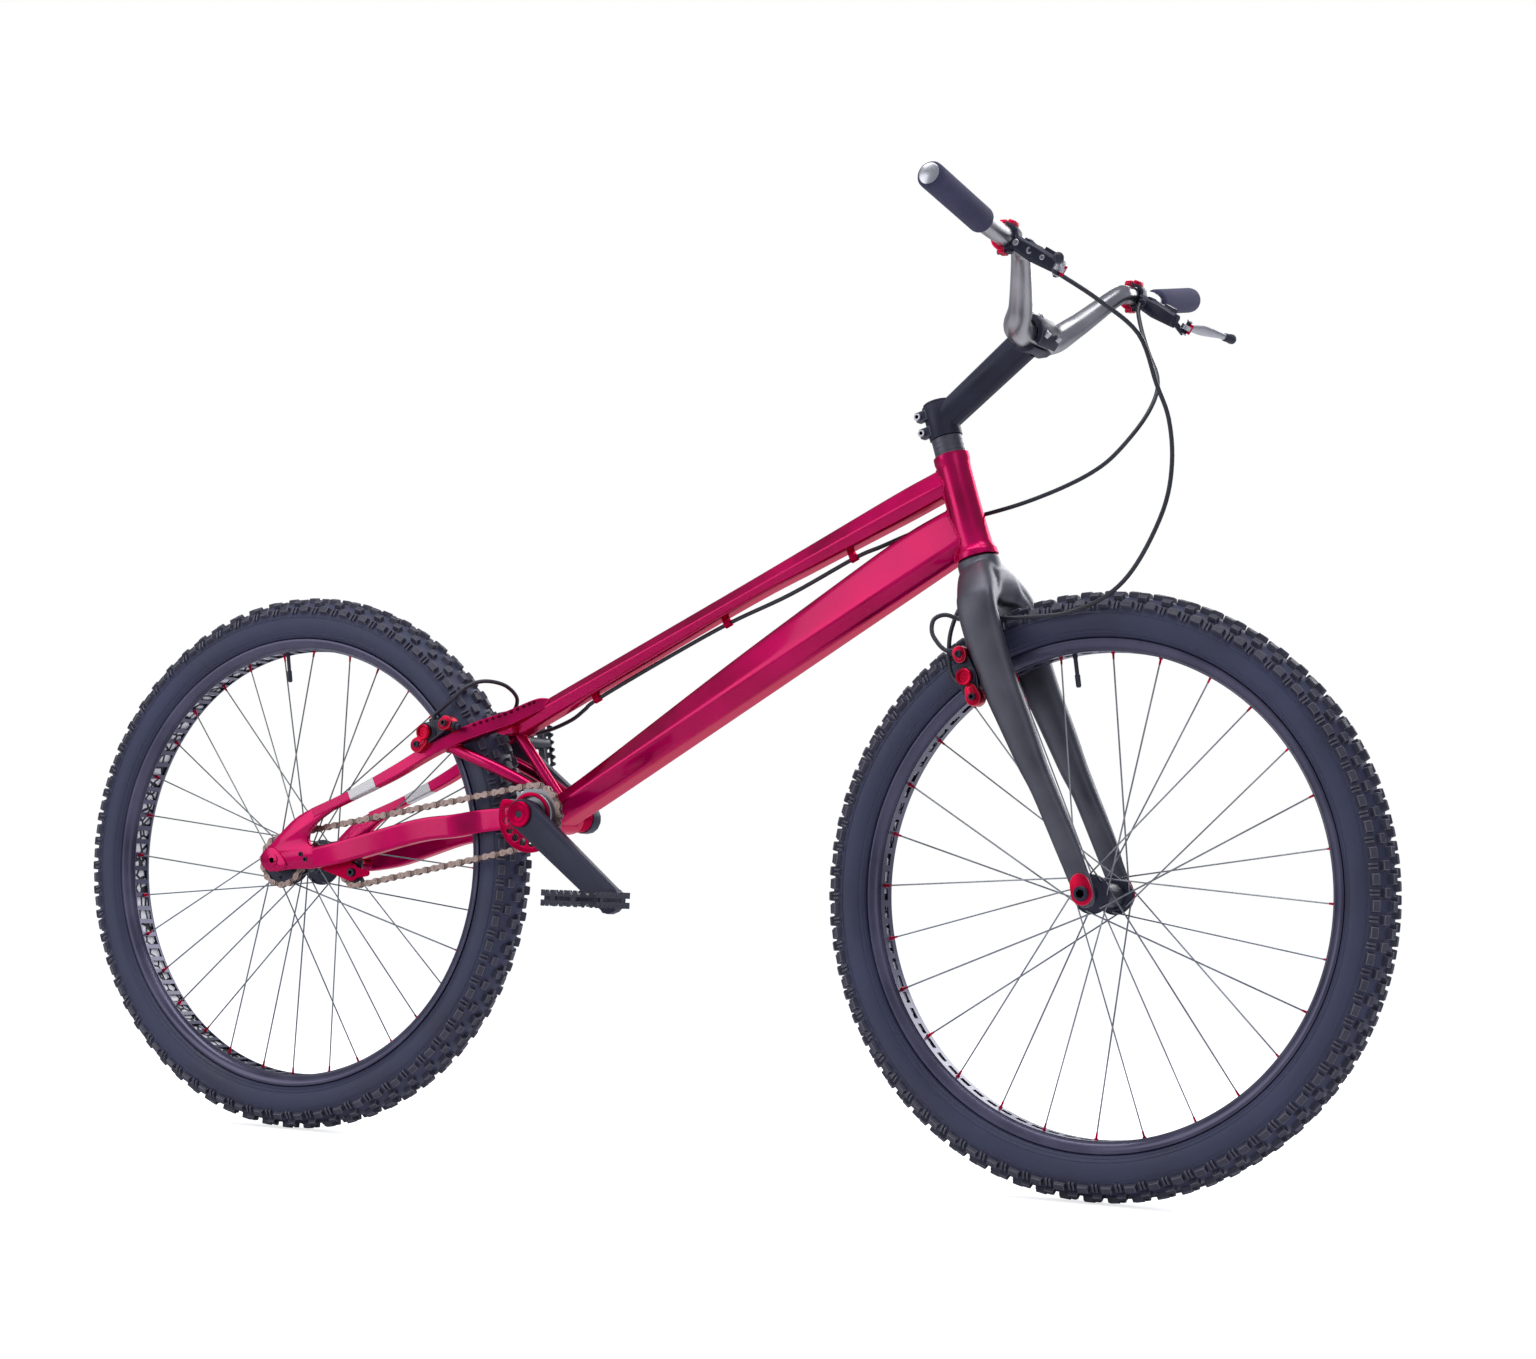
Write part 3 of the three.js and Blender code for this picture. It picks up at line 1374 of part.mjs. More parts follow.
// Places from the wheel's axle, in shares of its rim's radius: middle of the cylinder, then its two bolts.
// The front ones are in the steering group
const FRONT_CALIPER_SHARES = { middle: [-0.237, 0.951], lower: [-0.2255, 0.8657], upper: [-0.237, 1.0463] };
const REAR_CALIPER_SHARES = { middle: [0.793, 0.5803], lower: [0.7579, 0.5266], upper: [0.896, 0.6223] };
const frontHub = [FORK_OFFSET, 0];
const rearHub = [rearAxle.x, rearAxle.z];

function fromHub(places, [hubX, hubZ]) {
  const place = ([x, z]) => [hubX + x * RIM.wall, hubZ + z * RIM.wall];
  return Object.fromEntries(Object.entries(places).map(([key, shares]) => [key, place(shares)]));
}

const frontCaliper = fromHub(FRONT_CALIPER_SHARES, frontHub);
const rearCaliper = fromHub(REAR_CALIPER_SHARES, rearHub);

// A fitting leaves the upper bolt along `away`, another the cylinder along `across`
function caliper({ middle, lower, upper }, away, across, envelope) {
  const body = pinY(CALIPER.radius, -CALIPER.end, -CALIPER.start, ...middle, 12);
  const knob = pinY(CALIPER.knob, -CALIPER.knobEnd, -CALIPER.end + GAP, ...middle, 10);
  const outline = linkOutline(...lower, CALIPER.clamp - GAP, ...upper, CALIPER.clamp, 4);
  const clamp = plateY(outline, -CALIPER.clampEnd, -CALIPER.clampStart);
  const seat = V(upper[0], -CALIPER.fittingAside, upper[1]);
  const fitting = strut(seat, seat.clone().addScaledVector(away, CALIPER.fittingReach), CALIPER.fitting, 6);
  const crossSeat = V(middle[0], -CALIPER.crossAside, middle[1]);
  const crossEnd = crossSeat.clone().addScaledVector(across, CALIPER.crossReach);
  const cross = strut(crossSeat, crossEnd, CALIPER.crossFitting, 6);
  const bore = pinY(PAD.stem + GAP, -PAD.boreDepth, -CALIPER.start + GAP, ...middle, 8);
  return cut(join(body, knob, clamp, fitting, cross), envelope, bore);
}

// The pad lies along the rim's wall, whose middle is at `hub` in the caliper's plane
function brakePad({ middle }, hub, rimWidth) {
  const from = V(middle[0] - hub[0], 0, middle[1] - hub[1]);
  const reach = (RIM.bead + RIM.wall) * HALF - PAD.inset;
  const centre = from.clone().normalize().multiplyScalar(reach);
  const turn = Math.atan2(from.z, from.x);
  const face = rimWidth * HALF + PAD.gap;
  const block = new THREE.BoxGeometry(PAD.height, PAD.thickness, PAD.length)
    .rotateY(-turn)
    .translate(hub[0] + centre.x, -face - PAD.thickness * HALF, hub[1] + centre.z);
  return join(block, pinY(PAD.stem, -PAD.stemEnd, -face - PAD.thickness + GAP, ...middle, 8));
}

const FRONT_AWAY = V(-0.86, 0, 0.51);
const FRONT_ACROSS = V(-1, 0, 0.1).normalize();
const REAR_AWAY = V(0.965, 0, -0.26).normalize();
const REAR_ACROSS = V(-0.2, 0, 1).normalize();
const frontCaliperRight = caliper(frontCaliper, FRONT_AWAY, FRONT_ACROSS, legEnvelope);
const rearCaliperRight = caliper(rearCaliper, REAR_AWAY, REAR_ACROSS, seatstayEnvelope);
const frontPad = brakePad(frontCaliper, frontHub, FRONT_RIM_WIDTH);
const rearPad = brakePad(rearCaliper, rearHub, REAR_RIM_WIDTH);
part("front_caliper_right", frontCaliperRight, RED_ANODISED, steering);
part("front_caliper_left", mirrored(frontCaliperRight), RED_ANODISED, steering);
part("rear_caliper_right", rearCaliperRight, RED_ANODISED);
part("rear_caliper_left", mirrored(rearCaliperRight), RED_ANODISED);
part("brake_pad_front_right", frontPad, BLACK_SATIN, steering);
part("brake_pad_front_left", mirrored(frontPad), BLACK_SATIN, steering);
part("brake_pad_rear_right", rearPad, BLACK_SATIN);
part("brake_pad_rear_left", mirrored(rearPad), BLACK_SATIN);

// Hoses. Their routes are places of the whole bike, chosen by hand

const HOSE_RADIUS = 2.5;
const FRONT_HOSE_ROUTE = [
  [678.9, -155.8, 622.6],
  [684, -149, 617],
  [709.5, -138, 600],
  [746.6, -118, 574],
  [780.5, -85, 541],
  [792.7, -60, 490.6],
  [803, -46, 453],
  [806, -40, 405],
  [797, -38, 355],
  [768, -38, 296],
  [735, -38, 262],
  [689, -38, 243],
  [645, -38.5, 238],
  [592, -39.5, 236],
  [560, -41, 235],
  [541, -45, 240],
  [530, -52, 234],
  [533, -58.5, 219],
  [545, -61, 206],
];
const REAR_STRETCH_ROUTE = [
  [678.9, 155.8, 622.6],
  [680, 149, 612],
  [690, 138, 588],
  [707.6, 120, 556.8],
  [726, 102, 528],
  [731.4, 88, 503],
  [724, 70, 471],
  [702, 52, 434],
  [680, 44, 413],
  [645, 38, 394],
  [597, 34, 376],
  [552, 32, 364],
  [524, 30, 358],
  [506, 28, 354.5],
];
const REAR_HOSE_ROUTE = [
  [505.2, 27.9, 354.3],
  [485, 25, 349],
  [462, 15, 340],
  [430, 6, 325],
  [396, 4, 311.5],
  [313, 4, 270],
  [230, 4, 235.5],
  [140, 4, 191],
  [51.7, 4, 144.5],
  [30, 10, 132],
  [10, 19, 122],
  [-12, 29, 115],
  [-35, 38, 109],
  [-62, 48, 104],
  [-86, 57, 102.5],
  [-104.5, 61, 104],
];
const REAR_CROSSOVER_ROUTE = [
  [-154.9, -46, 112.8],
  [-154.5, -45, 119],
  [-146, -41.5, 128],
  [-136, -36, 139],
  [-126, -25, 154],
  [-117, -10, 163],
  [-106, 6, 165],
  [-94, 22, 160],
  [-88, 36, 147],
  [-98, 45, 132],
  [-120, 47.5, 127],
  [-146, 47, 122],
  [-154, 46.2, 118],
  [-154.9, 46, 112.8],
];
const FRONT_CROSSOVER_ROUTE = [
  [-37.2, -46, 270.7],
  [-44, -45, 273],
  [-49, -40, 292],
  [-46, -26, 328],
  [-36, -10, 356],
  [-34, 0, 360],
  [-36, 10, 356],
  [-46, 26, 328],
  [-49, 40, 292],
  [-44, 45, 273],
  [-37.2, 46, 270.7],
];
part("front_brake_hose", hose(FRONT_HOSE_ROUTE, HOSE_RADIUS, 30), HOSE);
part("rear_hose_stretch", hose(REAR_STRETCH_ROUTE, HOSE_RADIUS, 22), HOSE);
part("rear_brake_hose", hose(REAR_HOSE_ROUTE, HOSE_RADIUS, 24), HOSE);
part("rear_crossover_hose", hose(REAR_CROSSOVER_ROUTE, HOSE_RADIUS, 22), HOSE);
part("front_crossover_hose", hose(FRONT_CROSSOVER_ROUTE, HOSE_RADIUS, 18), HOSE, steering);

export default bike;
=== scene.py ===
"""Looks of a trials bicycle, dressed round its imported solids.

Lengths are in millimetres in the bicycle's frame (x forwards, y to its left, z up, from the middle of
the bottom bracket) until a piece is finished, when its mesh is scaled to metres.
"""

import logging
import math
from collections.abc import Callable, Iterable, Sequence
from dataclasses import dataclass
from enum import Enum
from functools import cache

import bmesh
import bpy
from mathutils import Matrix, Vector
from mathutils.bvhtree import BVHTree
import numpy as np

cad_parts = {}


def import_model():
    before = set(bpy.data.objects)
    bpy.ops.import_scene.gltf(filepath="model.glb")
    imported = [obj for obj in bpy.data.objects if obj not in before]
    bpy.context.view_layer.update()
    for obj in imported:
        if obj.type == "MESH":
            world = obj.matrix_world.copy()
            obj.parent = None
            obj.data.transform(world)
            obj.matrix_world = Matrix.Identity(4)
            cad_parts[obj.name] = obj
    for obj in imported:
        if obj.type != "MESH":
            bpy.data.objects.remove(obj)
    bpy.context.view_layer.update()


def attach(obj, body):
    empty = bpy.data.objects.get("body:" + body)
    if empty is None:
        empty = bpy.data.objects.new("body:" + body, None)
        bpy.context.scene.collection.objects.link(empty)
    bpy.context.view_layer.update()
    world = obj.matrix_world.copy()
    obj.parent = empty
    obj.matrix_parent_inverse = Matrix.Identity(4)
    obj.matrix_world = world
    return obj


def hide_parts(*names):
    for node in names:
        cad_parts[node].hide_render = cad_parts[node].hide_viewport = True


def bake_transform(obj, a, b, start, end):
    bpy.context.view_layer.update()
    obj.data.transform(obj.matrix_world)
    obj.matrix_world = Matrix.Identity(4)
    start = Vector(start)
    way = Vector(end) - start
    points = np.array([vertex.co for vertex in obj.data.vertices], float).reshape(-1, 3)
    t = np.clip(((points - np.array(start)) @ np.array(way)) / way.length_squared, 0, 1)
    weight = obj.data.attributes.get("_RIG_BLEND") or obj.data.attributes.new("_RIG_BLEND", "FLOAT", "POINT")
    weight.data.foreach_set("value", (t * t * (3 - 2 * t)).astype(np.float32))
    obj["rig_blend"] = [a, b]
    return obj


log = logging.getLogger("trials_bicycle")

MM = 0.001
FULL_TURN = 2 * math.pi
X_AXIS = Vector((1, 0, 0))
Y_AXIS = Vector((0, 1, 0))
Z_AXIS = Vector((0, 0, 1))

Place = Sequence[float]
Ring = list[Vector]
Colour = tuple[float, float, float]


class Side(Enum):
    """The two sides of the bicycle, with the sign of y."""

    RIGHT = -1
    LEFT = 1

    @property
    def word(self) -> str:
        """The side's name as the solids' names give it."""
        return self.name.lower()


@dataclass(frozen=True)
class Layout:
    """Places and sizes that more than one sub-assembly needs."""

    rear_axle: Place = (-376.078, 0, -67)
    front_axle: Place = (725.922, 0, -67)
    steering_foot: Place = (683.1225, 0, -80.9058)
    head_angle: float = math.radians(72)
    bar_centre: Place = (616.11, 0, 562.21)
    ground: float = -404
    chain_line: float = 46
    chain_pitch: float = 12.7
    crank_length: float = 170
    crank_turn: float = math.radians(-34.8)
    guide_pulley: Place = (-319.878, 0, -63)
    tension_pulley: Place = (-262.378, 0, -78)

    def steered(self, x: float, y: float, z: float) -> Vector:
        """A place given from the steering axis's foot, in the bicycle's frame.

        Args:
            x: Way forwards, square to the steering axis.
            y: Way to the left.
            z: Way up the steering axis.

        Returns:
            The place in the bicycle's frame.
        """
        sin, cos = math.sin(self.head_angle), math.cos(self.head_angle)
        foot = self.steering_foot
        return Vector((foot[0] + x * sin - z * cos, y, foot[2] + x * cos + z * sin))

    @property
    def steering_axis(self) -> Vector:
        """The way up the steering axis."""
        return Vector((-math.cos(self.head_angle), 0, math.sin(self.head_angle)))

    @property
    def crank_way(self) -> Vector:
        """The way from the bottom bracket to the right pedal."""
        return Vector((math.cos(self.crank_turn), 0, math.sin(self.crank_turn)))


LAYOUT = Layout()


# Shader groups and finishes


VECTOR, NUMBER, COLOUR = "NodeSocketVector", "NodeSocketFloat", "NodeSocketColor"

Tree = bpy.types.NodeTree
Node = bpy.types.Node
Socket = bpy.types.NodeSocket
Inputs = dict[str | int, float | Place | Socket]


def fed(tree: Tree, node: Node, inputs: Inputs) -> Node:
    """Gives a node's inputs their values, or joins them to what feeds them.

    Args:
        tree: The nodes that it is among.
        node: The node.
        inputs: A value or a socket for each input's name or number.

    Returns:
        The node.
    """
    for key, given in inputs.items():
        if isinstance(given, Socket):
            tree.links.new(given, node.inputs[key])
        else:
            node.inputs[key].default_value = given
    return node


def laid(tree: Tree, kind: str, inputs: Inputs, **settings: str | Tree) -> Node:
    """Adds a shader node.

    Args:
        tree: The nodes that it joins.
        kind: Its type, without "ShaderNode".
        inputs: A value or a socket for each input's name or number.
        settings: The node's own properties.

    Returns:
        The node.
    """
    node = tree.nodes.new(f"ShaderNode{kind}")
    for name, setting in settings.items():
        setattr(node, name, setting)
    return fed(tree, node, inputs)


class Effects:
    """Shader groups that several finishes share, each built once."""

    @staticmethod
    def begin(name: str, inputs: dict[str, float | Colour]) -> tuple[Tree, bpy.types.NodeOutputs]:
        """Starts a group that reads coordinates and named inputs.

        Args:
            name: The group's name.
            inputs: A number or a colour for each input's name.

        Returns:
            The new node tree and the sockets that give the inputs.
        """
        tree = bpy.data.node_groups.new(name, "ShaderNodeTree")
        tree.interface.new_socket("Vector", in_out="INPUT", socket_type=VECTOR)
        for label, given in inputs.items():
            kind = COLOUR if isinstance(given, tuple) else NUMBER
            socket = tree.interface.new_socket(label, in_out="INPUT", socket_type=kind)
            socket.default_value = (*given, 1) if kind == COLOUR else given
        return tree, tree.nodes.new("NodeGroupInput").outputs

    @staticmethod
    def end(tree: Tree, outputs: dict[str, tuple[str, Socket]]) -> Tree:
        """Gives a group its outputs.

        Args:
            tree: The group.
            outputs: Each output's name, its type and the socket that feeds it.

        Returns:
            The group.
        """
        for label, (kind, _) in outputs.items():
            tree.interface.new_socket(label, in_out="OUTPUT", socket_type=kind)
        feeds = {label: socket for label, (_, socket) in outputs.items()}
        fed(tree, tree.nodes.new("NodeGroupOutput"), feeds)
        return tree

    @classmethod
    @cache
    def mottle(cls) -> Tree:
        """Slow cloudy change between two colours, with a mask for roughness.

        Returns:
            The group.
        """
        tree, given = cls.begin("mottle", {"Scale": 20.0, "Dark": (0, 0, 0), "Light": (1, 1, 1)})
        noise = laid(tree, "TexNoise", {"Vector": given["Vector"], "Scale": given["Scale"], "Detail": 5})
        ramp = laid(tree, "MapRange", {"Value": noise.outputs["Fac"], "From Min": 0.32, "From Max": 0.68})
        mask = ramp.outputs["Result"]
        mix = laid(tree, "Mix", {"Factor": mask, "A": given["Dark"], "B": given["Light"]}, data_type="RGBA")
        return cls.end(tree, {"Colour": (COLOUR, mix.outputs["Result"]), "Mask": (NUMBER, mask)})

    @classmethod
    @cache
    def wear(cls) -> Tree:
        """Rubbed edges and fine scuffs over a colour, with their roughness.

        Returns:
            The group.
        """
        tree, given = cls.begin("wear", {
            "Edge": 0.0, "Base": (0, 0, 0), "Bare": (1, 1, 1), "Edge Share": 0.4, "Scuff Share": 0.2,
            "Roughness": 0.4, "Mask": 0.0,
        })

        def worked(operation: str, *terms: float | Socket) -> Socket:
            """A Math node's result from its terms."""
            return laid(tree, "Math", dict(enumerate(terms)), operation=operation).outputs[0]

        vector = given["Vector"]
        patches = laid(tree, "TexNoise", {"Vector": vector, "Scale": 55, "Detail": 6})
        streaks = laid(tree, "TexNoise", {"Vector": vector, "Scale": 260, "Detail": 2, "Distortion": 2.5})
        scuffs = laid(tree, "MapRange", {"Value": streaks.outputs["Fac"], "From Min": 0.66, "From Max": 0.74})
        rubbed = worked("MULTIPLY", given["Edge"], patches.outputs["Fac"])
        worn = worked(
            "MAXIMUM",
            worked("MULTIPLY", rubbed, given["Edge Share"]),
            worked("MULTIPLY", scuffs.outputs["Result"], given["Scuff Share"]),
        )
        mix = laid(tree, "Mix", {"Factor": worn, "A": given["Base"], "B": given["Bare"]}, data_type="RGBA")
        clouded = worked("MULTIPLY_ADD", given["Mask"], 0.18, given["Roughness"])
        rough = worked("MULTIPLY_ADD", worn, 0.12, clouded)
        return cls.end(tree, {"Colour": (COLOUR, mix.outputs["Result"]), "Roughness": (NUMBER, rough)})

    @classmethod
    @cache
    def grain(cls) -> Tree:
        """A height made of fine grain and a slower wave.

        Returns:
            The group.
        """
        tree, given = cls.begin("grain", {"Fine Scale": 900.0, "Slow Scale": 60.0, "Slow Share": 0.3})
        fine, slow = (
            laid(tree, "TexNoise", {"Vector": given["Vector"], "Scale": given[scale], "Detail": 3})
            for scale in ("Fine Scale", "Slow Scale")
        )
        mix = laid(tree, "Mix", {
            "Factor": given["Slow Share"], "A": fine.outputs["Fac"], "B": slow.outputs["Fac"],
        })
        return cls.end(tree, {"Height": (NUMBER, mix.outputs["Result"])})


@dataclass(frozen=True)
class Finish:
    """One surface finish, made a material on first use."""

    name: str
    dark: Colour
    light: Colour
    bare: Colour
    roughness: float
    metallic: float = 0.0
    coat: float = 0.0
    coat_roughness: float = 0.05
    edge_tint: Colour = (1, 1, 1)
    sheen: float = 0.0
    cloud_scale: float = 18.0
    edge_share: float = 0.5
    scuff_share: float = 0.15
    fine_scale: float = 900.0
    slow_scale: float = 60.0
    slow_share: float = 0.3
    relief: float = 0.02
    stretch: Place = (1, 1, 1)
    slot: str = ""

    @cache
    def material(self) -> bpy.types.Material:
        """The finish's material, built once.

        Returns:
            A Blender material with nodes.
        """
        made = bpy.data.materials.new(self.name)
        made.use_nodes = True
        tree = made.node_tree
        place = laid(tree, "TexCoord", {}).outputs["Object"]
        vector = laid(tree, "Mapping", {"Vector": place, "Scale": self.stretch}).outputs["Vector"]
        edge = laid(tree, "Attribute", {}, attribute_name="edge")
        mottle = laid(tree, "Group", {
            "Vector": vector, "Scale": self.cloud_scale, "Dark": (*self.dark, 1), "Light": (*self.light, 1),
        }, node_tree=Effects.mottle())
        wear = laid(tree, "Group", {
            "Vector": vector, "Edge": edge.outputs["Fac"], "Mask": mottle.outputs["Mask"],
            "Base": self.coloured(tree, mottle.outputs["Colour"], vector), "Bare": (*self.bare, 1),
            "Edge Share": self.edge_share, "Scuff Share": self.scuff_share, "Roughness": self.roughness,
        }, node_tree=Effects.wear())
        grain = laid(tree, "Group", {
            "Vector": vector, "Fine Scale": self.fine_scale, "Slow Scale": self.slow_scale,
            "Slow Share": self.slow_share,
        }, node_tree=Effects.grain())
        height = grain.outputs["Height"]
        bump = laid(tree, "Bump", {"Strength": self.relief, "Distance": MM, "Height": height})
        fed(tree, tree.nodes["Principled BSDF"], {
            "Base Color": wear.outputs["Colour"], "Roughness": wear.outputs["Roughness"],
            "Normal": bump.outputs["Normal"], "Metallic": self.metallic,
            "Specular Tint": (*self.edge_tint, 1), "Coat Weight": self.coat,
            "Coat Roughness": self.coat_roughness, "Sheen Weight": self.sheen,
        })
        return made

    def coloured(self, tree: Tree, colour: Socket, vector: Socket) -> Socket:
        """The colour before wear; a finish with a pattern changes it here.

        Args:
            tree: The material's nodes.
            colour: The mottled colour.
            vector: The coordinates.

        Returns:
            The socket that holds the colour.
        """
        return colour


@dataclass(frozen=True)
class Dotted(Finish):
    """A finish with a broken pattern of a second colour, as on a printed rim tape."""

    spot: Colour = (0, 0, 0)
    spot_scale: float = 70.0
    spot_share: float = 0.5

    def coloured(self, tree: Tree, colour: Socket, vector: Socket) -> Socket:
        """Lays blotches of the spot colour over the plain one.

        Args:
            tree: The material's nodes.
            colour: The plain colour.
            vector: The coordinates.

        Returns:
            The socket that holds the blotched colour.
        """
        spread = {"Vector": vector, "Scale": self.spot_scale}
        cells = laid(tree, "TexVoronoi", spread, feature="DISTANCE_TO_EDGE")
        near = laid(tree, "Math", {0: cells.outputs["Distance"], 1: self.spot_share}, operation="LESS_THAN")
        spots = {"Factor": near.outputs[0], "A": colour, "B": (*self.spot, 1)}
        mix = laid(tree, "Mix", spots, data_type="RGBA")
        return mix.outputs["Result"]


CANDY_RED = Finish(
    "candy_red", (0.42, 0.0, 0.068), (0.55, 0.0, 0.1), (0.64, 0.02, 0.16), 0.27, metallic=1.0,
    coat=0.34, coat_roughness=0.08, edge_tint=(1, 0.25, 0.4), edge_share=0.15, scuff_share=0.0,
    fine_scale=2600, relief=0.0, slot="frame_paint",
)
# Very dark red for the seatstay's dots: painted shade, standing in for the shade inside punched holes.
HOLE_SHADE_RED = Finish(
    "punched_red", (0.09, 0.0, 0.014), (0.14, 0.0, 0.025), (0.4, 0.02, 0.09), 0.35, metallic=1.0,
    slot="frame_paint",
)
BARE_BAND = Finish(
    "clear_coated_band", (0.42, 0.41, 0.42), (0.56, 0.55, 0.56), (0.9, 0.9, 0.9), 0.26, metallic=0.95,
    coat=0.4, scuff_share=0.05, slot="frame_paint",
)
RED_ANODISED = Finish(
    "red_anodised", (0.42, 0.001, 0.024), (0.62, 0.004, 0.05), (0.9, 0.3, 0.34), 0.28, metallic=0.9,
    edge_share=0.45, scuff_share=0.04, relief=0.05, slot="red_anodised",
)
DEEP_RED = Finish(
    "deep_red_anodised", (0.3, 0.0, 0.03), (0.46, 0.001, 0.045), (0.8, 0.16, 0.24), 0.3, metallic=0.95,
    edge_tint=(1, 0.4, 0.5), edge_share=0.4, scuff_share=0.04, relief=0.04, slot="red_anodised",
)
FORK_GRAPHITE = Finish(
    "fork_graphite", (0.072, 0.072, 0.092), (0.115, 0.115, 0.14), (0.32, 0.32, 0.36), 0.37,
    metallic=0.75, coat=0.15, coat_roughness=0.3, scuff_share=0.03, fine_scale=2400, relief=0.08,
    slot="fork_paint",
)
BLACK_METAL = Finish(
    "black_anodised", (0.01, 0.011, 0.026), (0.02, 0.022, 0.046), (0.34, 0.34, 0.42), 0.36,
    metallic=0.35, edge_share=0.4, scuff_share=0.05, relief=0.05, slot="black_metal",
)
CRANK_BLACK = Finish(
    "crank_black", (0.011, 0.012, 0.034), (0.017, 0.019, 0.048), (0.3, 0.28, 0.36), 0.42,
    metallic=0.2, edge_share=0.55, scuff_share=0.05, relief=0.05, slot="black_metal",
)
BLACK_RIM = Finish(
    "black_rim", (0.055, 0.052, 0.094), (0.088, 0.084, 0.142), (0.34, 0.33, 0.43), 0.28, metallic=0.75,
    coat=0.3, scuff_share=0.03, relief=0.04, slot="black_rim",
)
RIM_TAPE = Dotted(
    "rim_tape", (0.72, 0.72, 0.78), (0.86, 0.86, 0.9), (0.5, 0.5, 0.5), 0.55, edge_share=0.0,
    spot=(0.012, 0.012, 0.022), spot_scale=64.0, spot_share=0.1, slot="black_rim",
)
TYRE_RUBBER = Finish(
    "tyre_rubber", (0.022, 0.025, 0.06), (0.038, 0.043, 0.094), (0.08, 0.078, 0.09), 0.46,
    edge_share=0.6, scuff_share=0.1, cloud_scale=9, fine_scale=700, relief=0.2, slot="tyre",
)
KNOB_RUBBER = Finish(
    "knob_rubber", (0.024, 0.024, 0.043), (0.052, 0.05, 0.08), (0.21, 0.2, 0.235), 0.46,
    edge_share=0.85, scuff_share=0.2, cloud_scale=40, fine_scale=1100, relief=0.25, slot="tyre",
)
CHAIN_STEEL = Finish(
    "chain_steel", (0.25, 0.176, 0.156), (0.45, 0.34, 0.308), (0.85, 0.72, 0.67), 0.32, metallic=0.9,
    cloud_scale=160, scuff_share=0.3, slot="chain_steel",
)
CHAIN_ROLLER = Finish(
    "chain_roller", (0.14, 0.098, 0.084), (0.28, 0.2, 0.178), (0.5, 0.41, 0.37), 0.38, metallic=0.85,
    cloud_scale=160, slot="chain_steel",
)
SILVER = Finish(
    "polished_steel", (0.42, 0.42, 0.45), (0.6, 0.6, 0.63), (0.9, 0.9, 0.9), 0.24, metallic=1,
    scuff_share=0.04, relief=0.02, slot="chain_steel",
)
SPOKE_STEEL = Finish(
    "spoke_steel", (0.2, 0.21, 0.23), (0.36, 0.37, 0.4), (0.8, 0.8, 0.8), 0.3, metallic=0.9,
    slot="chain_steel",
)
DARK_SPOKE = Finish(
    "dark_spoke", (0.14, 0.16, 0.17), (0.26, 0.29, 0.3), (0.44, 0.45, 0.45), 0.35, metallic=0.8,
    slot="black_metal",
)
BAR_METAL = Finish(
    "bar_metal", (0.3, 0.292, 0.31), (0.5, 0.49, 0.51), (0.85, 0.85, 0.85), 0.24, metallic=1.0,
    scuff_share=0.03, stretch=(1, 0.2, 1), relief=0.02, slot="bar_metal",
)
FOAM = Finish(
    "grip_foam", (0.036, 0.035, 0.085), (0.06, 0.058, 0.125), (0.08, 0.08, 0.1), 0.8, sheen=0.05,
    edge_share=0.3, fine_scale=1500, slow_scale=320, slow_share=0.5, relief=0.6, slot="grip_foam",
)
PAD_RUBBER = Finish(
    "pad_rubber", (0.012, 0.012, 0.02), (0.028, 0.028, 0.04), (0.09, 0.09, 0.09), 0.6,
    relief=0.2, slot="pad_rubber",
)
HOSE_BLACK = Finish(
    "hose_black", (0.014, 0.015, 0.024), (0.026, 0.028, 0.042), (0.08, 0.08, 0.09), 0.3,
    edge_share=0.0, scuff_share=0.05, relief=0.02, slot="hose",
)
BLACK_PLASTIC = Finish(
    "black_plastic", (0.012, 0.013, 0.026), (0.026, 0.028, 0.05), (0.16, 0.16, 0.19), 0.44,
    edge_share=0.7, scuff_share=0.1, fine_scale=1400, relief=0.15, slot="black_plastic",
)


# Mesh shaping


def eased(points: Sequence[Place], rounds: int = 2, keep: float = 0.25) -> list[Vector]:
    """Rounds the corners of a closed outline by cutting them again and again.

    Args:
        points: The outline's corners.
        rounds: How many times each corner is cut.
        keep: Share of each side that a cut takes off.

    Returns:
        The rounded outline.
    """
    line = [Vector(p) for p in points]
    for _ in range(rounds):
        line = [
            spot
            for a, b in zip(line, line[1:] + line[:1])
            for spot in (a.lerp(b, keep), b.lerp(a, keep))
        ]
    return line


def flowing(line: Sequence[Vector], steps: int) -> list[Vector]:
    """A smooth curve through the points of an open line.

    Args:
        line: Points that the curve goes through.
        steps: Pieces between one point and the next.

    Returns:
        Points along the curve.
    """
    made = []
    for i in range(len(line) - 1):
        a, b, c, d = (line[max(i - 1, 0)], line[i], line[i + 1], line[min(i + 2, len(line) - 1)])
        bend, twist = 2 * a - 5 * b + 4 * c - d, 3 * b - a - 3 * c + d
        for s in range(steps):
            t = s / steps
            made.append(0.5 * (2 * b + (c - a) * t + bend * t**2 + twist * t**3))
    return [*made, line[-1].copy()]


def section(
    at: Vector, run: Vector, aside: Vector, wide: float, tall: float, shares: Iterable[Place]
) -> Ring:
    """Places an outline square to the way that a path runs.

    Args:
        at: The section's middle.
        run: The way that the path runs.
        aside: The way that the outline's first share points.
        wide: Half width, towards aside.
        tall: Half height.
        shares: The outline, in shares of the half width and half height.

    Returns:
        The ring of places.
    """
    run = run.normalized()
    side = (aside - run * run.dot(aside)).normalized()
    up = run.cross(side)
    return [at + side * (s[0] * wide) + up * (s[1] * tall) for s in shares]


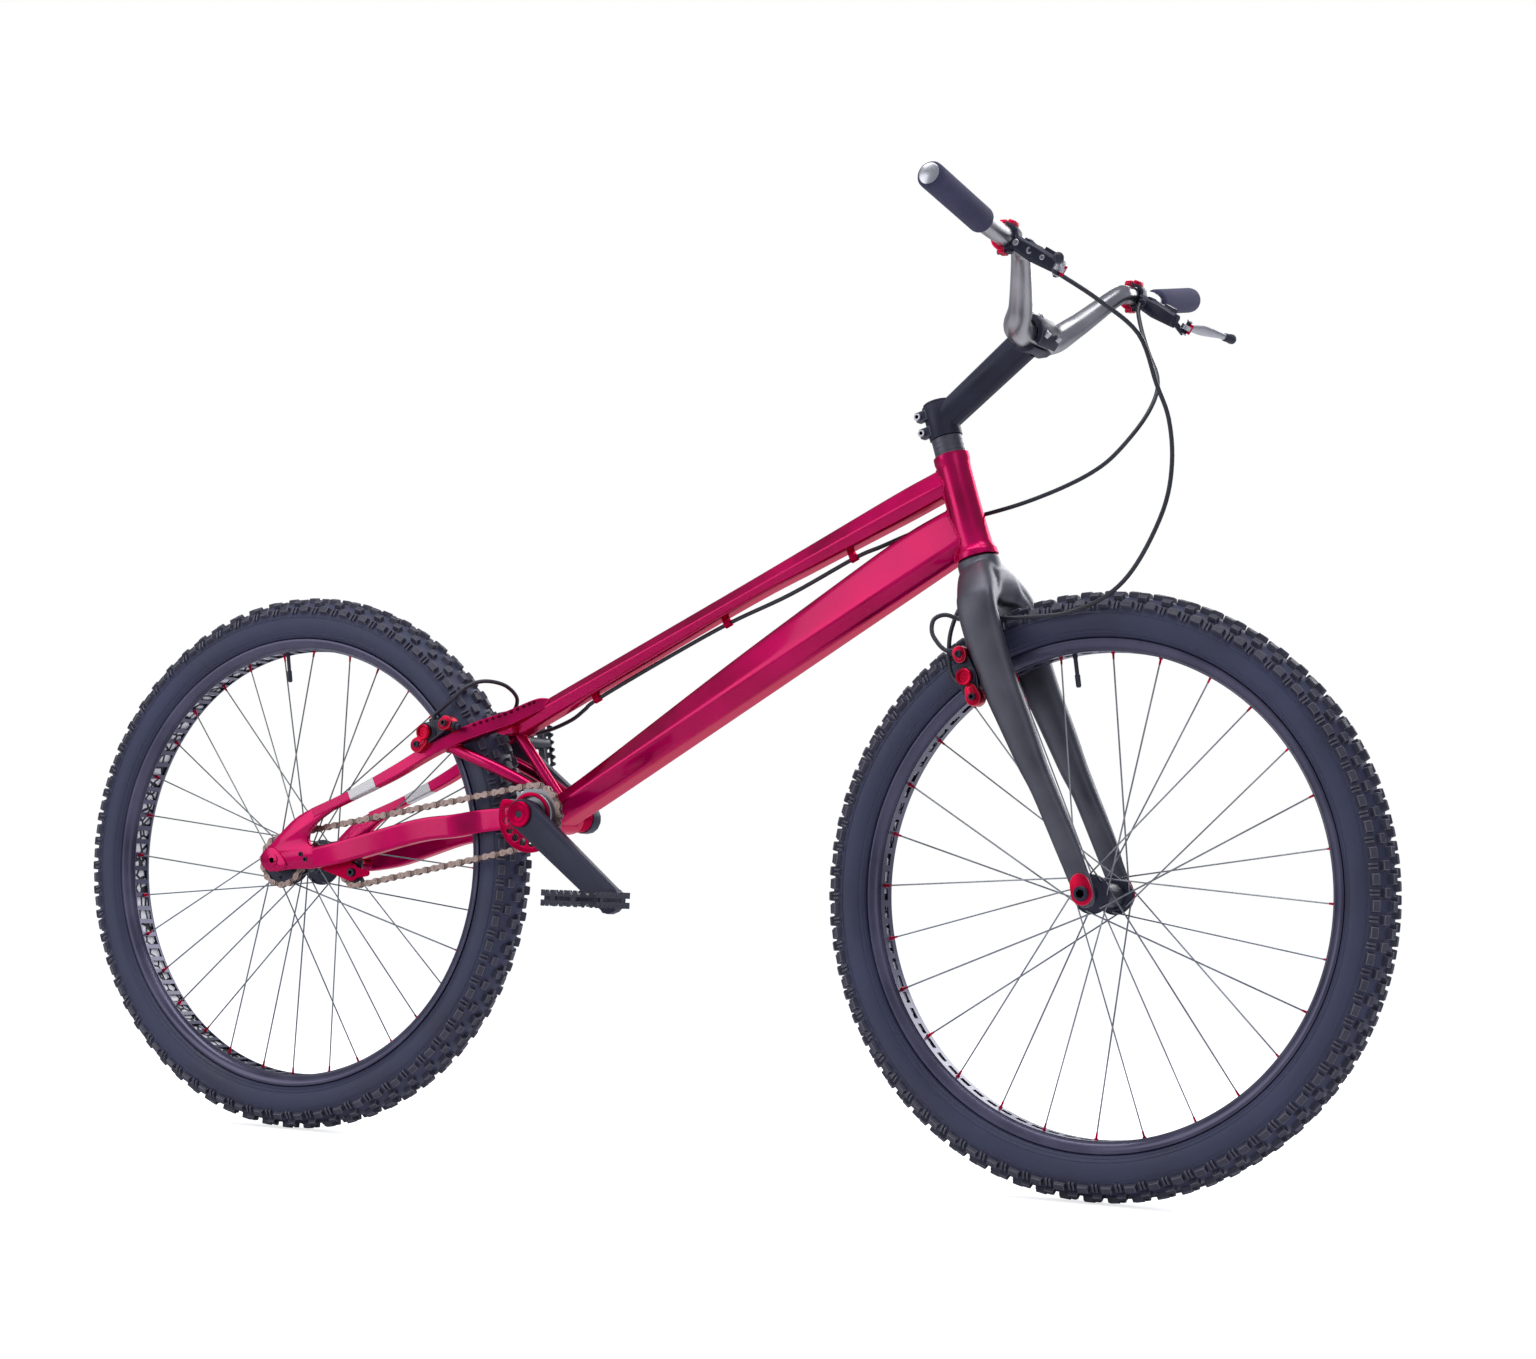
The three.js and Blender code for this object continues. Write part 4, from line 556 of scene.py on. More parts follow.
def round_shares(count: int) -> list[Place]:
    """A circle's places, in shares of its radius."""
    return [(math.cos(FULL_TURN * i / count), math.sin(FULL_TURN * i / count)) for i in range(count)]


def soft_box(inner: float) -> list[Vector]:
    """A box with rounded corners, in shares of its half sizes.

    Args:
        inner: Where each corner's cut begins.

    Returns:
        The outline.
    """
    half = [(1, -inner), (1, inner), (inner, 1), (-inner, 1)]
    outline = eased(half + [(-u, -v) for u, v in half])
    return [v * (1 / max(abs(outline[0].x), 0.9)) for v in outline]


def creased(crease: float, top: float, under: float) -> list[Vector]:
    """A formed tube's outline: narrow top, a crease at each side, narrow underside.

    Args:
        crease: Height of the side's crease, as a share of the half height.
        top: Half width of the top flat, as a share.
        under: Half width of the underside, as a share.

    Returns:
        The outline, in shares.
    """
    right = [
        (under, -1), (under + 0.2, -0.9), (1, crease - 0.08), (1, crease + 0.1), (top + 0.2, 0.88), (top, 1),
    ]
    corners = right + [(-u, v) for u, v in reversed(right)]
    return eased(corners, 2, 0.11)


def crisp_box() -> list[Place]:
    """A box with tight corners, in shares of its half sizes, for tubes with flat faces.

    Returns:
        The outline.
    """
    flat, turn, tip = 0.7, 0.85, 0.955
    corner = [(1, flat), (1, turn), (tip, tip), (turn, 1), (flat, 1)]
    upper = corner + [(-u, v) for u, v in reversed(corner)]
    return upper + [(-u, -v) for u, v in upper]


def capsule(a: Vector, b: Vector, near: float, far: float) -> list[Place]:
    """The outline, in x and z, of two circles and the tangents between them.

    Args:
        a: The first circle's middle.
        b: The second circle's middle.
        near: The first circle's radius.
        far: The second circle's radius.

    Returns:
        The outline.
    """
    run = math.atan2(b.z - a.z, b.x - a.x)
    lean = math.acos(max(-1.0, min(1.0, (near - far) / math.hypot(b.x - a.x, b.z - a.z))))
    ends = ((b, far, run - lean, 2 * lean), (a, near, run + lean, FULL_TURN - 2 * lean))
    steps = 10
    outline = []
    for centre, radius, start, sweep in ends:
        for i in range(steps + 1):
            turn = start + sweep * i / steps
            outline.append((centre.x + radius * math.cos(turn), centre.z + radius * math.sin(turn)))
    return outline


class Form:
    """A mesh in the making, shaped with bmesh operators."""

    def __init__(self) -> None:
        """Starts an empty mesh with a mark for rubbed edges and a number on each ring's corner."""
        self.mesh = bmesh.new()
        self.corner = self.mesh.verts.layers.int.new("corner")
        self.edge = self.mesh.loops.layers.float.new("edge")

    def loft(self, rings: Sequence[Ring], closed: bool = False, capped: bool = True) -> "Form":
        """Extrudes one ring to the next.

        Args:
            rings: Rings with the same number of places.
            closed: Whether the last ring joins the first.
            capped: Whether the two ends are closed.

        Returns:
            The form itself.
        """
        mesh = self.mesh
        first = bmesh.ops.create_circle(mesh, cap_ends=False, radius=1, segments=len(rings[0]))["verts"]
        for number, vert in enumerate(first):
            vert[self.corner] = number
            vert.co = rings[0][number]
        edges = list(dict.fromkeys(edge for vert in first for edge in vert.link_edges))
        start = list(edges)
        for ring in rings[1:]:
            made = bmesh.ops.extrude_edge_only(mesh, edges=edges)["geom"]
            for vert in (g for g in made if isinstance(g, bmesh.types.BMVert)):
                vert.co = ring[vert[self.corner]]
            edges = [g for g in made if isinstance(g, bmesh.types.BMEdge)]
        if closed:
            bmesh.ops.bridge_loops(mesh, edges=start + edges)
        elif capped:
            for loop in (start, edges):
                bmesh.ops.contextual_create(mesh, geom=loop)
        return self

    def tube(
        self, line: Sequence[Vector], radii: float | Sequence[float], sides: int, closed: bool = False
    ) -> "Form":
        """A round tube along a line, without twist.

        Args:
            line: The line's places.
            radii: One radius, or one for each place.
            sides: Sides of the tube.
            closed: Whether the line returns to its start.

        Returns:
            The form itself.
        """
        sizes = [radii] * len(line) if isinstance(radii, (int, float)) else radii
        rings = []
        aside = (line[1] - line[0]).orthogonal().normalized()
        for i, (at, size) in enumerate(zip(line, sizes)):
            before = line[i - 1] if closed or i else line[0]
            after = line[(i + 1) % len(line)] if closed or i + 1 < len(line) else line[-1]
            run = (after - before).normalized()
            aside = (aside - run * run.dot(aside)).normalized()
            rings.append(section(at, run, aside, size, size, round_shares(sides)))
        return self.loft(rings, closed)

    def spin(self, profile: Sequence[Place], centre: Place, axis: Vector = Y_AXIS, steps: int = 48) -> "Form":
        """Turns a profile about an axis.

        Args:
            profile: Rows of radius and way along the axis; a closed profile repeats its first row.
            centre: A place on the axis.
            axis: The axis's direction.
            steps: Steps of the turn.

        Returns:
            The form itself.
        """
        out = axis.orthogonal().normalized()
        origin = Vector(centre)
        verts = [self.mesh.verts.new(origin + out * r + axis * y) for r, y in profile]
        edges = [self.mesh.edges.new(pair) for pair in zip(verts, verts[1:])]
        bmesh.ops.spin(
            self.mesh, geom=verts + edges, cent=origin, axis=axis, angle=FULL_TURN, steps=steps,
            use_merge=True,
        )
        return self

    def plate(
        self, outline: Sequence[Place], near: float, far: float, holes: Sequence[Sequence[Place]] = ()
    ) -> "Form":
        """A flat plate square to y, with holes.

        Args:
            outline: The plate's x and z places.
            near: Its first face's y.
            far: Its other face's y.
            holes: Outlines of the holes.

        Returns:
            The form itself.
        """
        edges = []
        for loop in (outline, *holes):
            verts = [self.mesh.verts.new((p[0], near, p[1])) for p in loop]
            edges += [self.mesh.edges.new((a, b)) for a, b in zip(verts, verts[1:] + verts[:1])]
        filled = bmesh.ops.triangle_fill(self.mesh, use_beauty=True, edges=edges)["geom"]
        faces = {g for g in filled if isinstance(g, bmesh.types.BMFace)}
        inside = [e for e in self.mesh.edges if len(e.link_faces) == 2 and faces.issuperset(e.link_faces)]
        bmesh.ops.dissolve_limit(self.mesh, angle_limit=0.01, verts=[], edges=inside)
        flat = [f for f in self.mesh.faces if all(abs(v.co.y - near) < MM for v in f.verts)]
        made = bmesh.ops.extrude_face_region(self.mesh, geom=flat, use_keep_orig=True)["geom"]
        moved = [g for g in made if isinstance(g, bmesh.types.BMVert)]
        bmesh.ops.translate(self.mesh, verts=moved, vec=(0, far - near, 0))
        return self

    def block(self, at: Vector, size: Place, turn: Matrix | None = None, taper: float = 1.0) -> "Form":
        """A block, narrower at its top by a share.

        Args:
            at: The block's middle.
            size: Its three sizes.
            turn: How it is turned.
            taper: The top's share of the base.

        Returns:
            The form itself.
        """
        frame = Matrix.Translation(at) @ (turn.to_4x4() if turn else Matrix.Identity(4))
        made = bmesh.ops.create_cube(self.mesh, size=1)["verts"]
        for vert in made:
            narrow = taper if vert.co.z > 0 else 1
            x, y, z = vert.co
            vert.co = Vector((x * size[0] * narrow, y * size[1] * narrow, z * size[2]))
        bmesh.ops.transform(self.mesh, matrix=frame, verts=made)
        return self

    def bolt(self, at: Vector, axis: Vector, radius: float, height: float, socket: float = 0.55) -> "Form":
        """A round bolt head with a six-sided socket.

        Args:
            at: The middle of the head's seat.
            axis: The way that the head points.
            radius: The head's radius.
            height: The head's height.
            socket: The socket's radius as a share of the head's.

        Returns:
            The form itself.
        """
        axis = axis.normalized()
        side = axis.orthogonal().normalized()
        shoulder, rim, floor, hollow = height * 0.75, radius * 0.88, height * 0.35, radius * socket
        head = round_shares(24)
        rows = [(radius, 0.0), (radius, shoulder), (rim, height)]
        self.loft([section(at + axis * up, axis, side, r, r, head) for r, up in rows], capped=False)
        hexes = []
        for up in (height, floor):
            made = bmesh.ops.create_circle(self.mesh, cap_ends=False, radius=1, segments=6)["verts"]
            places = section(at + axis * up, axis, side, hollow, hollow, round_shares(6))
            for vert, place in zip(made, places):
                vert.co = place
            hexes.append(list(dict.fromkeys(e for v in made for e in v.link_edges)))
        bmesh.ops.bridge_loops(self.mesh, edges=hexes[0] + hexes[1])
        bmesh.ops.contextual_create(self.mesh, geom=hexes[1])
        top = {
            v for v in self.mesh.verts
            if abs((v.co - at).dot(axis) - height) < MM and (v.co - at).length < radius * 2
        }
        open_rim = [
            e for e in self.mesh.edges
            if len(e.link_faces) == 1 and e not in hexes[0] and all(v in top for v in e.verts)
        ]
        bmesh.ops.bridge_loops(self.mesh, edges=open_rim + hexes[0])
        return self

    def repeat(self, verts: Iterable[bmesh.types.BMVert], centre: Place, axis: Vector, count: int) -> "Form":
        """Copies part of the mesh round an axis.

        Args:
            verts: The part's vertices.
            centre: A place on the axis.
            axis: The axis's direction.
            count: How many there are in a full turn.

        Returns:
            The form itself.
        """
        chosen = list(verts)
        edges = dict.fromkeys(e for v in chosen for e in v.link_edges)
        faces = dict.fromkeys(f for v in chosen for f in v.link_faces)
        geom = [*chosen, *edges, *faces]
        bmesh.ops.spin(
            self.mesh, geom=geom, cent=Vector(centre), axis=axis, angle=FULL_TURN * (count - 1) / count,
            steps=count - 1, use_duplicate=True,
        )
        return self

    def soften(self, width: float, segments: int = 2, sharper: float = 35.0) -> "Form":
        """Bevels each edge that is sharper than an angle, and marks the bevels for wear.

        Args:
            width: The bevel's width.
            segments: Its segments.
            sharper: The least angle, in degrees.

        Returns:
            The form itself.
        """
        self.merge()
        least = math.radians(sharper)
        edges = [e for e in self.mesh.edges if len(e.link_faces) == 2 and e.calc_face_angle(0) > least]
        made = bmesh.ops.bevel(
            self.mesh, geom=edges, offset=width, offset_type="OFFSET", segments=segments, profile=0.5,
            affect="EDGES", clamp_overlap=True, material=-1,
        )
        for face in made["faces"]:
            for loop in face.loops:
                loop[self.edge] = 1.0
        return self

    def merge(self) -> "Form":
        """Joins doubled vertices and turns every face outwards.

        Returns:
            The form itself.
        """
        bmesh.ops.remove_doubles(self.mesh, verts=self.mesh.verts, dist=0.002)
        bmesh.ops.recalc_face_normals(self.mesh, faces=self.mesh.faces)
        return self

    def take(self, node: str) -> "Form":
        """Adds a merged copy of a solid's mesh.

        Args:
            node: The solid's name.

        Returns:
            The form itself.
        """
        self.mesh.from_mesh(bpy.data.objects[node].data)
        bmesh.ops.scale(self.mesh, vec=(1 / MM,) * 3, verts=self.mesh.verts)
        bmesh.ops.remove_doubles(self.mesh, verts=self.mesh.verts, dist=0.005)
        bmesh.ops.dissolve_limit(
            self.mesh, angle_limit=math.radians(1), verts=self.mesh.verts, edges=self.mesh.edges
        )
        return self

    def absorb(self, other: "Form") -> "Form":
        """Takes in another form's mesh, which is then gone.

        Args:
            other: The form that is taken in.

        Returns:
            The form itself.
        """
        data = bpy.data.meshes.new("part")
        other.mesh.to_mesh(data)
        other.mesh.free()
        self.mesh.from_mesh(data)
        bpy.data.meshes.remove(data)
        return self

    def other_side(self) -> "Form":
        """A copy mirrored to the other side of the bicycle.

        Returns:
            The mirrored form.
        """
        twin = Form()
        data = bpy.data.meshes.new("twin")
        self.mesh.to_mesh(data)
        twin.mesh.free()
        twin.mesh = bmesh.new()
        twin.mesh.from_mesh(data)
        bpy.data.meshes.remove(data)
        twin.corner = twin.mesh.verts.layers.int["corner"]
        twin.edge = twin.mesh.loops.layers.float["edge"]
        bmesh.ops.scale(twin.mesh, vec=(1, -1, 1), verts=twin.mesh.verts)
        bmesh.ops.reverse_faces(twin.mesh, faces=twin.mesh.faces)
        return twin

    def finish(
        self, name: str, finish: Finish, body: str, stands_for: Sequence[str] = (), smooth: float = 38.0,
        recalculated: bool = True,
    ) -> bpy.types.Object:
        """Makes the piece: scales it to metres, smooths it, gives it its finish and its body.

        Args:
            name: The piece's name.
            finish: Its finish.
            body: The body that it rides on; empty where the caller blends it.
            stands_for: The solids that it replaces.
            smooth: Edges sharper than this angle, in degrees, stay sharp.
            recalculated: Whether doubles are merged and faces turned outwards.

        Returns:
            The finished piece.
        """
        if recalculated:
            self.merge()
        bmesh.ops.scale(self.mesh, vec=(MM,) * 3, verts=self.mesh.verts)
        data = bpy.data.meshes.new(name)
        self.mesh.to_mesh(data)
        self.mesh.free()
        data.polygons.foreach_set("use_smooth", [True] * len(data.polygons))
        data.set_sharp_from_angle(angle=math.radians(smooth))
        data.materials.append(finish.material())
        piece = bpy.data.objects.new(name, data)
        bpy.context.scene.collection.objects.link(piece)
        if body:
            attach(piece, body)
        if stands_for:
            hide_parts(*stands_for)
        log.info("%s: %d faces", name, len(data.polygons))
        return piece


def pair(form: Form, name: str, finish: Finish, body: str, stands_for: str = "", **more: float) -> None:
    """Finishes a right-hand form and its left-hand twin.

    Args:
        form: The right-hand form.
        name: The piece's name, before its side.
        finish: Its finish.
        body: The body, where "{side}" stands for the side's word.
        stands_for: The solid that it replaces, where "{side}" stands for the side's word.
    """
    twin = form.other_side()
    for side, made in ((Side.RIGHT, form), (Side.LEFT, twin)):
        nodes = [stands_for.format(side=side.word)] if stands_for else []
        made.finish(f"{name}_{side.word}", finish, body.format(side=side.word), nodes, **more)


def machined(node: str, name: str, finish: Finish, body: str, width: float, segments: int = 2) -> None:
    """Bevels a copy of a solid's mesh and makes it the piece that stands for it.

    Args:
        node: The solid's name.
        name: The piece's name.
        finish: Its finish.
        body: The body that it rides on.
        width: The bevel's width.
        segments: Its segments.
    """
    Form().take(node).soften(width, segments, 42).finish(name, finish, body, [node], smooth=44)


def about_steering(profile: Sequence[Place], steps: int) -> Form:
    """A profile turned about the steering axis."""
    return Form().spin(profile, LAYOUT.steered(0, 0, 0), LAYOUT.steering_axis, steps)


def solid_tree(*nodes: str) -> BVHTree:
    """The surfaces of some solids, in millimetres, for finding where a ray meets them.

    Args:
        nodes: The solids' names.

    Returns:
        One tree of all their faces.
    """
    places: list[Vector] = []
    faces: list[list[int]] = []
    for node in nodes:
        data = bpy.data.objects[node].data
        start = len(places)
        places += [v.co / MM for v in data.vertices]
        faces += [[start + i for i in face.vertices] for face in data.polygons]
    return BVHTree.FromPolygons(places, faces)


def along(rings: Sequence[Ring], steps: int) -> list[Ring]:
    """Smooth rings between given ones.

    Args:
        rings: Rings with the same number of places.
        steps: New rings from one to the next.

    Returns:
        All the rings.
    """
    lines = [flowing([ring[k] for ring in rings], steps) for k in range(len(rings[0]))]
    return [list(ring) for ring in zip(*lines)]


def through(
    stations: Sequence[tuple[Vector, float, float]],
    outlines: Sequence[Sequence[Place]],
    aside: Vector = Y_AXIS,
) -> list[Ring]:
    """Sections through a row of stations.

    Args:
        stations: Place, half width and half height of each.
        outlines: The outline of each, in shares.
        aside: The way that the half width points.

    Returns:
        One ring for each station.
    """
    rings = []
    for i, ((at, wide, tall), shares) in enumerate(zip(stations, outlines)):
        run = stations[min(i + 1, len(stations) - 1)][0] - stations[max(i - 1, 0)][0]
        rings.append(section(at, run, aside, wide, tall, shares))
    return rings


def weld_bead(outer: Ring, inner: Ring, target: BVHTree, size: float = 2.0) -> Form:
    """A rippled bead where a tube meets another piece.

    Args:
        outer: A ring of the tube outside the other piece.
        inner: A ring inside it.
        target: The other piece's surface.
        size: The bead's radius.

    Returns:
        The bead.
    """
    ripple, steps, thin, swell = 2.6, 4, 0.82, 0.18
    hits = [target.ray_cast(a, b - a, (b - a).length)[0] for a, b in zip(outer, inner)]
    line = [hit for hit in hits if hit]
    sides = list(zip(line, line[1:] + line[:1]))
    length = sum((b - a).length for a, b in sides)
    count = max(8, round(length / ripple)) * steps
    fine, way, reach = [], 0.0, 0.0
    for a, b in sides:
        span = (b - a).length
        while way <= reach + span and len(fine) < count:
            fine.append(a.lerp(b, (way - reach) / max(span, 1e-6)))
            way += length / count
        reach += span
    radii = [size * (thin + swell * math.cos(FULL_TURN * i / steps)) for i in range(len(fine))]
    return Form().tube(fine, radii, 8, closed=True)


# Wheels


@dataclass(frozen=True)
class TyreSizes:
    """The tyre's casing and its knobs, as radii and ways across."""

    rim_wall: float = 283
    bead: float = 284
    lining: Place = (276, 13.6)
    casing: tuple[Place, ...] = (
        (285.5, 23.5), (290, 27.2), (296, 29.6), (303, 30.3), (310, 29.6), (316.5, 27.4), (322.5, 23.4),
        (327, 17.5), (330, 10), (331, 0),
    )
    ridges: tuple[Place, ...] = ((287.4, 25.3), (291.2, 27.9), (310.5, 29.5))
    # Place across, radius at the knob's middle, lean in degrees, size along, across and up, shift in periods
    rows: tuple[tuple[float, float, float, Place, float], ...] = (
        (27.3, 320.6, 56, (14, 9.5, 6.5), 0.0),
        (27.9, 319.2, 60, (2.6, 11, 4.0), 0.42),
        (27.9, 319.2, 60, (2.6, 11, 4.0), 0.58),
        (18.6, 328.6, 32, (12, 8.5, 8.0), 0.5),
        (7.2, 332.5, 8, (13, 9.5, 8.0), 0.0),
        (0.0, 332.9, 0, (7, 5, 7.0), 0.5),
    )


@dataclass(frozen=True)
class Wheel:
    """One wheel: tyre, rim, rim tape, hub, spokes, nipples and valve."""

    name: str
    centre: Place
    rim_width: float
    spokes: int
    crossing: float
    flanges: tuple[Place, Place]
    knobs: int
    hub_half: float
    spoke_finish: Finish
    windows: int
    window_half: float
    tyre: TyreSizes = TyreSizes()
    steps: int = 144
    floor: float = 270
    tape_half: float = 12.2
    flange_width: float = 5
    hub_bore: float = 5.4
    hub_end: float = 9.4
    barrel: float = 14
    valve_angle: float = math.radians(-9.5)

    @property
    def body(self) -> str:
        """The body that the wheel's pieces ride on."""
        return f"{self.name}_wheel"

    def build(self) -> None:
        """Makes every piece of the wheel."""
        self.make_casing()
        self.make_knobs()
        self.make_rim()
        self.make_hub()
        self.make_spokes()
        self.make_valve()

    def make_casing(self) -> None:
        """The tyre's carcass, from bead to bead."""
        bead = Vector((self.tyre.bead, self.rim_width / 2 - 2.4))
        right = flowing([bead, *(Vector(p) for p in self.tyre.casing)], 3)
        left = [Vector((p.x, -p.y)) for p in reversed(right[:-1])]
        radius, half = self.tyre.lining
        inner = [Vector((radius, -half)), Vector((radius, half))]
        casing = Form().spin([*right, *left, *inner, right[0]], self.centre, steps=self.steps)
        for radius, aside in self.tyre.ridges:
            for sign in (-1, 1):
                ridge = [(radius - 0.9, aside - 0.5), (radius, aside + 0.7), (radius + 0.9, aside + 0.2)]
                casing.spin([(r, sign * y) for r, y in ridge], self.centre, steps=self.steps)
        casing.finish(
            f"{self.name}_tyre_casing", TYRE_RUBBER, self.body, [f"{self.name}_tyre"], smooth=50
        )

    def make_knobs(self) -> None:
        """The tread's knobs and the thin bars between those of the shoulder."""
        tread = Form()
        middle = Vector(self.centre)
        for across, radius, lean, size, shift in self.tyre.rows:
            for sign in (-1, 1) if across else (1,):
                knob = Form()
                tilt = Matrix.Rotation(-math.radians(lean) * sign, 3, "X")
                knob.block(middle + Vector((0, across * sign, radius)), size, tilt, taper=0.84)
                knob.soften(0.7, 1)
                periods = shift + (0.25 if sign > 0 else 0)
                turn = Matrix.Rotation(FULL_TURN * periods / self.knobs, 3, "Y")
                bmesh.ops.rotate(knob.mesh, cent=middle, matrix=turn, verts=knob.mesh.verts)
                knob.repeat(knob.mesh.verts, self.centre, Y_AXIS, self.knobs)
                tread.absorb(knob)
        tread.finish(f"{self.name}_tyre_knobs", KNOB_RUBBER, self.body, smooth=30, recalculated=False)

    def make_rim(self) -> None:
        """The rim's two walls, its slotted floor and the tape behind the slots."""
        wide, floor, wall = self.rim_width / 2, self.floor, self.tyre.rim_wall
        profile = [
            (wall, wide - 0.4), (wall - 0.8, wide), (floor + 9, wide - 0.4), (floor + 3.4, wide - 3),
            (floor + 0.2, 14.6), (floor, 13), (floor + 1.6, 12.6), (floor + 5, 13.6), (floor + 7, wide - 4.4),
            (wall - 0.6, wide - 2.2), (wall, wide - 1.8), (wall, wide - 0.4),
        ]
        walls = Form().spin(profile, self.centre, steps=self.steps)
        walls.spin([(r, -y) for r, y in profile], self.centre, steps=self.steps)
        walls.finish(f"{self.name}_rim_walls", BLACK_RIM, self.body, [f"{self.name}_rim"])
        self.make_rim_floor()
        low, high, half = floor + 2.2, floor + 2.8, self.tape_half
        tape = [(low, -half), (low, half), (high, half), (high, -half), (low, -half)]
        Form().spin(tape, self.centre, steps=120).finish(f"{self.name}_rim_tape", RIM_TAPE, self.body)

    def make_rim_floor(self) -> None:
        """The rim's floor with its windows."""
        lip, rib = 13.2, 0.15
        rows = [(self.floor + 0.4, y) for y in (-lip, -self.window_half, self.window_half, lip)]
        band = Form().spin(rows, self.centre, steps=self.windows * 6)
        gone = []
        for face in band.mesh.faces:
            place = face.calc_center_median() - Vector(self.centre)
            share = (math.atan2(place.z, place.x) / (FULL_TURN / self.windows)) % 1
            if abs(place.y) < self.window_half and rib < share < 1 - rib:
                gone.append(face)
        bmesh.ops.delete(band.mesh, geom=gone, context="FACES")
        band.merge()
        bmesh.ops.solidify(band.mesh, geom=band.mesh.faces[:], thickness=1.3)
        band.finish(f"{self.name}_rim_floor", BLACK_RIM, self.body)

    def make_hub(self) -> None:
        """The hub's shell with its flanges and rings."""
        (right, radius), (left, _) = self.flanges
        half, thick, bore, end = self.hub_half, self.flange_width / 2, self.hub_bore, self.hub_end
        neck = end + 0.8
        flange = (
            (radius * 0.72, -thick - 1.2), (radius - 0.8, -thick * 0.8), (radius, -thick * 0.4),
            (radius, thick * 0.4), (radius - 0.8, thick * 0.8), (radius * 0.72, thick + 1.2),
        )
        waist = [(self.barrel, right + thick + 5), (self.barrel - 1, 0), (self.barrel, left - thick - 5)]
        profile = [
            (bore, -half), (end, -half), (neck, -half + 0.8), (neck, right - thick - 4),
            *((r, right + y) for r, y in flange), *waist, *((r, left + y) for r, y in flange),
            (neck, left + thick + 4), (neck, half - 0.8), (end, half), (bore, half), (bore, -half),
        ]
        hub = Form().spin(profile, self.centre, steps=48)
        hub.finish(f"{self.name}_hub_shell", BLACK_METAL, self.body, [f"{self.name}_hub"])

    def make_spokes(self) -> None:
        """Spokes with their elbows in the flanges, and a red nipple on each."""
        wires, nipples = Form(), Form()
        middle = Vector(self.centre)
        inset, aside, head, elbow, nipple = 3, 3.4, 5.5, 3, 9
        for i in range(self.spokes):
            y, radius = self.flanges[i % 2]
            lean = 1 if i % 4 < 2 else -1
            turn = FULL_TURN * i / self.spokes
            out = Vector((math.cos(turn), 0, math.sin(turn)))
            turn += lean * self.crossing
            x, z = (radius - inset) * math.cos(turn), (radius - inset) * math.sin(turn)
            start = middle + Vector((x, y + lean * aside, z))
            end = middle + out * self.floor + Vector((0, math.copysign(3, y), 0))
            bend = start + (end - start).normalized() * elbow
            wires.tube([start - Vector((0, lean * head, 0)), start, bend, end], 0.95, 6)
            foot = end.lerp(start, nipple / (end - start).length)
            line = [foot, end.lerp(foot, 0.3), end.lerp(foot, 0.28), end + out]
            nipples.tube(line, [1.2, 1.5, 2.3, 2.6], 8)
        wires.finish(f"{self.name}_spokes", self.spoke_finish, self.body, recalculated=False)
        nipples.finish(f"{self.name}_nipples", RED_ANODISED, self.body, recalculated=False)

    def make_valve(self) -> None:
        """The valve's stem, nut and cap."""
        out = Vector((math.sin(self.valve_angle), 0, math.cos(self.valve_angle)))
        rows = [(271, 2.9), (266, 2.9), (265.6, 2.4), (247, 2.4), (246.6, 3.1), (234.5, 3.0), (232.5, 2.2)]
        line = [Vector(self.centre) + out * r for r, _ in rows]
        Form().tube(line, [r for _, r in rows], 14).finish(f"{self.name}_valve", BLACK_PLASTIC, self.body)


# Frame


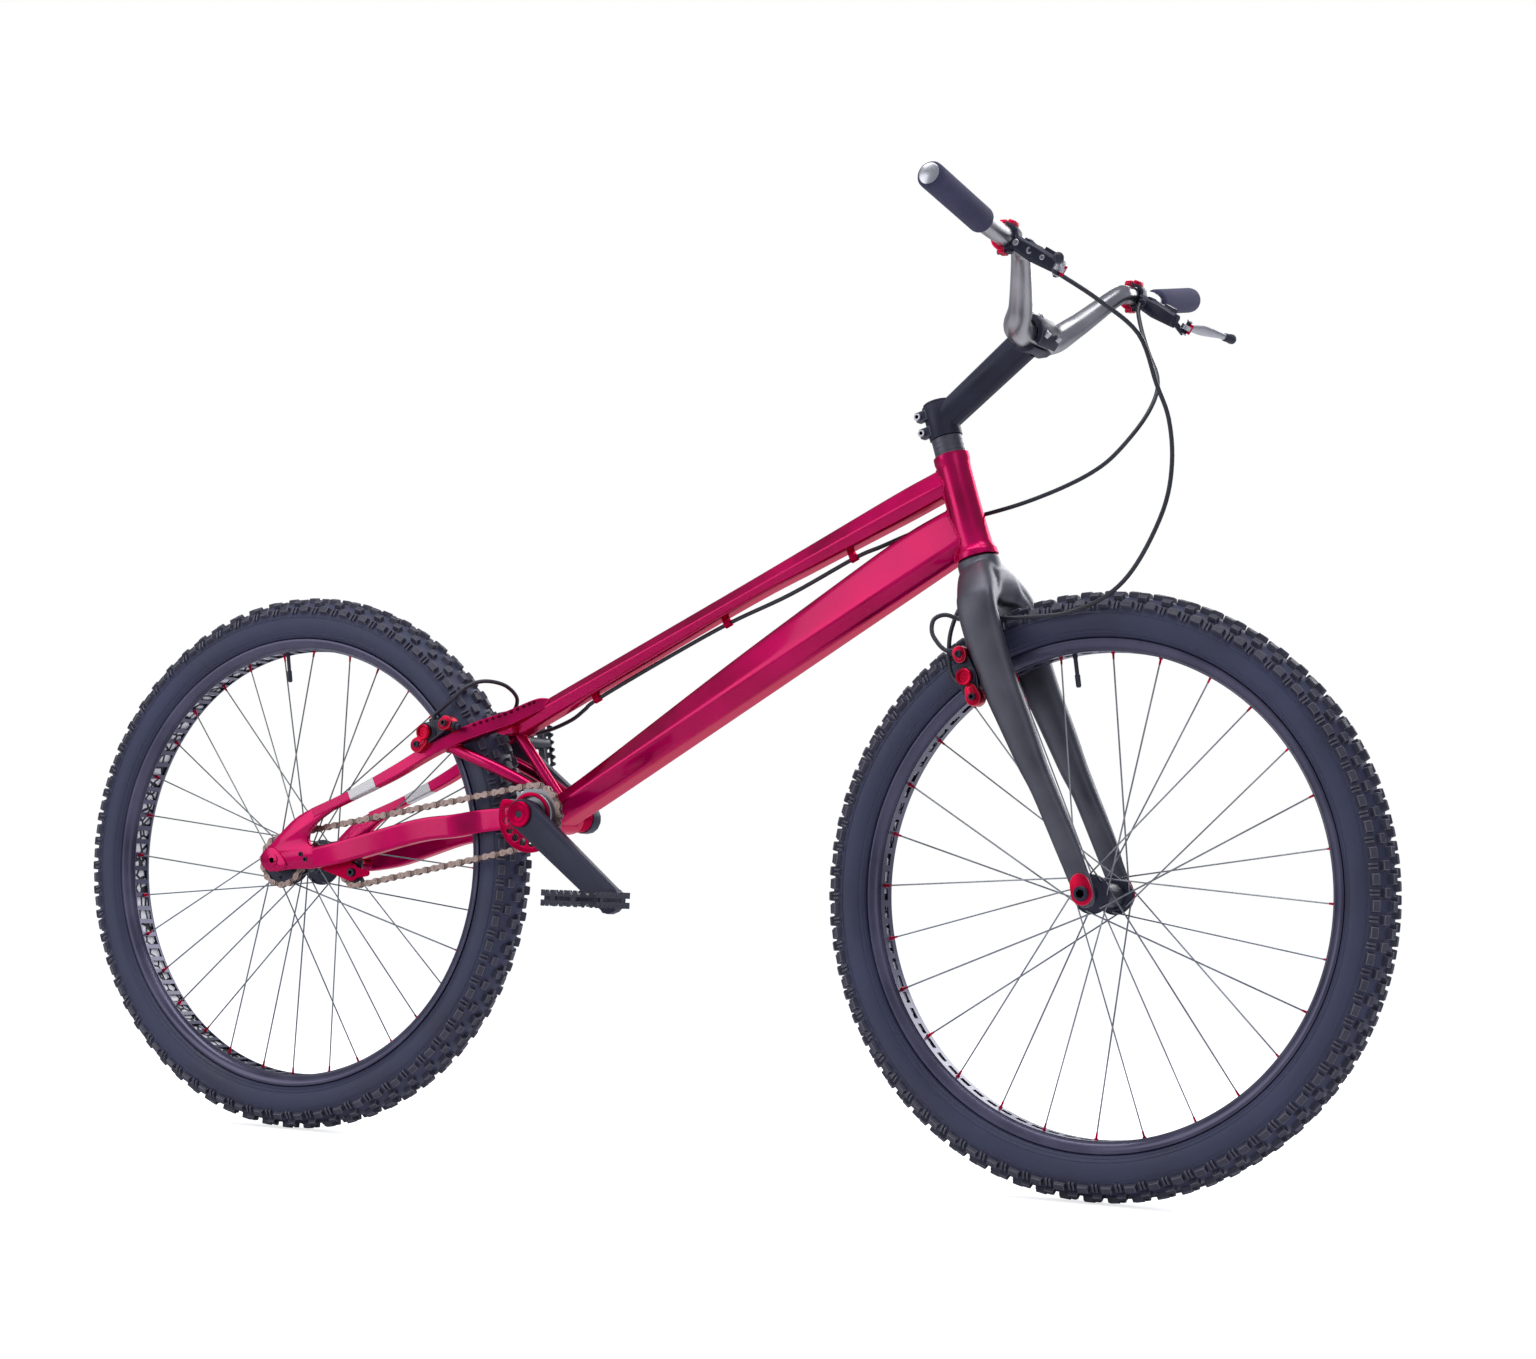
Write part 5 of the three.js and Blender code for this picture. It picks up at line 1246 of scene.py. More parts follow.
@dataclass(frozen=True)
class FrameTubes:
    """The welded frame: main tubes, stays, struts, dropouts, welds, hose clips and bands."""

    chainstay: float = 382
    hub_width: float = 116
    top_tail: Place = (-54, 0, 108.8)
    top_size: Place = (36, 33.2)
    top_rows: tuple[Place, ...] = (
        (0, 0, 0.83, 0.72, 0.1, 0.45, 0.55), (0.063, 0.03, 0.94, 0.73, 0.1, 0.45, 0.55),
        (0.5015, 0.25, 1, 0.66, -0.3, 0.4, 0.55), (0.6856, 0.28, 1, 0.8, -0.25, 0.4, 0.55),
        (0.883, 0.3, 1, 1, -0.25, 0.4, 0.55), (0.9615, 0.3, 1, 1, -0.3, 0.4, 0.55),
        (1, 0.3, 0.9, 1, -0.3, 0.4, 0.55),
    )
    down_tail: Place = (10, 0, 4)
    down_size: Place = (62, 63)
    down_rows: tuple[Place, ...] = (
        (0, 0, 1, 0.54, 0, 0.5, 0.5), (0.035, 0, 1, 0.55, 0, 0.5, 0.5), (0.127, 0, 0.98, 0.61, 0, 0.45, 0.5),
        (0.461, 0.045, 0.97, 0.83, -0.3, 0.4, 0.45), (0.7256, 0.055, 0.9, 0.95, -0.45, 0.4, 0.4),
        (0.879, 0.05, 0.8, 1, -0.5, 0.4, 0.4), (0.963, 0.015, 0.71, 0.95, -0.5, 0.4, 0.4),
        (1, 0, 0.62, 0.86, -0.5, 0.4, 0.4),
    )
    seatstay_size: Place = (16, 18)
    seatstay_rows: tuple[Place, ...] = (
        (-0.832, 0.517, -0.016, 0.75, 0.7), (-0.688, 0.517, 0.045, 0.75, 0.64),
        (-0.531, 0.5, 0.119, 0.9, 0.8), (-0.421, 0.466, 0.181, 1, 0.83), (-0.346, 0.414, 0.223, 1, 0.9),
        (-0.241, 0.328, 0.269, 1, 1), (-0.146, 0.224, 0.306, 1, 1), (-0.058, 0.133, 0.35, 0.8, 0.9),
        (-0.03, 0.1, 0.362, 0.5, 0.62), (-0.012, 0.08, 0.368, 0.16, 0.24),
    )
    chainstay_size: Place = (15, 28)
    chainstay_rows: tuple[Place, ...] = (
        (-0.817, 0.526, -0.162, 0.93, 0.93), (-0.696, 0.526, -0.136, 0.93, 1),
        (-0.445, 0.409, -0.063, 1, 1), (-0.304, 0.371, -0.042, 0.93, 1), (-0.213, 0.322, -0.024, 0.53, 1),
        (-0.118, 0.322, -0.013, 0.53, 0.96), (-0.03, 0.28, -0.003, 0.5, 0.9),
    )
    strut_size: Place = (14.5, 14.5)
    strut_rows: tuple[Place, ...] = (
        (-0.346, 0.379, 0.219, 1, 1), (-0.301, 0.362, 0.198, 1, 1), (-0.183, 0.345, 0.155, 1, 1),
        (-0.076, 0.29, 0.108, 1, 1), (0.01, 0.24, 0.06, 1, 1),
    )
    head_span: Place = (409.3, 534.3)
    seat_tube: tuple[Place, Place] = ((-58, 0, 103), (12, 0, 18))
    seat_tube_radius: float = 7
    seat_tube_shift: Place = (-1.5, 0, -1.2)
    clips: tuple[Place, ...] = ((51.5, 4, 144.6), (230.1, 4, 235.5), (395.9, 4, 311.5))
    band_span: Place = (-263, -225)
    dots_span: Place = (-104, -26)
    # The right dropout's outline in x and z, with the arm to the seatstay and the tab to the chainstay
    dropout: tuple[Place, ...] = (
        (-397, -66), (-392, -56), (-380, -46.5), (-363, -29), (-345, -13), (-325, -2.5), (-306, 5.5),
        (-290, 9), (-286, 0), (-299, -8), (-311, -16), (-321, -26), (-325.5, -36), (-322, -46),
        (-311, -49.5), (-290, -46), (-270, -42), (-267, -62), (-296, -72.5), (-319, -76), (-345, -76.5),
        (-378, -82.5), (-391, -78),
    )
    dropout_faces: Place = (-65.7, -58.3)
    hanger_pin: float = 40.6
    hanger_bolts: tuple[Place, Place] = ((-333, -58), (-326, -64))
    axle_boss: tuple[Place, ...] = (
        (-396.4, -66), (-391, -56), (-380, -50), (-368, -54), (-352, -72), (-356, -77), (-378, -82),
        (-390.6, -77),
    )
    bead_dots: int = 11
    dot_radius: float = 2.3
    dot_shift: Place = (0, -0.8, -3.2)

    def build(self) -> None:
        """Makes every piece of the frame."""
        self.make_main_tubes()
        self.make_head_tube()
        self.make_bracket()
        self.make_stays()
        self.make_plates()
        self.make_clips()

    def formed(self, tail: Place, meet: float, size: Place, rows: Sequence[Place]) -> list[Ring]:
        """Rings of a formed main tube.

        Args:
            tail: Its rear end.
            meet: Height on the steering axis that it points to.
            size: Its full width and height.
            rows: Way along, lift, half width, half height, crease, top and underside, as shares.

        Returns:
            The rings, smoothed along the tube.
        """
        start, end = Vector(tail), LAYOUT.steered(0, 0, meet)
        run = end - start
        up = Vector((-run.z, 0, run.x)).normalized()
        stations = [
            (start + run * s + up * (lift * size[1]), w * size[0] / 2, h * size[1] / 2)
            for s, lift, w, h, *_ in rows
        ]
        return along(through(stations, [creased(*row[4:]) for row in rows]), 6)

    def make_main_tubes(self) -> None:
        """Top tube, down tube and seat tube with their welds."""
        head, shell = solid_tree("head_tube"), solid_tree("bottom_bracket_shell")
        beads = Form()
        for name, rings in (
            ("top_tube", self.formed(self.top_tail, 497, self.top_size, self.top_rows)),
            ("down_tube", self.formed(self.down_tail, 447.6, self.down_size, self.down_rows)),
        ):
            beads.absorb(weld_bead(rings[-10], rings[-1], head))
            if name == "down_tube":
                beads.absorb(weld_bead(rings[8], rings[0], shell))
            Form().loft(rings).finish(f"{name}_skin", CANDY_RED, "frame", [name], smooth=60)
        foot, top = (Vector(p) + Vector(self.seat_tube_shift) for p in reversed(self.seat_tube))
        sizes = [self.seat_tube_radius] * 2
        Form().tube([foot, top], sizes, 32).finish("seat_tube_skin", CANDY_RED, "frame", ["seat_tube"])
        run = (top - foot).normalized()
        middle, upper, lower = (
            section(foot.lerp(top, t), run, Y_AXIS, *sizes, round_shares(32)) for t in (0.5, 1, 0)
        )
        beads.absorb(weld_bead(middle, upper, solid_tree("top_tube"), 1.7))
        beads.absorb(weld_bead(middle, lower, solid_tree("down_tube", "bottom_bracket_shell"), 1.7))
        beads.finish("main_welds", CANDY_RED, "frame", smooth=180)

    def make_head_tube(self) -> None:
        """The head tube with its flared ends and machined lips."""
        bottom, top = self.head_span
        profile = [
            (15, bottom), (24.4, bottom), (25, bottom + 0.6), (25, bottom + 6.5), (24.2, bottom + 8),
            (22.6, bottom + 11), (21.5, bottom + 15), (20.6, bottom + 35), (19.7, bottom + 70),
            (19.5, top - 18), (19.8, top - 13), (20.5, top - 9), (20.9, top - 7.6), (20.9, top - 0.6),
            (20.3, top), (15, top), (15, bottom),
        ]
        about_steering(profile, 72).finish("head_tube_skin", CANDY_RED, "frame", ["head_tube"], smooth=30)
        rows = [
            (bottom + 5, 24.2), (bottom + 12, 21.8), (bottom + 35, 20.4), (bottom + 70, 19.6),
            (top - 16, 19.4), (top - 9, 20),
        ]
        edge = [LAYOUT.steered(-0.74 * reach, -0.67 * reach, height) for height, reach in rows]
        pair(Form().tube(flowing(edge, 4), 1.7, 10), "head_edge", CANDY_RED, "frame", smooth=60)

    def make_bracket(self) -> None:
        """The bottom bracket's shell and its cups."""
        half = [(21, 32), (20.6, 34.5), (19, 36.5), (10.2, 36.5)]
        shell = [*((r, -y) for r, y in reversed(half)), *half, (10.2, -36.5)]
        skin = Form().spin(shell, (0, 0, 0), steps=64)
        skin.finish("bracket_skin", CANDY_RED, "frame", ["bottom_bracket_shell"])
        cup = [
            (13.4, 36.7), (18, 36.7), (18.6, 37.4), (18.6, 43), (17.4, 44), (17.4, 58.6), (16.8, 59.2),
            (13.4, 59.2), (13.4, 36.7),
        ]
        Form().spin(cup, (0, 0, 0), steps=56).finish("bracket_cup", DEEP_RED, "frame", smooth=30)

    def stay(self, rows: Sequence[Place], size: Place, shares: Sequence[Place]) -> list[Ring]:
        """Rings of a stay on the right side.

        Args:
            rows: Way forwards and up in rear centre distances, way aside in hub widths, then sizes.
            size: Full width and height.
            shares: The outline.

        Returns:
            The rings, smoothed along the stay.
        """
        long, wide = self.chainstay, self.hub_width
        stations = [
            (Vector((x * long, -y * wide, z * long)), w * size[0] / 2, h * size[1] / 2)
            for x, y, z, w, h in rows
        ]
        return along(through(stations, [shares] * len(rows)), 5)

    def make_stays(self) -> None:
        """Seatstays, chainstays, the struts below the seatstays, their bands, welds, and dots painted dark as
        the shade in punched holes.
        """
        box, circle = crisp_box(), round_shares(24)
        seatstay = self.stay(self.seatstay_rows, self.seatstay_size, box)
        chainstay = self.stay(self.chainstay_rows, self.chainstay_size, box)
        strut = self.stay(self.strut_rows, self.strut_size, circle)
        for name, rings in (("seatstay", seatstay), ("chainstay", chainstay), ("seat_strut", strut)):
            pair(Form().loft(rings), f"{name}_skin", CANDY_RED, "frame", name + "_{side}", smooth=60)
        middles = [sum(ring, Vector()) / len(ring) for ring in seatstay]
        sleeve = [
            [middle + (p - middle) * 1.025 for p in ring]
            for ring, middle in zip(seatstay, middles)
            if self.band_span[0] <= middle.x <= self.band_span[1]
        ]
        pair(Form().loft(sleeve), "seatstay_band", BARE_BAND, "frame", smooth=60)
        first, last = self.dots_span
        spanned = [ring for ring in seatstay if first < ring[0].x < last]
        crest = [max(ring, key=lambda p: p.z * 0.7 - p.y * 0.71) for ring in spanned]
        # Dots along the seatstay's crest, painted very dark: painted shade of punched holes.
        dots = Form()
        line = flowing(crest, 4)
        for i in range(self.bead_dots):
            at = line[round(i * (len(line) - 1) / (self.bead_dots - 1))]
            ball = bmesh.ops.create_icosphere(dots.mesh, subdivisions=2, radius=self.dot_radius)["verts"]
            bmesh.ops.translate(dots.mesh, verts=ball, vec=at + Vector(self.dot_shift))
        pair(dots, "seatstay_dots", HOLE_SHADE_RED, "frame", smooth=180, recalculated=False)
        beads = Form()
        for rings, outer, inner, nodes, size in (
            (chainstay, -12, -1, ["bottom_bracket_shell"], 1.8),
            (strut, -8, -1, ["down_tube", "bottom_bracket_shell"], 1.6),
            (strut, 8, 0, ["seatstay_right"], 1.6),
            (seatstay, -12, -1, ["top_tube"], 1.6),
        ):
            beads.absorb(weld_bead(rings[outer], rings[inner], solid_tree(*nodes), size))
        pair(beads, "stay_welds", CANDY_RED, "frame", smooth=180)

    def make_plates(self) -> None:
        """Dropouts and the yoke, with rounded edges."""
        outer, inner = self.dropout_faces
        plate = Form().plate(eased(([(x, z, 0) for x, z in self.dropout]), 1), outer, inner)
        plate.plate(eased([(x, z, 0) for x, z in self.axle_boss], 2), outer - 1.6, outer + 0.1)
        guide = Vector(LAYOUT.guide_pulley)
        plate.tube([guide + Y_AXIS * inner, guide - Y_AXIS * self.hanger_pin], 4, 20)
        pair(plate.soften(0.8, 2), "dropout_plate", CANDY_RED, "frame", "dropout_{side}")
        bolts = Form()
        for x, z in self.hanger_bolts:
            bolts.bolt(Vector((x, outer, z)), -Y_AXIS, 3.2, 1.2)
        pair(bolts, "hanger_bolts", BLACK_METAL, "frame")
        Form().take("stay_yoke").soften(0.8, 2).finish("yoke_block", CANDY_RED, "frame", ["stay_yoke"])

    def make_clips(self) -> None:
        """The three clips that hold the hose under the top tube."""
        clips = Form()
        run = Vector((0.86, 0, 0.44)).normalized()
        turn = run.to_track_quat("X", "Z").to_matrix()
        for place in self.clips:
            at = Vector(place)
            clips.tube([at + run * way for way in (-5, -4.4, 4.4, 5)], [3.6, 4.3, 4.3, 3.6], 16)
            clips.block(at + Vector((-2.6, -1.5, 5.2)), (8, 7, 9), turn, taper=0.9)
        clips.finish("hose_clips", DEEP_RED, "frame")


# Steering


@dataclass(frozen=True)
class Fork:
    """The rigid fork: legs, crown, foot plates and axle heads."""

    length: float = 409
    offset: float = 45
    outset: float = 57
    leg_width: float = 25
    leg_rows: tuple[Place, ...] = (
        (0.955, -0.5, 0.5, 0.0, 1.5), (0.94, -0.48, 0.54, 0.22, 1.55), (0.92, -0.44, 0.6, 0.44, 1.45),
        (0.9, -0.4, 0.65, 0.64, 1.25), (0.88, -0.36, 0.68, 0.8, 1.1), (0.86, -0.34, 0.69, 0.92, 1.03),
        (0.817, -0.33, 0.69, 1, 1), (0.743, -0.31, 0.69, 1, 1), (0.67, -0.23, 0.7, 1, 1),
        (0.597, -0.17, 0.74, 1, 1), (0.521, -0.04, 0.82, 1, 1), (0.447, 0.09, 0.88, 1, 1),
        (0.374, 0.22, 0.93, 0.995, 0.95), (0.301, 0.38, 1.01, 0.99, 0.9), (0.156, 0.56, 1.19, 0.97, 0.65),
        (0.083, 0.64, 1.24, 0.955, 0.38), (0.02, 0.72, 1.29, 0.951, 0.31),
        (-0.022, 0.78, 1.26, 0.951, 0.31), (-0.038, 0.9, 1.14, 0.951, 0.31),
    )
    # The crown's right half: way aside, underside and top
    crown_rows: tuple[Place, ...] = (
        (-0.98, 0.80, 0.845), (-0.82, 0.832, 0.885), (-0.55, 0.852, 0.915), (-0.3, 0.855, 0.965),
    )
    crown_front: float = 30
    crown_rear: float = 16
    steerer_radius: float = 14.3
    steerer_top: float = 592
    voxel: float = 1.7
    foot_faces: Place = (-60.4, -58.4)
    foot_radius: float = 13
    foot_horn: float = 10

    def build(self) -> None:
        """Makes every piece of the fork."""
        self.make_legs()
        self.make_feet()

    def make_legs(self) -> None:
        """Legs and crown, fused into one smooth shell."""
        fork = Form()
        stations = [
            (
                LAYOUT.steered((rear + front) / 2 * self.offset, -middle * self.outset, height * self.length),
                w * self.leg_width / 2,
                (front - rear) / 2 * self.offset,
            )
            for height, rear, front, middle, w in self.leg_rows
        ]
        shares = [soft_box(0.55)] * len(stations)
        leg = Form().loft(along(through(stations, shares), 4))
        twin = leg.other_side()
        middle = (self.crown_front - self.crown_rear) / 2
        left_rows = [(-out, under, top) for out, under, top in reversed(self.crown_rows)]
        bridge = [
            (
                LAYOUT.steered(middle, out * self.outset, (under + top) / 2 * self.length),
                (self.crown_front + self.crown_rear) / 2,
                (top - under) / 2 * self.length,
            )
            for out, under, top in (*self.crown_rows, *left_rows)
        ]
        crown = Form().loft(along(through(bridge, shares, aside=X_AXIS), 4))
        race = self.length
        collar = [
            (0, race - 40), (22, race - 40), (24.6, race - 28), (24.6, race - 12), (24.4, race - 3),
            (23.2, race - 0.6), (21, race), (self.steerer_radius, race),
            (self.steerer_radius, self.steerer_top), (0, self.steerer_top),
        ]
        fork.absorb(leg.merge()).absorb(twin.merge()).absorb(crown.merge())
        fork.absorb(about_steering(collar, 48).merge())
        nodes = ["fork_leg_right", "fork_leg_left", "fork_crown"]
        shell = fork.finish("fork_shell", FORK_GRAPHITE, "steering", nodes, recalculated=False)
        remesh = shell.modifiers.new("fuse", "REMESH")
        remesh.mode = "VOXEL"
        remesh.voxel_size = self.voxel * MM
        remesh.use_smooth_shade = True
        smooth = shell.modifiers.new("blend", "SMOOTH")
        smooth.factor = 0.5
        smooth.iterations = 8

    def make_feet(self) -> None:
        """Red plates on the feet, with the axle's heads."""
        plates, heads = Form(), Form()
        foot = LAYOUT.front_axle
        count, lean = 36, 0.3
        outer, inner = self.foot_faces
        outline = []
        for i in range(count):
            turn = FULL_TURN * i / count
            out = self.foot_radius + self.foot_horn * max(0, math.sin(turn)) ** 3
            outline.append((foot[0] + out * math.cos(turn + lean), foot[2] + out * math.sin(turn + lean)))
        plates.plate(outline, outer, inner).soften(0.6, 2)
        pair(plates, "foot_plate", RED_ANODISED, "steering")
        for sign in (-1, 1):
            heads.bolt(Vector((foot[0], -sign * outer, foot[2])), Y_AXIS * sign, 8.4, 4.6, 0.6)
        heads.tube([Vector((foot[0], y, foot[2])) for y in (-58, 58)], 4.8, 24)
        heads.finish("front_axle_bolts", BLACK_METAL, "steering", ["front_axle"])


@dataclass(frozen=True)
class Cockpit:
    """Stem, handlebar, grips and brake levers."""

    half_width: float = 362
    rows: tuple[Place, ...] = (
        (0, 0.11, 0), (0.046, 0.2, 0.055), (0.107, 0.34, 0.163), (0.122, 0.385, 0.19), (0.126, 0.43, 0.2),
        (0.127, 0.657, 0.219), (0.117, 0.98, 0.284),
    )
    clamp_radius: float = 15.9
    tube_radius: float = 11.1
    grip_start: float = 240
    spacer_span: Place = (534.6, 556.3)
    cap_seat: float = 596.2
    stem_middle: float = 576.35
    steerer_bolts: Place = (566.4, 586.4)
    lever_aside: float = 176
    lever_nose: Place = (66, 8, -39)
    lever_hinge: Place = (66, -6, -39)
    hinge_axis: Place = (0.51, 0, 0.86)

    def place(self, row: Place) -> Vector:
        """A row of the bar's table, in the bicycle's frame, on the right side."""
        share = Vector((row[0], -row[1], row[2])) * self.half_width
        return Vector(LAYOUT.bar_centre) + share

    def on_bar(self, aside: float) -> Vector:
        """A point on the bar's outer part.

        Args:
            aside: Its way to the right.

        Returns:
            The place.
        """
        bends = [self.place(row) for row in self.rows[4:7]]
        a, b = bends[:2] if aside < -bends[1].y else bends[1:]
        return a.lerp(b, (-aside - a.y) / (b.y - a.y))

    def build(self) -> None:
        """Makes every piece of the cockpit."""
        self.make_spacer()
        self.make_stem()
        self.make_bar()
        self.make_grips()
        self.make_levers()

    def make_spacer(self) -> None:
        """The headset's upper cover and the spacers above it."""
        low, high = self.spacer_span
        profile = [(15, low), (18.2, low), (18.4, low + 0.8), (18, low + 2.6)]
        for i in range(3):
            base = low + 3 + i * 6.1
            profile += [(17.4, base), (17.7, base + 0.4), (17.7, base + 5.5), (17.4, base + 5.9)]
        profile += [(17.2, high), (15, high), (15, low)]
        cover = about_steering(profile, 56)
        cover.finish("headset_cover", FORK_GRAPHITE, "steering", ["headset_spacer"], smooth=30)

    def make_stem(self) -> None:
        """The stem, its faceplate and all its bolts."""
        machined("stem", "stem_body", BLACK_METAL, "steering", 0.9)
        machined("stem_faceplate", "faceplate", BLACK_METAL, "steering", 0.8)
        bolts, lugs = Form(), Form()
        level = Matrix.Rotation(math.pi / 2 - LAYOUT.head_angle, 3, "Y").transposed()
        for height in self.steerer_bolts:
            for sign in (-1, 1):
                bolts.bolt(LAYOUT.steered(-20.2, sign * 18.4, height), Y_AXIS * sign, 4.4, 3)
                lugs.block(LAYOUT.steered(-16.4, sign * 12.6, height), (15, 11.4, 12), level)
        lugs.soften(1.6, 3).finish("stem_lugs", BLACK_METAL, "steering", smooth=44)
        centre = Vector(LAYOUT.bar_centre)
        run = (centre - LAYOUT.steered(0, 0, self.stem_middle)).normalized()
        up = run.cross(Y_AXIS) * -1
        for aside in (-15, 15):
            for rise in (-17.6, 17.6):
                bolts.bolt(centre + run * 13.4 + up * rise + Y_AXIS * aside, run, 3.8, 6.2)
        bolts.finish("stem_bolts", SILVER, "steering")
        low = self.cap_seat
        cap = [
            (0, low), (17, low), (17.4, low + 0.8), (17, low + 3.2), (15.6, low + 4), (4, low + 4),
            (3.6, low + 1.8), (0, low + 1.8),
        ]
        about_steering(cap, 48).finish("steerer_cap", BLACK_METAL, "steering")

    def make_bar(self) -> None:
        """The riser handlebar."""
        taper = (self.clamp_radius + self.tube_radius) / 2
        sizes = [self.clamp_radius, taper] + [self.tube_radius] * (len(self.rows) - 2)
        right = [Vector((*self.place(row), size)) for row, size in zip(self.rows, sizes)]
        left = [Vector((p.x, -p.y, p.z, p.w)) for p in right]
        line = flowing([*reversed(right), *left], 8)
        Form().tube([p.to_3d() for p in line], [p.w for p in line], 32).finish(
            "handlebar_tube", BAR_METAL, "steering", ["handlebar"], smooth=60
        )

    def make_grips(self) -> None:
        """Foam grips and the plugs in the bar's ends."""
        start, end = self.on_bar(self.grip_start), self.on_bar(self.half_width)
        rows = [
            (0.0, 12), (0.003, 13.6), (0.01, 14.6), (0.025, 15), (0.3, 15), (0.7, 15.1), (0.93, 15.2),
            (0.966, 14.9), (0.98, 14), (0.985, 12.4),
        ]
        grip = Form().tube([start.lerp(end, t) for t, _ in rows], [r for _, r in rows], 40)
        for side, made in ((Side.RIGHT, grip), (Side.LEFT, grip.other_side())):
            node = f"grip_{side.word}"
            made.finish(f"{node}_foam", FOAM, "steering", [node], smooth=50)
        plug = Form().tube([start.lerp(end, t) for t in (0.975, 0.995, 1.0)], [11.8, 11.8, 10.6], 32)
        pair(plug, "bar_plug", SILVER, "steering")

    def make_levers(self) -> None:
        """Lever bodies with their clamps, reservoirs and fittings, and the blades."""
        seat = self.on_bar(self.lever_aside)
        run = (self.on_bar(self.lever_aside + 1) - seat).normalized()
        way = Vector(self.lever_nose).normalized()
        top = way.cross(run).normalized()
        if top.z < 0:
            top = -top
        body = Form().take("lever_body_right").soften(0.8, 2, 42)
        pair(body, "lever_body_shell", BLACK_METAL, "steering", "lever_body_{side}", smooth=44)
        self.make_lever_clamp(seat, run)
        self.make_lever_fittings(seat, way, top)
        self.make_blade(seat + Vector(self.lever_hinge))

    def make_lever_clamp(self, seat: Vector, run: Vector) -> None:
        """The red rear half of a lever's clamp, with an ear and a bolt above and below.

        Args:
            seat: The middle of the clamp, on the bar's axis.
            run: The way along the bar.
        """
        clamp, bolts = Form(), Form()
        half, ear = 7.2, 15.6
        outline = [
            (radius * math.cos(turn), radius * math.sin(turn))
            for radius, start, step, count in ((16.6, 96, 12, 15), (11.6, 264, -14, 13))
            for turn in (math.radians(start + step * i) for i in range(count))
        ]
        clamp.plate(outline, -half, half)
        for place, size, axis, turn in (
            ((-3.4, 0, ear), (9, 2 * half, 6.4), "X", 0),
            ((-3.4, 0, -ear), (9, 2 * half, 6.4), "X", 180),
            ((6.4, 0, 15.2), (9.6, 13, 6), "Y", 22),
        ):
            clamp.block(Vector(place), size, Matrix.Rotation(math.radians(turn), 3, axis), taper=0.85)
        clamp.soften(0.7, 2, 40)
        for height in (ear, -ear):
            bolts.bolt(Vector((-7.4, 0, height)), -X_AXIS, 3.1, 2.4)
            bolts.block(Vector((4.2, 0, height * 0.94)), (6, 9, 6))
        turn = (-Y_AXIS).rotation_difference(run).to_matrix().to_4x4()
        for form in (clamp, bolts):
            bmesh.ops.transform(form.mesh, matrix=Matrix.Translation(seat) @ turn, verts=form.mesh.verts)
        pair(clamp, "lever_clamp", RED_ANODISED, "steering")
        pair(bolts, "lever_clamp_bolts", BLACK_METAL, "steering")

    def make_lever_fittings(self, seat: Vector, way: Vector, top: Vector) -> None:
        """Reservoir lid, bleed screw, banjo bolt, adjuster and hinge on a lever's body.

        Args:
            seat: Where the body starts, on the bar's axis.
            way: The way that the body points.
            top: The way out of its upper face.
        """
        silver, red, dark = Form(), Form(), Form()

        def over(reach: float, rise: float) -> Vector:
            """A place over the body's seat, along it and out of its upper face."""
            return seat + way * reach + top * rise

        dark.tube([over(26, 6), over(26, 9.6), over(26, 10.2)], [7, 7, 6.2], 24)
        silver.bolt(over(26, 10.1), top, 3.0, 1.2)
        silver.bolt(over(47, 8.6), top, 2.4, 1.4)
        red.tube([over(37, 7.5), over(37, 9.4)], [3.6, 3.4], 16)
        side = way.cross(top)
        side = -side if side.y > 0 else side
        for reach, size in ((15, 3.6), (34, 4.2), (50, 3)):
            silver.bolt(seat + way * reach + side * 8.2, side, size, 1.6, 0.5)
        dark.block(over(53, 8.6), (15, 11, 8), way.to_track_quat("X", "Z").to_matrix(), taper=0.86)
        banjo = seat + way * 21.5
        for reach, radius in ((9.5, 4.4), (13.4, 4.6)):
            silver.tube([banjo + Y_AXIS * reach, banjo + Y_AXIS * (reach + 1.2)], radius, 16)
        axis, hinge = Vector(self.hinge_axis).normalized(), seat + Vector(self.lever_hinge)
        for out in (axis, -axis):
            silver.bolt(hinge + out * 7.4, out, 3.8, 1.6)
        red.tube([hinge + way * 5 - axis * 6, hinge + way * 5 + axis * 6], 2.4, 12)
        pair(silver, "lever_screws", SILVER, "steering")
        pair(red, "lever_adjuster", RED_ANODISED, "steering")
        pair(dark, "lever_lid", BLACK_METAL, "steering")

    def make_blade(self, pivot: Vector) -> None:
        """A lever's blade: its eye, the flat blade with a hook for two fingers, and its rubber end.

        Args:
            pivot: The middle of the eye.
        """
        axis = Vector(self.hinge_axis).normalized()
        tip = pivot + Vector((29.24, -68, -3.2))
        knee = pivot.lerp(tip, 0.35) + Vector((4.5, 0, 0))
        bow = knee.lerp(tip, 0.5) + Vector((1.2, 0, 0))
        line = flowing([pivot, pivot.lerp(knee, 0.5), knee, bow, tip], 5)
        stations = []
        for i, at in enumerate(line):
            share = i / (len(line) - 1)
            wide = 3.6 + 2.4 * math.sin(math.pi * min(1.0, share * 1.15)) ** 2
            stations.append((at, wide, 2.9 - 0.5 * share))
        blade = Form().loft(through(stations, [soft_box(0.5)] * len(stations), aside=axis))
        blade.tube([pivot + axis * way for way in (-3, -2.6, 2.6, 3)], [6.4, 7, 7, 6.4], 24)
        node = "brake_lever_{side}"
        pair(blade, "lever_blade", SILVER, node, node, smooth=50)
        end = Form()
        run = (tip - knee).normalized()
        rows = [(-13, 4.3), (-12.4, 4.9), (-5, 5.2), (-1, 6), (2.4, 5.7), (4.6, 4.2), (5.6, 2)]
        end.tube([tip + run * t for t, _ in rows], [r for _, r in rows], 18)
        pair(end, "lever_tip", BLACK_PLASTIC, node, smooth=60)


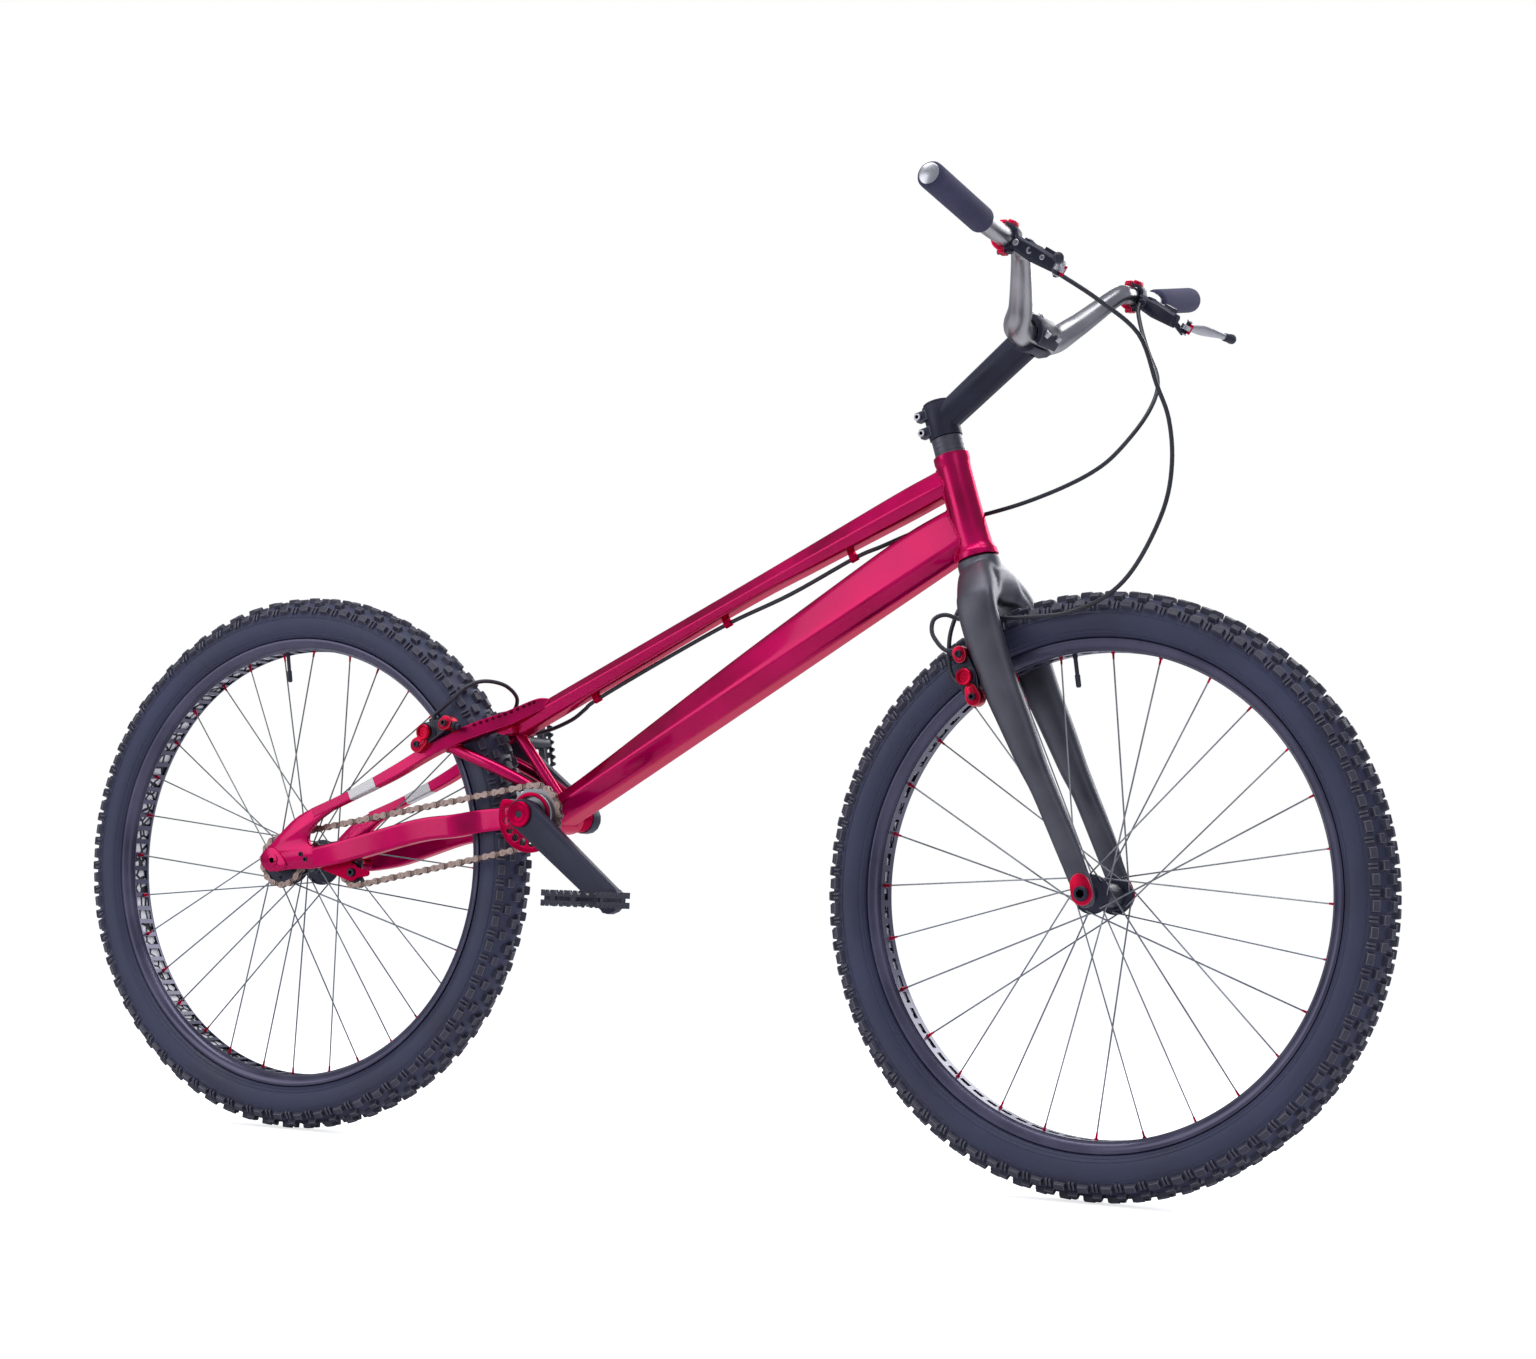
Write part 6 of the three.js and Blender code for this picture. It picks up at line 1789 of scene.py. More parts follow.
@dataclass(frozen=True)
class RimBrake:
    """One rim brake's two cylinders, clamps and pads; places are in the middle plane."""

    name: str
    body: str
    middle: Vector
    lower: Vector
    upper: Vector
    away: Vector
    across: Vector
    cylinder: tuple[Place, ...] = (
        (0, -37.6), (9, -37.6), (11.5, -39.4), (11.5, -43), (10.8, -43.6), (10.8, -45), (11.5, -45.6),
        (11.5, -65.4), (10.6, -66.2), (0, -66.2),
    )
    knob: tuple[Place, ...] = (
        (0, -69.6), (2.4, -69.6), (3, -70.4), (5.8, -70.4), (6.6, -72.6), (8.6, -73), (9.5, -72),
        (9.5, -67.2), (8.8, -66.4), (0, -66.4),
    )
    # Way out and radius
    fitting: tuple[Place, ...] = ((6, 4.5), (9, 4.5), (9.2, 5.2), (13, 5.2), (13.2, 3.8), (18, 3.4))
    crossing: tuple[Place, ...] = ((9, 3.6), (12, 3.6), (12.2, 4.4), (14.4, 4.2))
    # Places along y, on the right side
    fitting_line: float = -61
    crossing_line: float = -46
    link_faces: Place = (-64, -53)
    clamp_faces: Place = (-68.2, -52.4)
    cap_faces: Place = (-69.6, -67.8)
    bolt_seat: float = -69.4

    def build(self) -> None:
        """Makes every piece of the brake."""
        self.make_cylinders()
        self.make_links()
        self.make_clamps()
        node = f"brake_pad_{self.name}_" + "{side}"
        pad = Form().take(node.format(side=Side.RIGHT.word)).soften(0.9, 2)
        pair(pad, f"{self.name}_pad", PAD_RUBBER, node, node)

    def make_cylinders(self) -> None:
        """The cylinders with their hose fittings and end knobs."""
        cylinder = Form().spin(self.cylinder, self.middle, steps=32)
        for at, y, way, rows in (
            (self.upper, self.fitting_line, self.away, self.fitting),
            (self.middle, self.crossing_line, self.across, self.crossing),
        ):
            mouth = Vector((at.x, y, at.z))
            cylinder.tube([mouth + way * out for out, _ in rows], [radius for _, radius in rows], 12)
        pair(cylinder, f"{self.name}_cylinder", BLACK_METAL, self.body, self.name + "_caliper_{side}")
        knob = Form().spin(self.knob, self.middle, steps=32)
        pair(knob, f"{self.name}_knob", RED_ANODISED, self.body, smooth=30)

    def make_links(self) -> None:
        """The plates that join the cylinder to its two clamps."""
        lower, middle, upper, thinner = 6.6, 12.4, 6.2, 0.4
        outer, inner = self.link_faces
        link = Form().plate(capsule(self.lower, self.middle, lower, middle), outer, inner)
        link.plate(capsule(self.middle, self.upper, middle, upper), outer + thinner, inner - thinner)
        pair(link.soften(0.6, 1, 30), f"{self.name}_link", BLACK_METAL, self.body)

    def make_clamps(self) -> None:
        """The clamps at the links' ends with their bolts."""
        run = (self.upper - self.lower).normalized()
        clamp, bolts = Form(), Form()
        for centre, out, reach, size in ((self.lower, -run, 8, 9.4), (self.upper, run, 3, 8.4)):
            clamp.plate(capsule(centre - out * reach, centre + out * 1.2, 7.4, size), *self.clamp_faces)
            cap = capsule(centre - out * (reach + 1), centre + out * 0.4, 3.2, 3.8)
            clamp.plate(cap, *self.cap_faces)
            bolts.bolt(Vector((centre.x, self.bolt_seat, centre.z)), -Y_AXIS, 4.2, 2.6)
        pair(clamp.soften(1.0, 2, 30), f"{self.name}_clamp", RED_ANODISED, self.body)
        pair(bolts, f"{self.name}_bolts", BLACK_METAL, self.body)


# Drive


@dataclass(frozen=True)
class Circle:
    """A wheel that the chain passes: its middle, teeth and the sense in which it is passed."""

    x: float
    z: float
    teeth: int
    sense: int

    @property
    def radius(self) -> float:
        """The radius on which the chain's pins lie."""
        return LAYOUT.chain_pitch / 2 / math.sin(math.pi / self.teeth)

    def at(self, turn: float) -> tuple[Vector, Vector]:
        """A pin's place at a turn about the wheel, and the way out from the chain's run."""
        out = Vector((math.cos(turn), 0, math.sin(turn)))
        return Vector((self.x, 0, self.z)) + out * self.radius, out * self.sense


@dataclass(frozen=True)
class Drive:
    """Chain, toothed wheels, cranks, bash ring, pedals and tensioner."""

    circles: tuple[Circle, ...] = (
        Circle(0, 0, 18, 1),
        Circle(LAYOUT.rear_axle[0], LAYOUT.rear_axle[2], 15, 1),
        Circle(LAYOUT.guide_pulley[0], LAYOUT.guide_pulley[2], 8, -1),
        Circle(LAYOUT.tension_pulley[0], LAYOUT.tension_pulley[2], 8, 1),
    )
    plate_half: float = 4.1
    plate_thickness: float = 0.95
    inner_half: float = 1.7
    outer_half: float = 2.75
    roller: float = 3.9
    # Half of a link plate's outline: way along in pitches, then a share of the plate's half height
    plate_outline: tuple[Place, ...] = (
        (-0.8, 0), (-0.7, 0.72), (-0.5, 1), (-0.27, 0.86), (0, 0.5), (0.27, 0.86), (0.5, 1), (0.7, 0.72),
    )
    # One tooth: share of its period, way out from the pins' circle
    tooth: tuple[Place, ...] = (
        (-0.22, -3.4), (0, -4.1), (0.22, -3.4), (0.4, 1.2), (0.46, 2.6), (0.54, 2.6), (0.6, 1.2),
    )
    guard_inner: float = 27.6
    guard_outer: float = 45.4
    crank_face: float = 93
    crank_flare: float = 0.3
    pedal_half: float = 35.4
    pedal_span: Place = (93.4, 188.8)
    pedal_tooth: float = 9.6
    # The spindle's body: way along and radius
    pedal_core: tuple[Place, ...] = ((93.2, 8.4), (94.4, 9.2), (110, 8), (150, 7.4), (184, 8.2), (185.4, 6.6))
    left_pedal_turn: float = math.radians(80)
    arm_face: float = 53.8
    axle_half: float = 65
    axle_cap: float = 67.2

    def run_pieces(self) -> list[tuple[str, float, Callable[[float], tuple[Vector, Vector]]]]:
        """The chain's run as arcs and straights.

        Returns:
            For each, what it is, its length and a function from the way along it to a place and the
            way out.
        """
        circles, headings = self.circles, []
        for a, b in zip(circles, circles[1:] + circles[:1]):
            distance = math.hypot(b.x - a.x, b.z - a.z)
            lean = math.asin((a.sense * a.radius - b.sense * b.radius) / distance)
            headings.append(math.atan2(b.z - a.z, b.x - a.x) + lean)
        pieces = []
        for i, (a, b) in enumerate(zip(circles, circles[1:] + circles[:1])):
            arrival, heading = headings[i - 1], headings[i]
            sweep = (a.sense * (heading - arrival)) % FULL_TURN
            start = arrival - a.sense * math.pi / 2
            pieces.append((
                f"wheel_{i}", sweep * a.radius, lambda s, a=a, t=start: a.at(t + a.sense * s / a.radius)
            ))
            leave, out = a.at(heading - a.sense * math.pi / 2)
            meet, _ = b.at(heading - b.sense * math.pi / 2)
            length = (meet - leave).length
            pieces.append((
                f"straight_{i}", length, lambda s, p=leave, q=meet, n=out, d=length: (p.lerp(q, s / d), n)
            ))
        return pieces

    def links(self) -> list[tuple[str, Vector, Vector]]:
        """The chain's pins in order.

        Returns:
            For each, the piece of the run that it is on, its place and the way out.
        """
        pieces = self.run_pieces()
        total = sum(length for _, length, _ in pieces)
        count = 2 * round(total / LAYOUT.chain_pitch / 2)
        pins, index, passed = [], 0, 0.0
        for i in range(count):
            way = i * total / count
            while way > passed + pieces[index][1]:
                passed += pieces[index][1]
                index += 1
            place, out = pieces[index][2](way - passed)
            pins.append((pieces[index][0], place - Y_AXIS * LAYOUT.chain_line, out))
        return pins

    def build(self) -> None:
        """Makes every piece of the drive."""
        self.make_chain()
        self.make_toothed_wheels()
        self.make_cranks()
        self.make_pedals()
        self.make_tensioner()
        self.make_rear_axle()

    def make_chain(self) -> None:
        """Link plates and rollers, in three lots: on the frame, bending, and on the tensioner."""
        pins = self.links()
        lots = {name: (Form(), Form()) for name in ("frame", "bend", "tensioner")}
        places = {"straight_2": "tensioner", "wheel_3": "tensioner", "straight_3": "bend"}
        outline = [*self.plate_outline, *((-t, -h) for t, h in self.plate_outline)]
        for i, (where, a, out) in enumerate(pins):
            b = pins[(i + 1) % len(pins)][1]
            form, rollers = lots[places.get(where, "frame")]
            run = (b - a).normalized() * LAYOUT.chain_pitch
            outer = i % 2 == 0
            for sign in (-1, 1):
                y = sign * (self.outer_half if outer else self.inner_half)
                rings = []
                for offset in (-self.plate_thickness / 2, self.plate_thickness / 2):
                    middle = (a + b) / 2 + Y_AXIS * (y + offset)
                    rings.append([middle + run * t + out * (h * self.plate_half) for t, h in outline])
                (form if outer else rollers).loft(rings)
            form.tube([a - Y_AXIS * 3.7, a + Y_AXIS * 3.7], 1.6, 8)
            rollers.tube([a - Y_AXIS * 1.2, a + Y_AXIS * 1.2], self.roller, 12)
        ends = [place for where, place, _ in pins if where == "straight_3"]
        for kind, name, finish, stands_for in (
            (0, "chain_links", CHAIN_STEEL, ["chain"]), (1, "chain_rollers", CHAIN_ROLLER, []),
        ):
            lots["frame"][kind].finish(name, finish, "frame", stands_for, smooth=30)
            lots["tensioner"][kind].finish(f"{name}_tensioned", finish, "tensioner", smooth=30)
            bend = lots["bend"][kind].finish(f"{name}_lower", finish, "", smooth=30)
            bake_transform(bend, "frame", "tensioner", start=ends[-1] * MM, end=ends[0] * MM)
        log.info("chain of %d links", len(pins))

    def toothed(
        self, circle: Circle, bore: float, thickness: float, holes: int = 0, hole: float = 0, reach: float = 0
    ) -> Form:
        """A toothed disc whose teeth stand between the chain's rollers.

        Args:
            circle: The wheel.
            bore: Radius of its middle hole.
            thickness: Its thickness.
            holes: How many round holes it has.
            hole: Their radius.
            reach: Radius of the circle that they lie on.

        Returns:
            The disc.
        """
        centre = Vector((circle.x, 0, circle.z))
        near = min(self.links(), key=lambda pin: abs((pin[1] - centre).xz.length - circle.radius))[1] - centre

        def at(radius: float, turn: float) -> tuple[float, float]:
            """A place about the disc's middle, in x and z."""
            return centre.x + radius * math.cos(turn), centre.z + radius * math.sin(turn)

        first, period = math.atan2(near.z, near.x), FULL_TURN / circle.teeth
        outline = [
            at(circle.radius + drop, first + FULL_TURN * i / circle.teeth + share * period)
            for i in range(circle.teeth)
            for share, drop in self.tooth
        ]
        rings = [[(centre.x + bore * c, centre.z + bore * s) for c, s in round_shares(24)]]
        for i in range(holes):
            x, z = at(reach, FULL_TURN * (i + 0.5) / holes)
            rings.append([(x + hole * c, z + hole * s) for c, s in round_shares(14)])
        half = thickness / 2
        return Form().plate(outline, -LAYOUT.chain_line - half, -LAYOUT.chain_line + half, rings)

    def make_toothed_wheels(self) -> None:
        """Freewheel, rear cog and the two pulleys."""
        free, cog, guide, tension = self.circles
        wheel = self.toothed(free, 15.6, 2.2)
        ring = [(15.6, -49.6), (26, -49.6), (27, -48.6), (27, -42.6), (26, -42), (15.6, -42), (15.6, -49.6)]
        wheel.spin(ring, (0, 0, 0), steps=40)
        wheel.finish("freewheel", SPOKE_STEEL, "sprocket", ["sprocket"])
        disc = self.toothed(cog, 12.4, 2.2, holes=6, hole=3.2, reach=20).soften(0.2, 1)
        disc.finish("rear_cog_disc", BLACK_METAL, "rear_wheel", ["rear_cog"])
        for circle, body in ((guide, "guide_pulley"), (tension, "tension_pulley")):
            pulley = self.toothed(circle, 4.4, 2.3)
            hub = [(4.4, -49), (8, -49), (8, -43), (4.4, -43), (4.4, -49)]
            pulley.spin(hub, (circle.x, 0, circle.z), steps=32)
            pulley.finish(f"{body}_wheel", BLACK_PLASTIC, body, [body])

    def make_cranks(self) -> None:
        """Cranks, their washers and bolts, the bash guard and the axle."""
        for side in Side:
            node = f"crank_{side.word}"
            self.widened(Form().take(node), side).soften(1.4, 3, 42).finish(
                f"{node}_arm", CRANK_BLACK, "cranks", [node], smooth=46
            )
        washers, bolts = Form(), Form()
        for sign in (-1, 1):
            rows = [
                (4.2, 80), (5, 81), (9, 81.4), (10, 80.6), (14.4, 81), (15.8, 79.8), (15.8, 76), (4.2, 76),
                (4.2, 80),
            ]
            washers.spin([(r, sign * y) for r, y in rows], (0, 0, 0), steps=48)
            bolts.tube([Y_AXIS * (sign * 72), Y_AXIS * (sign * 78)], 4.4, 6)
        washers.finish("crank_washers", DEEP_RED, "cranks", smooth=30)
        bolts.finish("crank_bolts", BLACK_METAL, "cranks")
        self.make_guard()
        machined("crank_axle", "crank_spindle", BLACK_METAL, "cranks", 0.5, 1)

    def make_guard(self) -> None:
        """The bash guard, wider over part of its turn, with an open middle and round holes."""
        middle, spread, ease = math.radians(225), math.radians(84), math.radians(18)
        holes = [[(22.6 * c, 22.6 * s) for c, s in round_shares(36)]]
        for i in range(6):
            turn = math.radians(172 + 21 * i)
            x, z = 34 * math.cos(turn), 34 * math.sin(turn)
            holes.append([(x + 4.6 * c, z + 4.6 * s) for c, s in round_shares(16)])
        outline = []
        for c, s in round_shares(120):
            gap = abs((math.atan2(s, c) - middle + math.pi) % FULL_TURN - math.pi)
            share = min(1.0, max(0.0, (spread - gap) / ease))
            rise = share * share * (3 - 2 * share)
            radius = self.guard_inner + (self.guard_outer - self.guard_inner) * rise
            outline.append((radius * c, radius * s))
        guard = Form().plate(outline, -55.4, -52.6, holes).soften(0.7, 2, 30)
        guard.finish("bash_guard", DEEP_RED, "cranks", ["bash_ring"])

    def widened(self, form: Form, side: Side) -> Form:
        """Makes a crank's rear edge wider towards the pedal.

        Args:
            form: The crank's mesh.
            side: Its side.

        Returns:
            The form itself.
        """
        way = LAYOUT.crank_way * -side.value
        across = Vector((way.z, 0, -way.x))
        for vert in form.mesh.verts:
            aside = vert.co.dot(across)
            share = min(1.0, max(0.0, vert.co.dot(way) / LAYOUT.crank_length))
            if abs(vert.co.y) < self.crank_face:
                vert.co += across * (max(0.0, aside) * self.crank_flare * share)
        return form

    def make_pedals(self) -> None:
        """Pedals with two toothed cages, one above the other, round an axle body."""
        for side in Side:
            node = f"pedal_{side.word}"
            cage, core = Form(), Form()
            for face in (-1, 1):
                self.add_cage(cage, face)
            for form, out, ways, size in (
                (cage, 35, (118, 164), (3, 7, 10)), (cage, 14, (188, 94.6), (7, 3, 10)),
                (core, 20, (112, 150, 174), (29, 4.4, 9)),
            ):
                for place in (Vector((sign * out, y, 0)) for sign in (-1, 1) for y in ways):
                    form.block(place, size)
            core.tube([Vector((0, y, 0)) for y, _ in self.pedal_core], [r for _, r in self.pedal_core], 24)
            core.soften(0.6, 1, 40)
            axle = LAYOUT.crank_way * LAYOUT.crank_length * -side.value
            turn = Matrix.Rotation(self.left_pedal_turn if side is Side.LEFT else 0, 4, "Y")
            place = Matrix.Translation(axle) @ turn @ Matrix.Diagonal((1, side.value, 1, 1))
            for form, name, stands_for in ((cage, "cage", [node]), (core, "core", [])):
                bmesh.ops.transform(form.mesh, matrix=place, verts=form.mesh.verts)
                form.finish(f"{node}_{name}", BLACK_PLASTIC, node, stands_for, smooth=40)

    def add_cage(self, form: Form, face: int) -> None:
        """One toothed band round a pedal.

        Args:
            form: The form that takes it in.
            face: 1 for the upper band, -1 for the lower one.
        """
        half, (near, far), cut, thick = self.pedal_half, self.pedal_span, 10, 1.5
        corners = [
            (half, near + cut), (half, far - cut), (half - cut, far), (cut - half, far), (-half, far - cut),
            (-half, near + cut), (cut - half, near), (half - cut, near), (half, near + cut),
        ]
        line = [Vector((x, y, 0)) for x, y in corners]
        length = sum((b - a).length for a, b in zip(line, line[1:]))
        count = 4 * round(length / self.pedal_tooth)
        rings, passed, index = [], 0.0, 0
        for i in range(count):
            way = length * i / count
            while way > passed + (line[index + 1] - line[index]).length:
                passed += (line[index + 1] - line[index]).length
                index += 1
            run = (line[index + 1] - line[index]).normalized()
            at = line[index] + run * (way - passed)
            out = run.cross(Z_AXIS)
            low, top = 2.2, 9.4 if i % 4 in (0, 1) else 5
            corners = ((-thick, low), (thick, low), (thick, top), (-thick, top))
            rings.append([at + out * w + Z_AXIS * (face * h) for w, h in corners])
        form.loft(rings, closed=True)

    def make_tensioner(self) -> None:
        """The tensioner's arm, its spring housing and bolts."""
        guide, tension = Vector(LAYOUT.guide_pulley), Vector(LAYOUT.tension_pulley)
        machined("tensioner_arm", "tensioner_plate", DEEP_RED, "tensioner", 0.5)
        bolts = Form()
        bolts.bolt(guide - Y_AXIS * self.arm_face, -Y_AXIS, 6.4, 3, 0.5)
        bolts.bolt(tension - Y_AXIS * self.arm_face, -Y_AXIS, 5.4, 2.6, 0.5)
        bolts.finish("tensioner_bolts", BLACK_METAL, "tensioner")
        housing = [
            (4.4, -39.8), (11, -39.8), (12, -38.8), (12, -28.6), (11, -27.6), (4.4, -27.6), (4.4, -39.8),
        ]
        Form().spin(housing, guide, steps=36).finish("tensioner_spring", BLACK_PLASTIC, "frame", smooth=30)

    def make_rear_axle(self) -> None:
        """The rear axle's rod and the round heads at its ends, with a black plug low in each head's socket as
        painted shade in the hole.
        """
        rod, caps, socket_shade = Form(), Form(), Form()
        centre = Vector(LAYOUT.rear_axle)
        rod.tube([centre + Y_AXIS * y for y in (-self.axle_half, self.axle_half)], 5, 24)
        for out in (-Y_AXIS, Y_AXIS):
            at = centre + out * self.axle_cap
            caps.bolt(at, out, 8.4, 1.2, 0.44)
            # A black plug low in the head's socket: painted shade in the hole, not a part of its own.
            socket_shade.tube([at - out, at + out * 0.7], 3.8, 6)
        rod.finish("rear_axle_rod", BLACK_METAL, "frame", ["rear_axle"], smooth=44)
        caps.finish("rear_axle_caps", CANDY_RED, "frame")
        socket_shade.finish("rear_axle_sockets", BLACK_METAL, "frame")


# Hoses


@dataclass(frozen=True)
class Hoses:
    """The brake hoses, all held at both ends."""

    radius: float = 2.5
    front: tuple[Place, ...] = (
        (678.9, -155.8, 622.6), (684, -149, 617), (709.5, -138, 600), (746.6, -118, 574), (780.5, -85, 541),
        (792.7, -60, 490.6), (803, -46, 453), (806, -40, 405), (797, -38, 355), (768, -38, 296),
        (735, -38, 262), (689, -38, 243), (645, -38.5, 238), (592, -39.5, 236), (560, -41, 235),
        (541, -45, 240), (530, -52, 234), (531.5, -58.5, 219), (541, -60.5, 206), (549, -61, 199.5),
        (555, -61, 197.4),
    )
    stretch: tuple[Place, ...] = (
        (678.9, 155.8, 622.6), (680, 149, 612), (690, 138, 588), (707.6, 120, 556.8), (726, 102, 528),
        (731.4, 88, 503), (724, 70, 471), (702, 52, 434), (680, 44, 413), (645, 38, 394), (597, 34, 376),
        (552, 32, 364), (524, 30, 358), (506, 28, 354.5),
    )
    rear: tuple[Place, ...] = (
        (505.2, 27.9, 354.3), (485, 25, 349), (462, 15, 340), (430, 6, 325), (396, 4, 311.5), (313, 4, 270),
        (230, 4, 235.5), (140, 4, 191), (51.7, 4, 144.5), (30, 10, 132), (10, 19, 122), (-12, 29, 115),
        (-35, 38, 109), (-62, 48, 104), (-86, 57, 102.5), (-104.5, 61, 104),
    )
    rear_crossover: tuple[Place, ...] = (
        (-154.9, -46, 112.8), (-154.5, -45, 119), (-146, -41.5, 128), (-136, -36, 139), (-126, -25, 154),
        (-117, -10, 163), (-106, 6, 165), (-94, 22, 160), (-88, 36, 147), (-98, 45, 132), (-120, 47.5, 127),
        (-146, 47, 122), (-154, 46.2, 118), (-154.9, 46, 112.8),
    )
    # In the steering's own axes
    front_crossover: tuple[Place, ...] = (
        (-37.2, -46, 270.7), (-44, -45, 273), (-49, -40, 292), (-46, -26, 328), (-36, -10, 356),
        (-34, 0, 360), (-36, 10, 356), (-46, 26, 328), (-49, 40, 292), (-44, 45, 273), (-37.2, 46, 270.7),
    )

    def hose(self, route: Sequence[Place], name: str, body: str, node: str) -> bpy.types.Object:
        """One hose along its route.

        Args:
            route: Places that it goes through.
            name: The piece's name.
            body: Its body, or an empty word where the caller blends it.
            node: The solid that it replaces.

        Returns:
            The hose.
        """
        line = flowing([Vector(p) for p in route], 6)
        return Form().tube(line, self.radius, 14).finish(name, HOSE_BLACK, body, [node], smooth=60)

    def build(self) -> None:
        """Makes the five hoses."""
        self.hose(self.front, "front_hose", "steering", "front_brake_hose")
        stretch = self.hose(self.stretch, "rear_hose_loop", "", "rear_hose_stretch")
        ends = Vector(self.stretch[-1]) * MM, Vector(self.stretch[0]) * MM
        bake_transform(stretch, "frame", "steering", start=ends[0], end=ends[1])
        self.hose(self.rear, "rear_hose", "frame", "rear_brake_hose")
        self.hose(self.rear_crossover, "rear_hose_bridge", "frame", "rear_crossover_hose")
        bridge = [LAYOUT.steered(*p) for p in self.front_crossover]
        self.hose(bridge, "front_hose_bridge", "steering", "front_crossover_hose")


# Studio


@dataclass(frozen=True)
class Studio:
    """Camera, lamps, world and floor."""

    camera_place: Place = (2111.7, -3231.8, -70.2)
    yaw: float = math.radians(29.414)
    pitch: float = math.radians(3.692)
    roll: float = math.radians(2.409)
    lens: float = 74.06
    sensor: float = 36
    lamp_target: Place = (0.2, 0, 0.1)
    # Name, place and two sizes in metres, power in watts
    lamps: tuple[tuple[str, Place, Place, float], ...] = (
        ("over", (0.3, -0.5, 2.7), (3.4, 1.2), 52),
        ("key", (-2.2, -2.9, 1.3), (1.9, 2.7), 31),
        ("fill", (3.0, -2.4, 0.8), (1.4, 2.4), 9),
        ("back", (0.6, 2.6, 1.4), (2.8, 1.2), 40),
    )
    world_colour: Colour = (0.84, 0.88, 1)
    world_strength: float = 0.45
    floor_colour: Colour = (0.8, 0.8, 0.82)
    floor_glow: float = 0.72
    floor_gap: float = 0.5
    floor_size: float = 60000

    def build(self) -> None:
        """Makes the whole studio."""
        self.make_camera()
        self.make_world()
        self.make_lamps()
        self.make_floor()
        bpy.context.scene.view_settings.view_transform = "Standard"

    def make_camera(self) -> None:
        """The camera at the photograph's viewing angle."""
        ahead = math.cos(self.pitch)
        forward = Vector((-math.sin(self.yaw) * ahead, math.cos(self.yaw) * ahead, math.sin(self.pitch)))
        right = Vector((math.cos(self.yaw), math.sin(self.yaw), 0))
        up = right.cross(forward)
        level, tilt = math.cos(self.roll), math.sin(self.roll)
        right, up = right * level + up * tilt, up * level - right * tilt
        data = bpy.data.cameras.new("camera")
        data.lens = self.lens
        data.sensor_width = self.sensor
        data.clip_end = 200
        camera = bpy.data.objects.new("camera", data)
        turn = Matrix((right, up, -forward)).transposed().to_4x4()
        camera.matrix_world = Matrix.Translation(Vector(self.camera_place) * MM) @ turn
        bpy.context.scene.collection.objects.link(camera)
        bpy.context.scene.camera = camera

    def make_world(self) -> None:
        """Soft light from all round, with a white backdrop for the camera and for rays passing through glass.
        """
        world = bpy.data.worlds.new("studio")
        bpy.context.scene.world = world
        world.use_nodes = True
        tree = world.node_tree
        tree.nodes.clear()
        rays = laid(tree, "LightPath", {}).outputs
        straight, clear = rays["Is Camera Ray"], rays["Is Transmission Ray"]
        seen = laid(tree, "Math", {0: straight, 1: clear}, operation="MAXIMUM")
        lit = laid(tree, "Background", {"Color": (*self.world_colour, 1), "Strength": self.world_strength})
        white = laid(tree, "Background", {"Color": (1, 1, 1, 1)})
        mix = laid(tree, "MixShader", {"Fac": seen.outputs[0], 1: lit.outputs[0], 2: white.outputs[0]})
        laid(tree, "OutputWorld", {"Surface": mix.outputs[0]})

    def make_lamps(self) -> None:
        """A wide lamp above, two tall ones on the bicycle's right and a wide one on its left."""
        for name, place, size, power in self.lamps:
            data = bpy.data.lights.new(name, "AREA")
            data.shape = "RECTANGLE"
            data.size, data.size_y = size
            data.energy = power
            lamp = bpy.data.objects.new(name, data)
            lamp.location = place
            beam = Vector(self.lamp_target) - Vector(place)
            lamp.rotation_euler = beam.to_track_quat("-Z", "Y").to_euler()
            bpy.context.scene.collection.objects.link(lamp)

    def make_floor(self) -> None:
        """A pale floor that turns white to the camera but keeps the bicycle's shadow."""
        form = Form()
        made = bmesh.ops.create_grid(form.mesh, x_segments=1, y_segments=1, size=self.floor_size)["verts"]
        bmesh.ops.translate(form.mesh, verts=made, vec=(0, 0, LAYOUT.ground - self.floor_gap))
        bmesh.ops.scale(form.mesh, vec=(MM,) * 3, verts=form.mesh.verts)
        data = bpy.data.meshes.new("floor")
        form.mesh.to_mesh(data)
        form.mesh.free()
        material = bpy.data.materials.new("floor")
        material.use_nodes = True
        tree = material.node_tree
        tree.nodes.clear()
        seen = laid(tree, "LightPath", {}).outputs["Is Camera Ray"]
        plain = laid(tree, "BsdfDiffuse", {"Color": (*self.floor_colour, 1)})
        glow, none = (laid(tree, "Emission", {"Strength": strength}) for strength in (self.floor_glow, 0))
        chosen = laid(tree, "MixShader", {"Fac": seen, 1: none.outputs[0], 2: glow.outputs[0]})
        both = laid(tree, "AddShader", {0: plain.outputs[0], 1: chosen.outputs[0]})
        laid(tree, "OutputMaterial", {"Surface": both.outputs[0]})
        data.materials.append(material)
        floor = bpy.data.objects.new("floor", data)
        bpy.context.scene.collection.objects.link(floor)


def rim_brakes() -> list[RimBrake]:
    """The front and rear brakes, placed from the axles.

    Returns:
        The two brakes.
    """
    wall = TyreSizes.rim_wall
    foot, axle = LAYOUT.steered(0, 0, 0), Vector(LAYOUT.rear_axle)
    front = [
        LAYOUT.steered(Fork.offset + x * wall, 0, z * wall)
        for x, z in ((-0.237, 0.951), (-0.2255, 0.8657), (-0.237, 1.0463))
    ]
    tilt = [LAYOUT.steered(x, 0, z) - foot for x, z in ((-0.86, 0.51), (-0.995, 0.0995))]
    rear = [
        axle + Vector((x * wall, 0, z * wall))
        for x, z in ((0.793, 0.5803), (0.7579, 0.5266), (0.896, 0.6223))
    ]
    return [
        RimBrake("front", "steering", *front, *tilt),
        RimBrake("rear", "frame", *rear, Vector((0.9656, 0, -0.2602)), Vector((-0.1961, 0, 0.9806))),
    ]


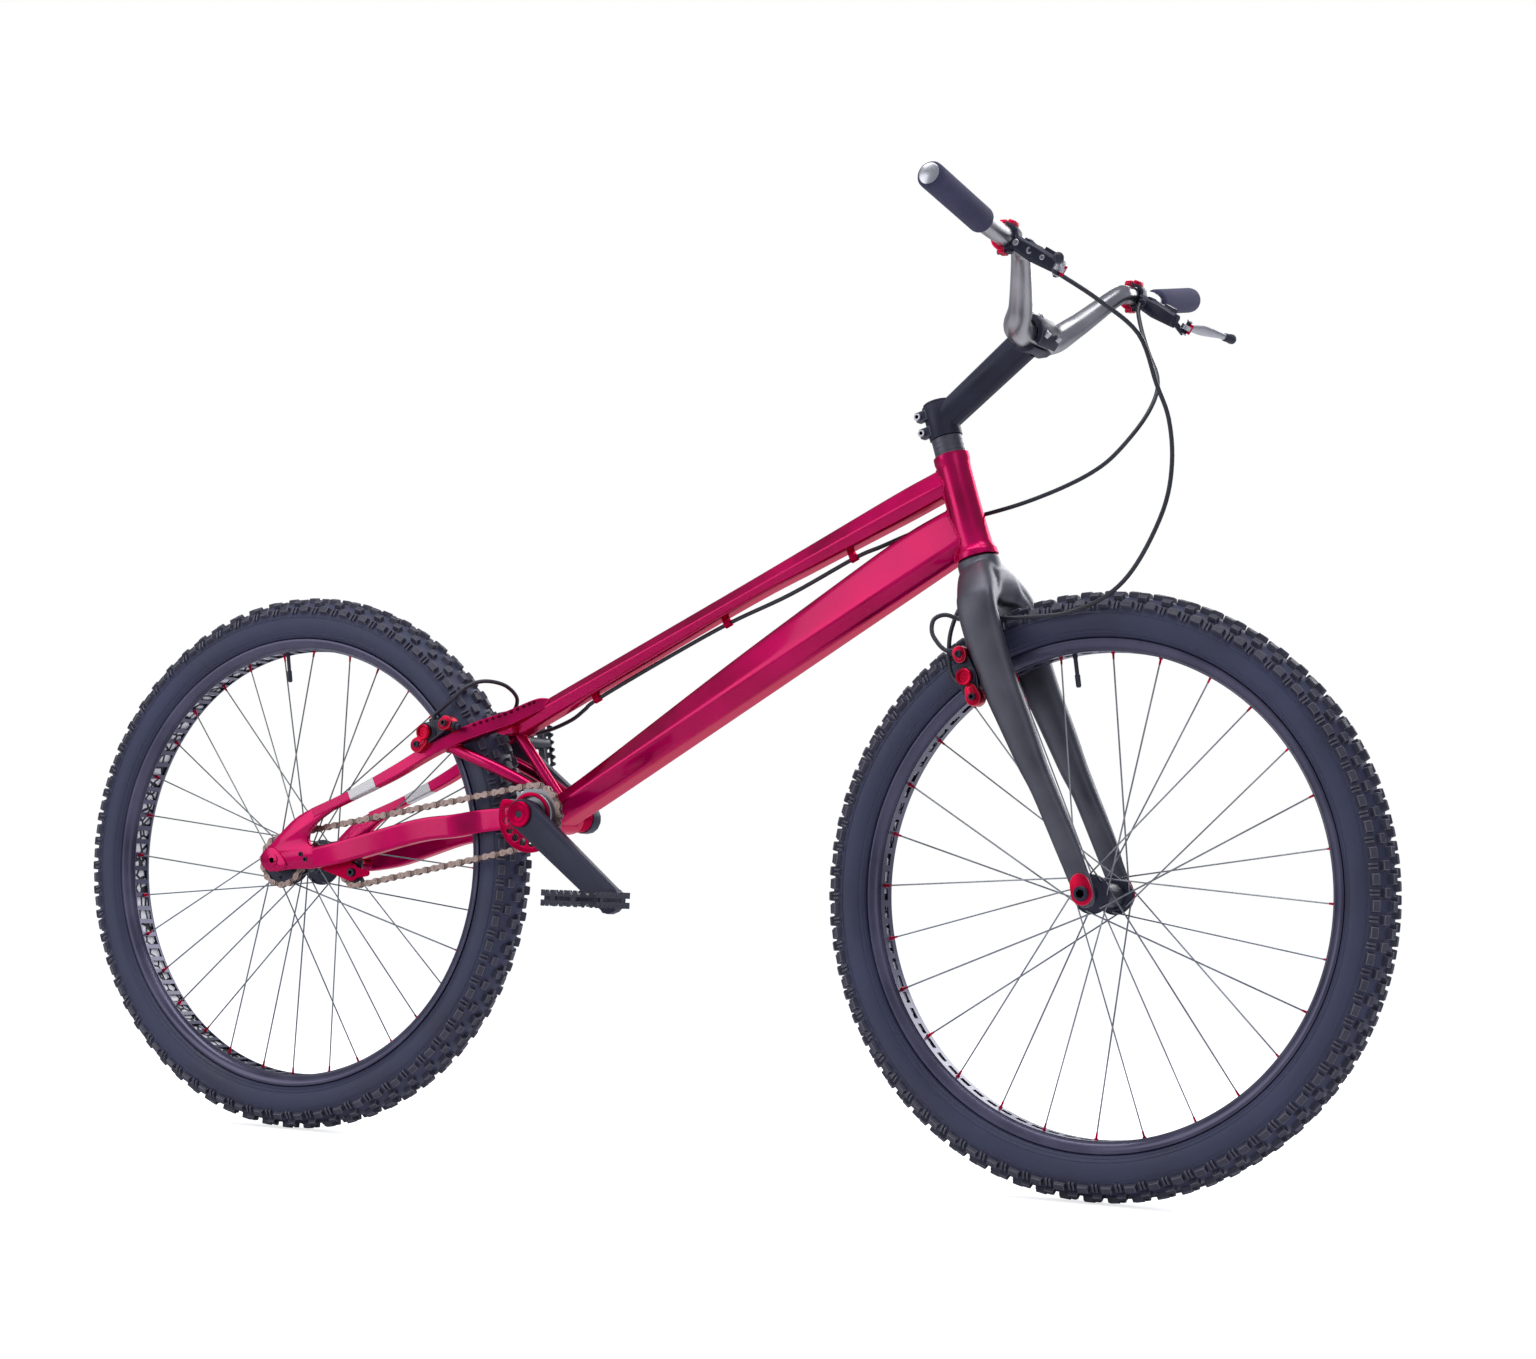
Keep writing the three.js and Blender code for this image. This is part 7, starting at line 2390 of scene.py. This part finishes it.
def main() -> None:
    """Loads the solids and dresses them."""
    logging.basicConfig(level=logging.INFO, format="%(message)s")
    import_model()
    Studio().build()
    Hoses().build()
    Wheel(
        "front", LAYOUT.front_axle, rim_width=42, spokes=28, crossing=math.radians(77),
        flanges=((-32, 22), (32, 22)), knobs=72, hub_half=50, spoke_finish=SPOKE_STEEL, windows=84,
        window_half=4.4,
    ).build()
    Wheel(
        "rear", LAYOUT.rear_axle, rim_width=47, spokes=32, crossing=math.radians(67),
        flanges=((-27, 29), (36, 29)), knobs=64, hub_half=58, spoke_finish=DARK_SPOKE, windows=96,
        window_half=11.4,
    ).build()
    FrameTubes().build()
    Fork().build()
    Cockpit().build()
    for brake in rim_brakes():
        brake.build()
    Drive().build()


if __name__ == "__main__":
    main()
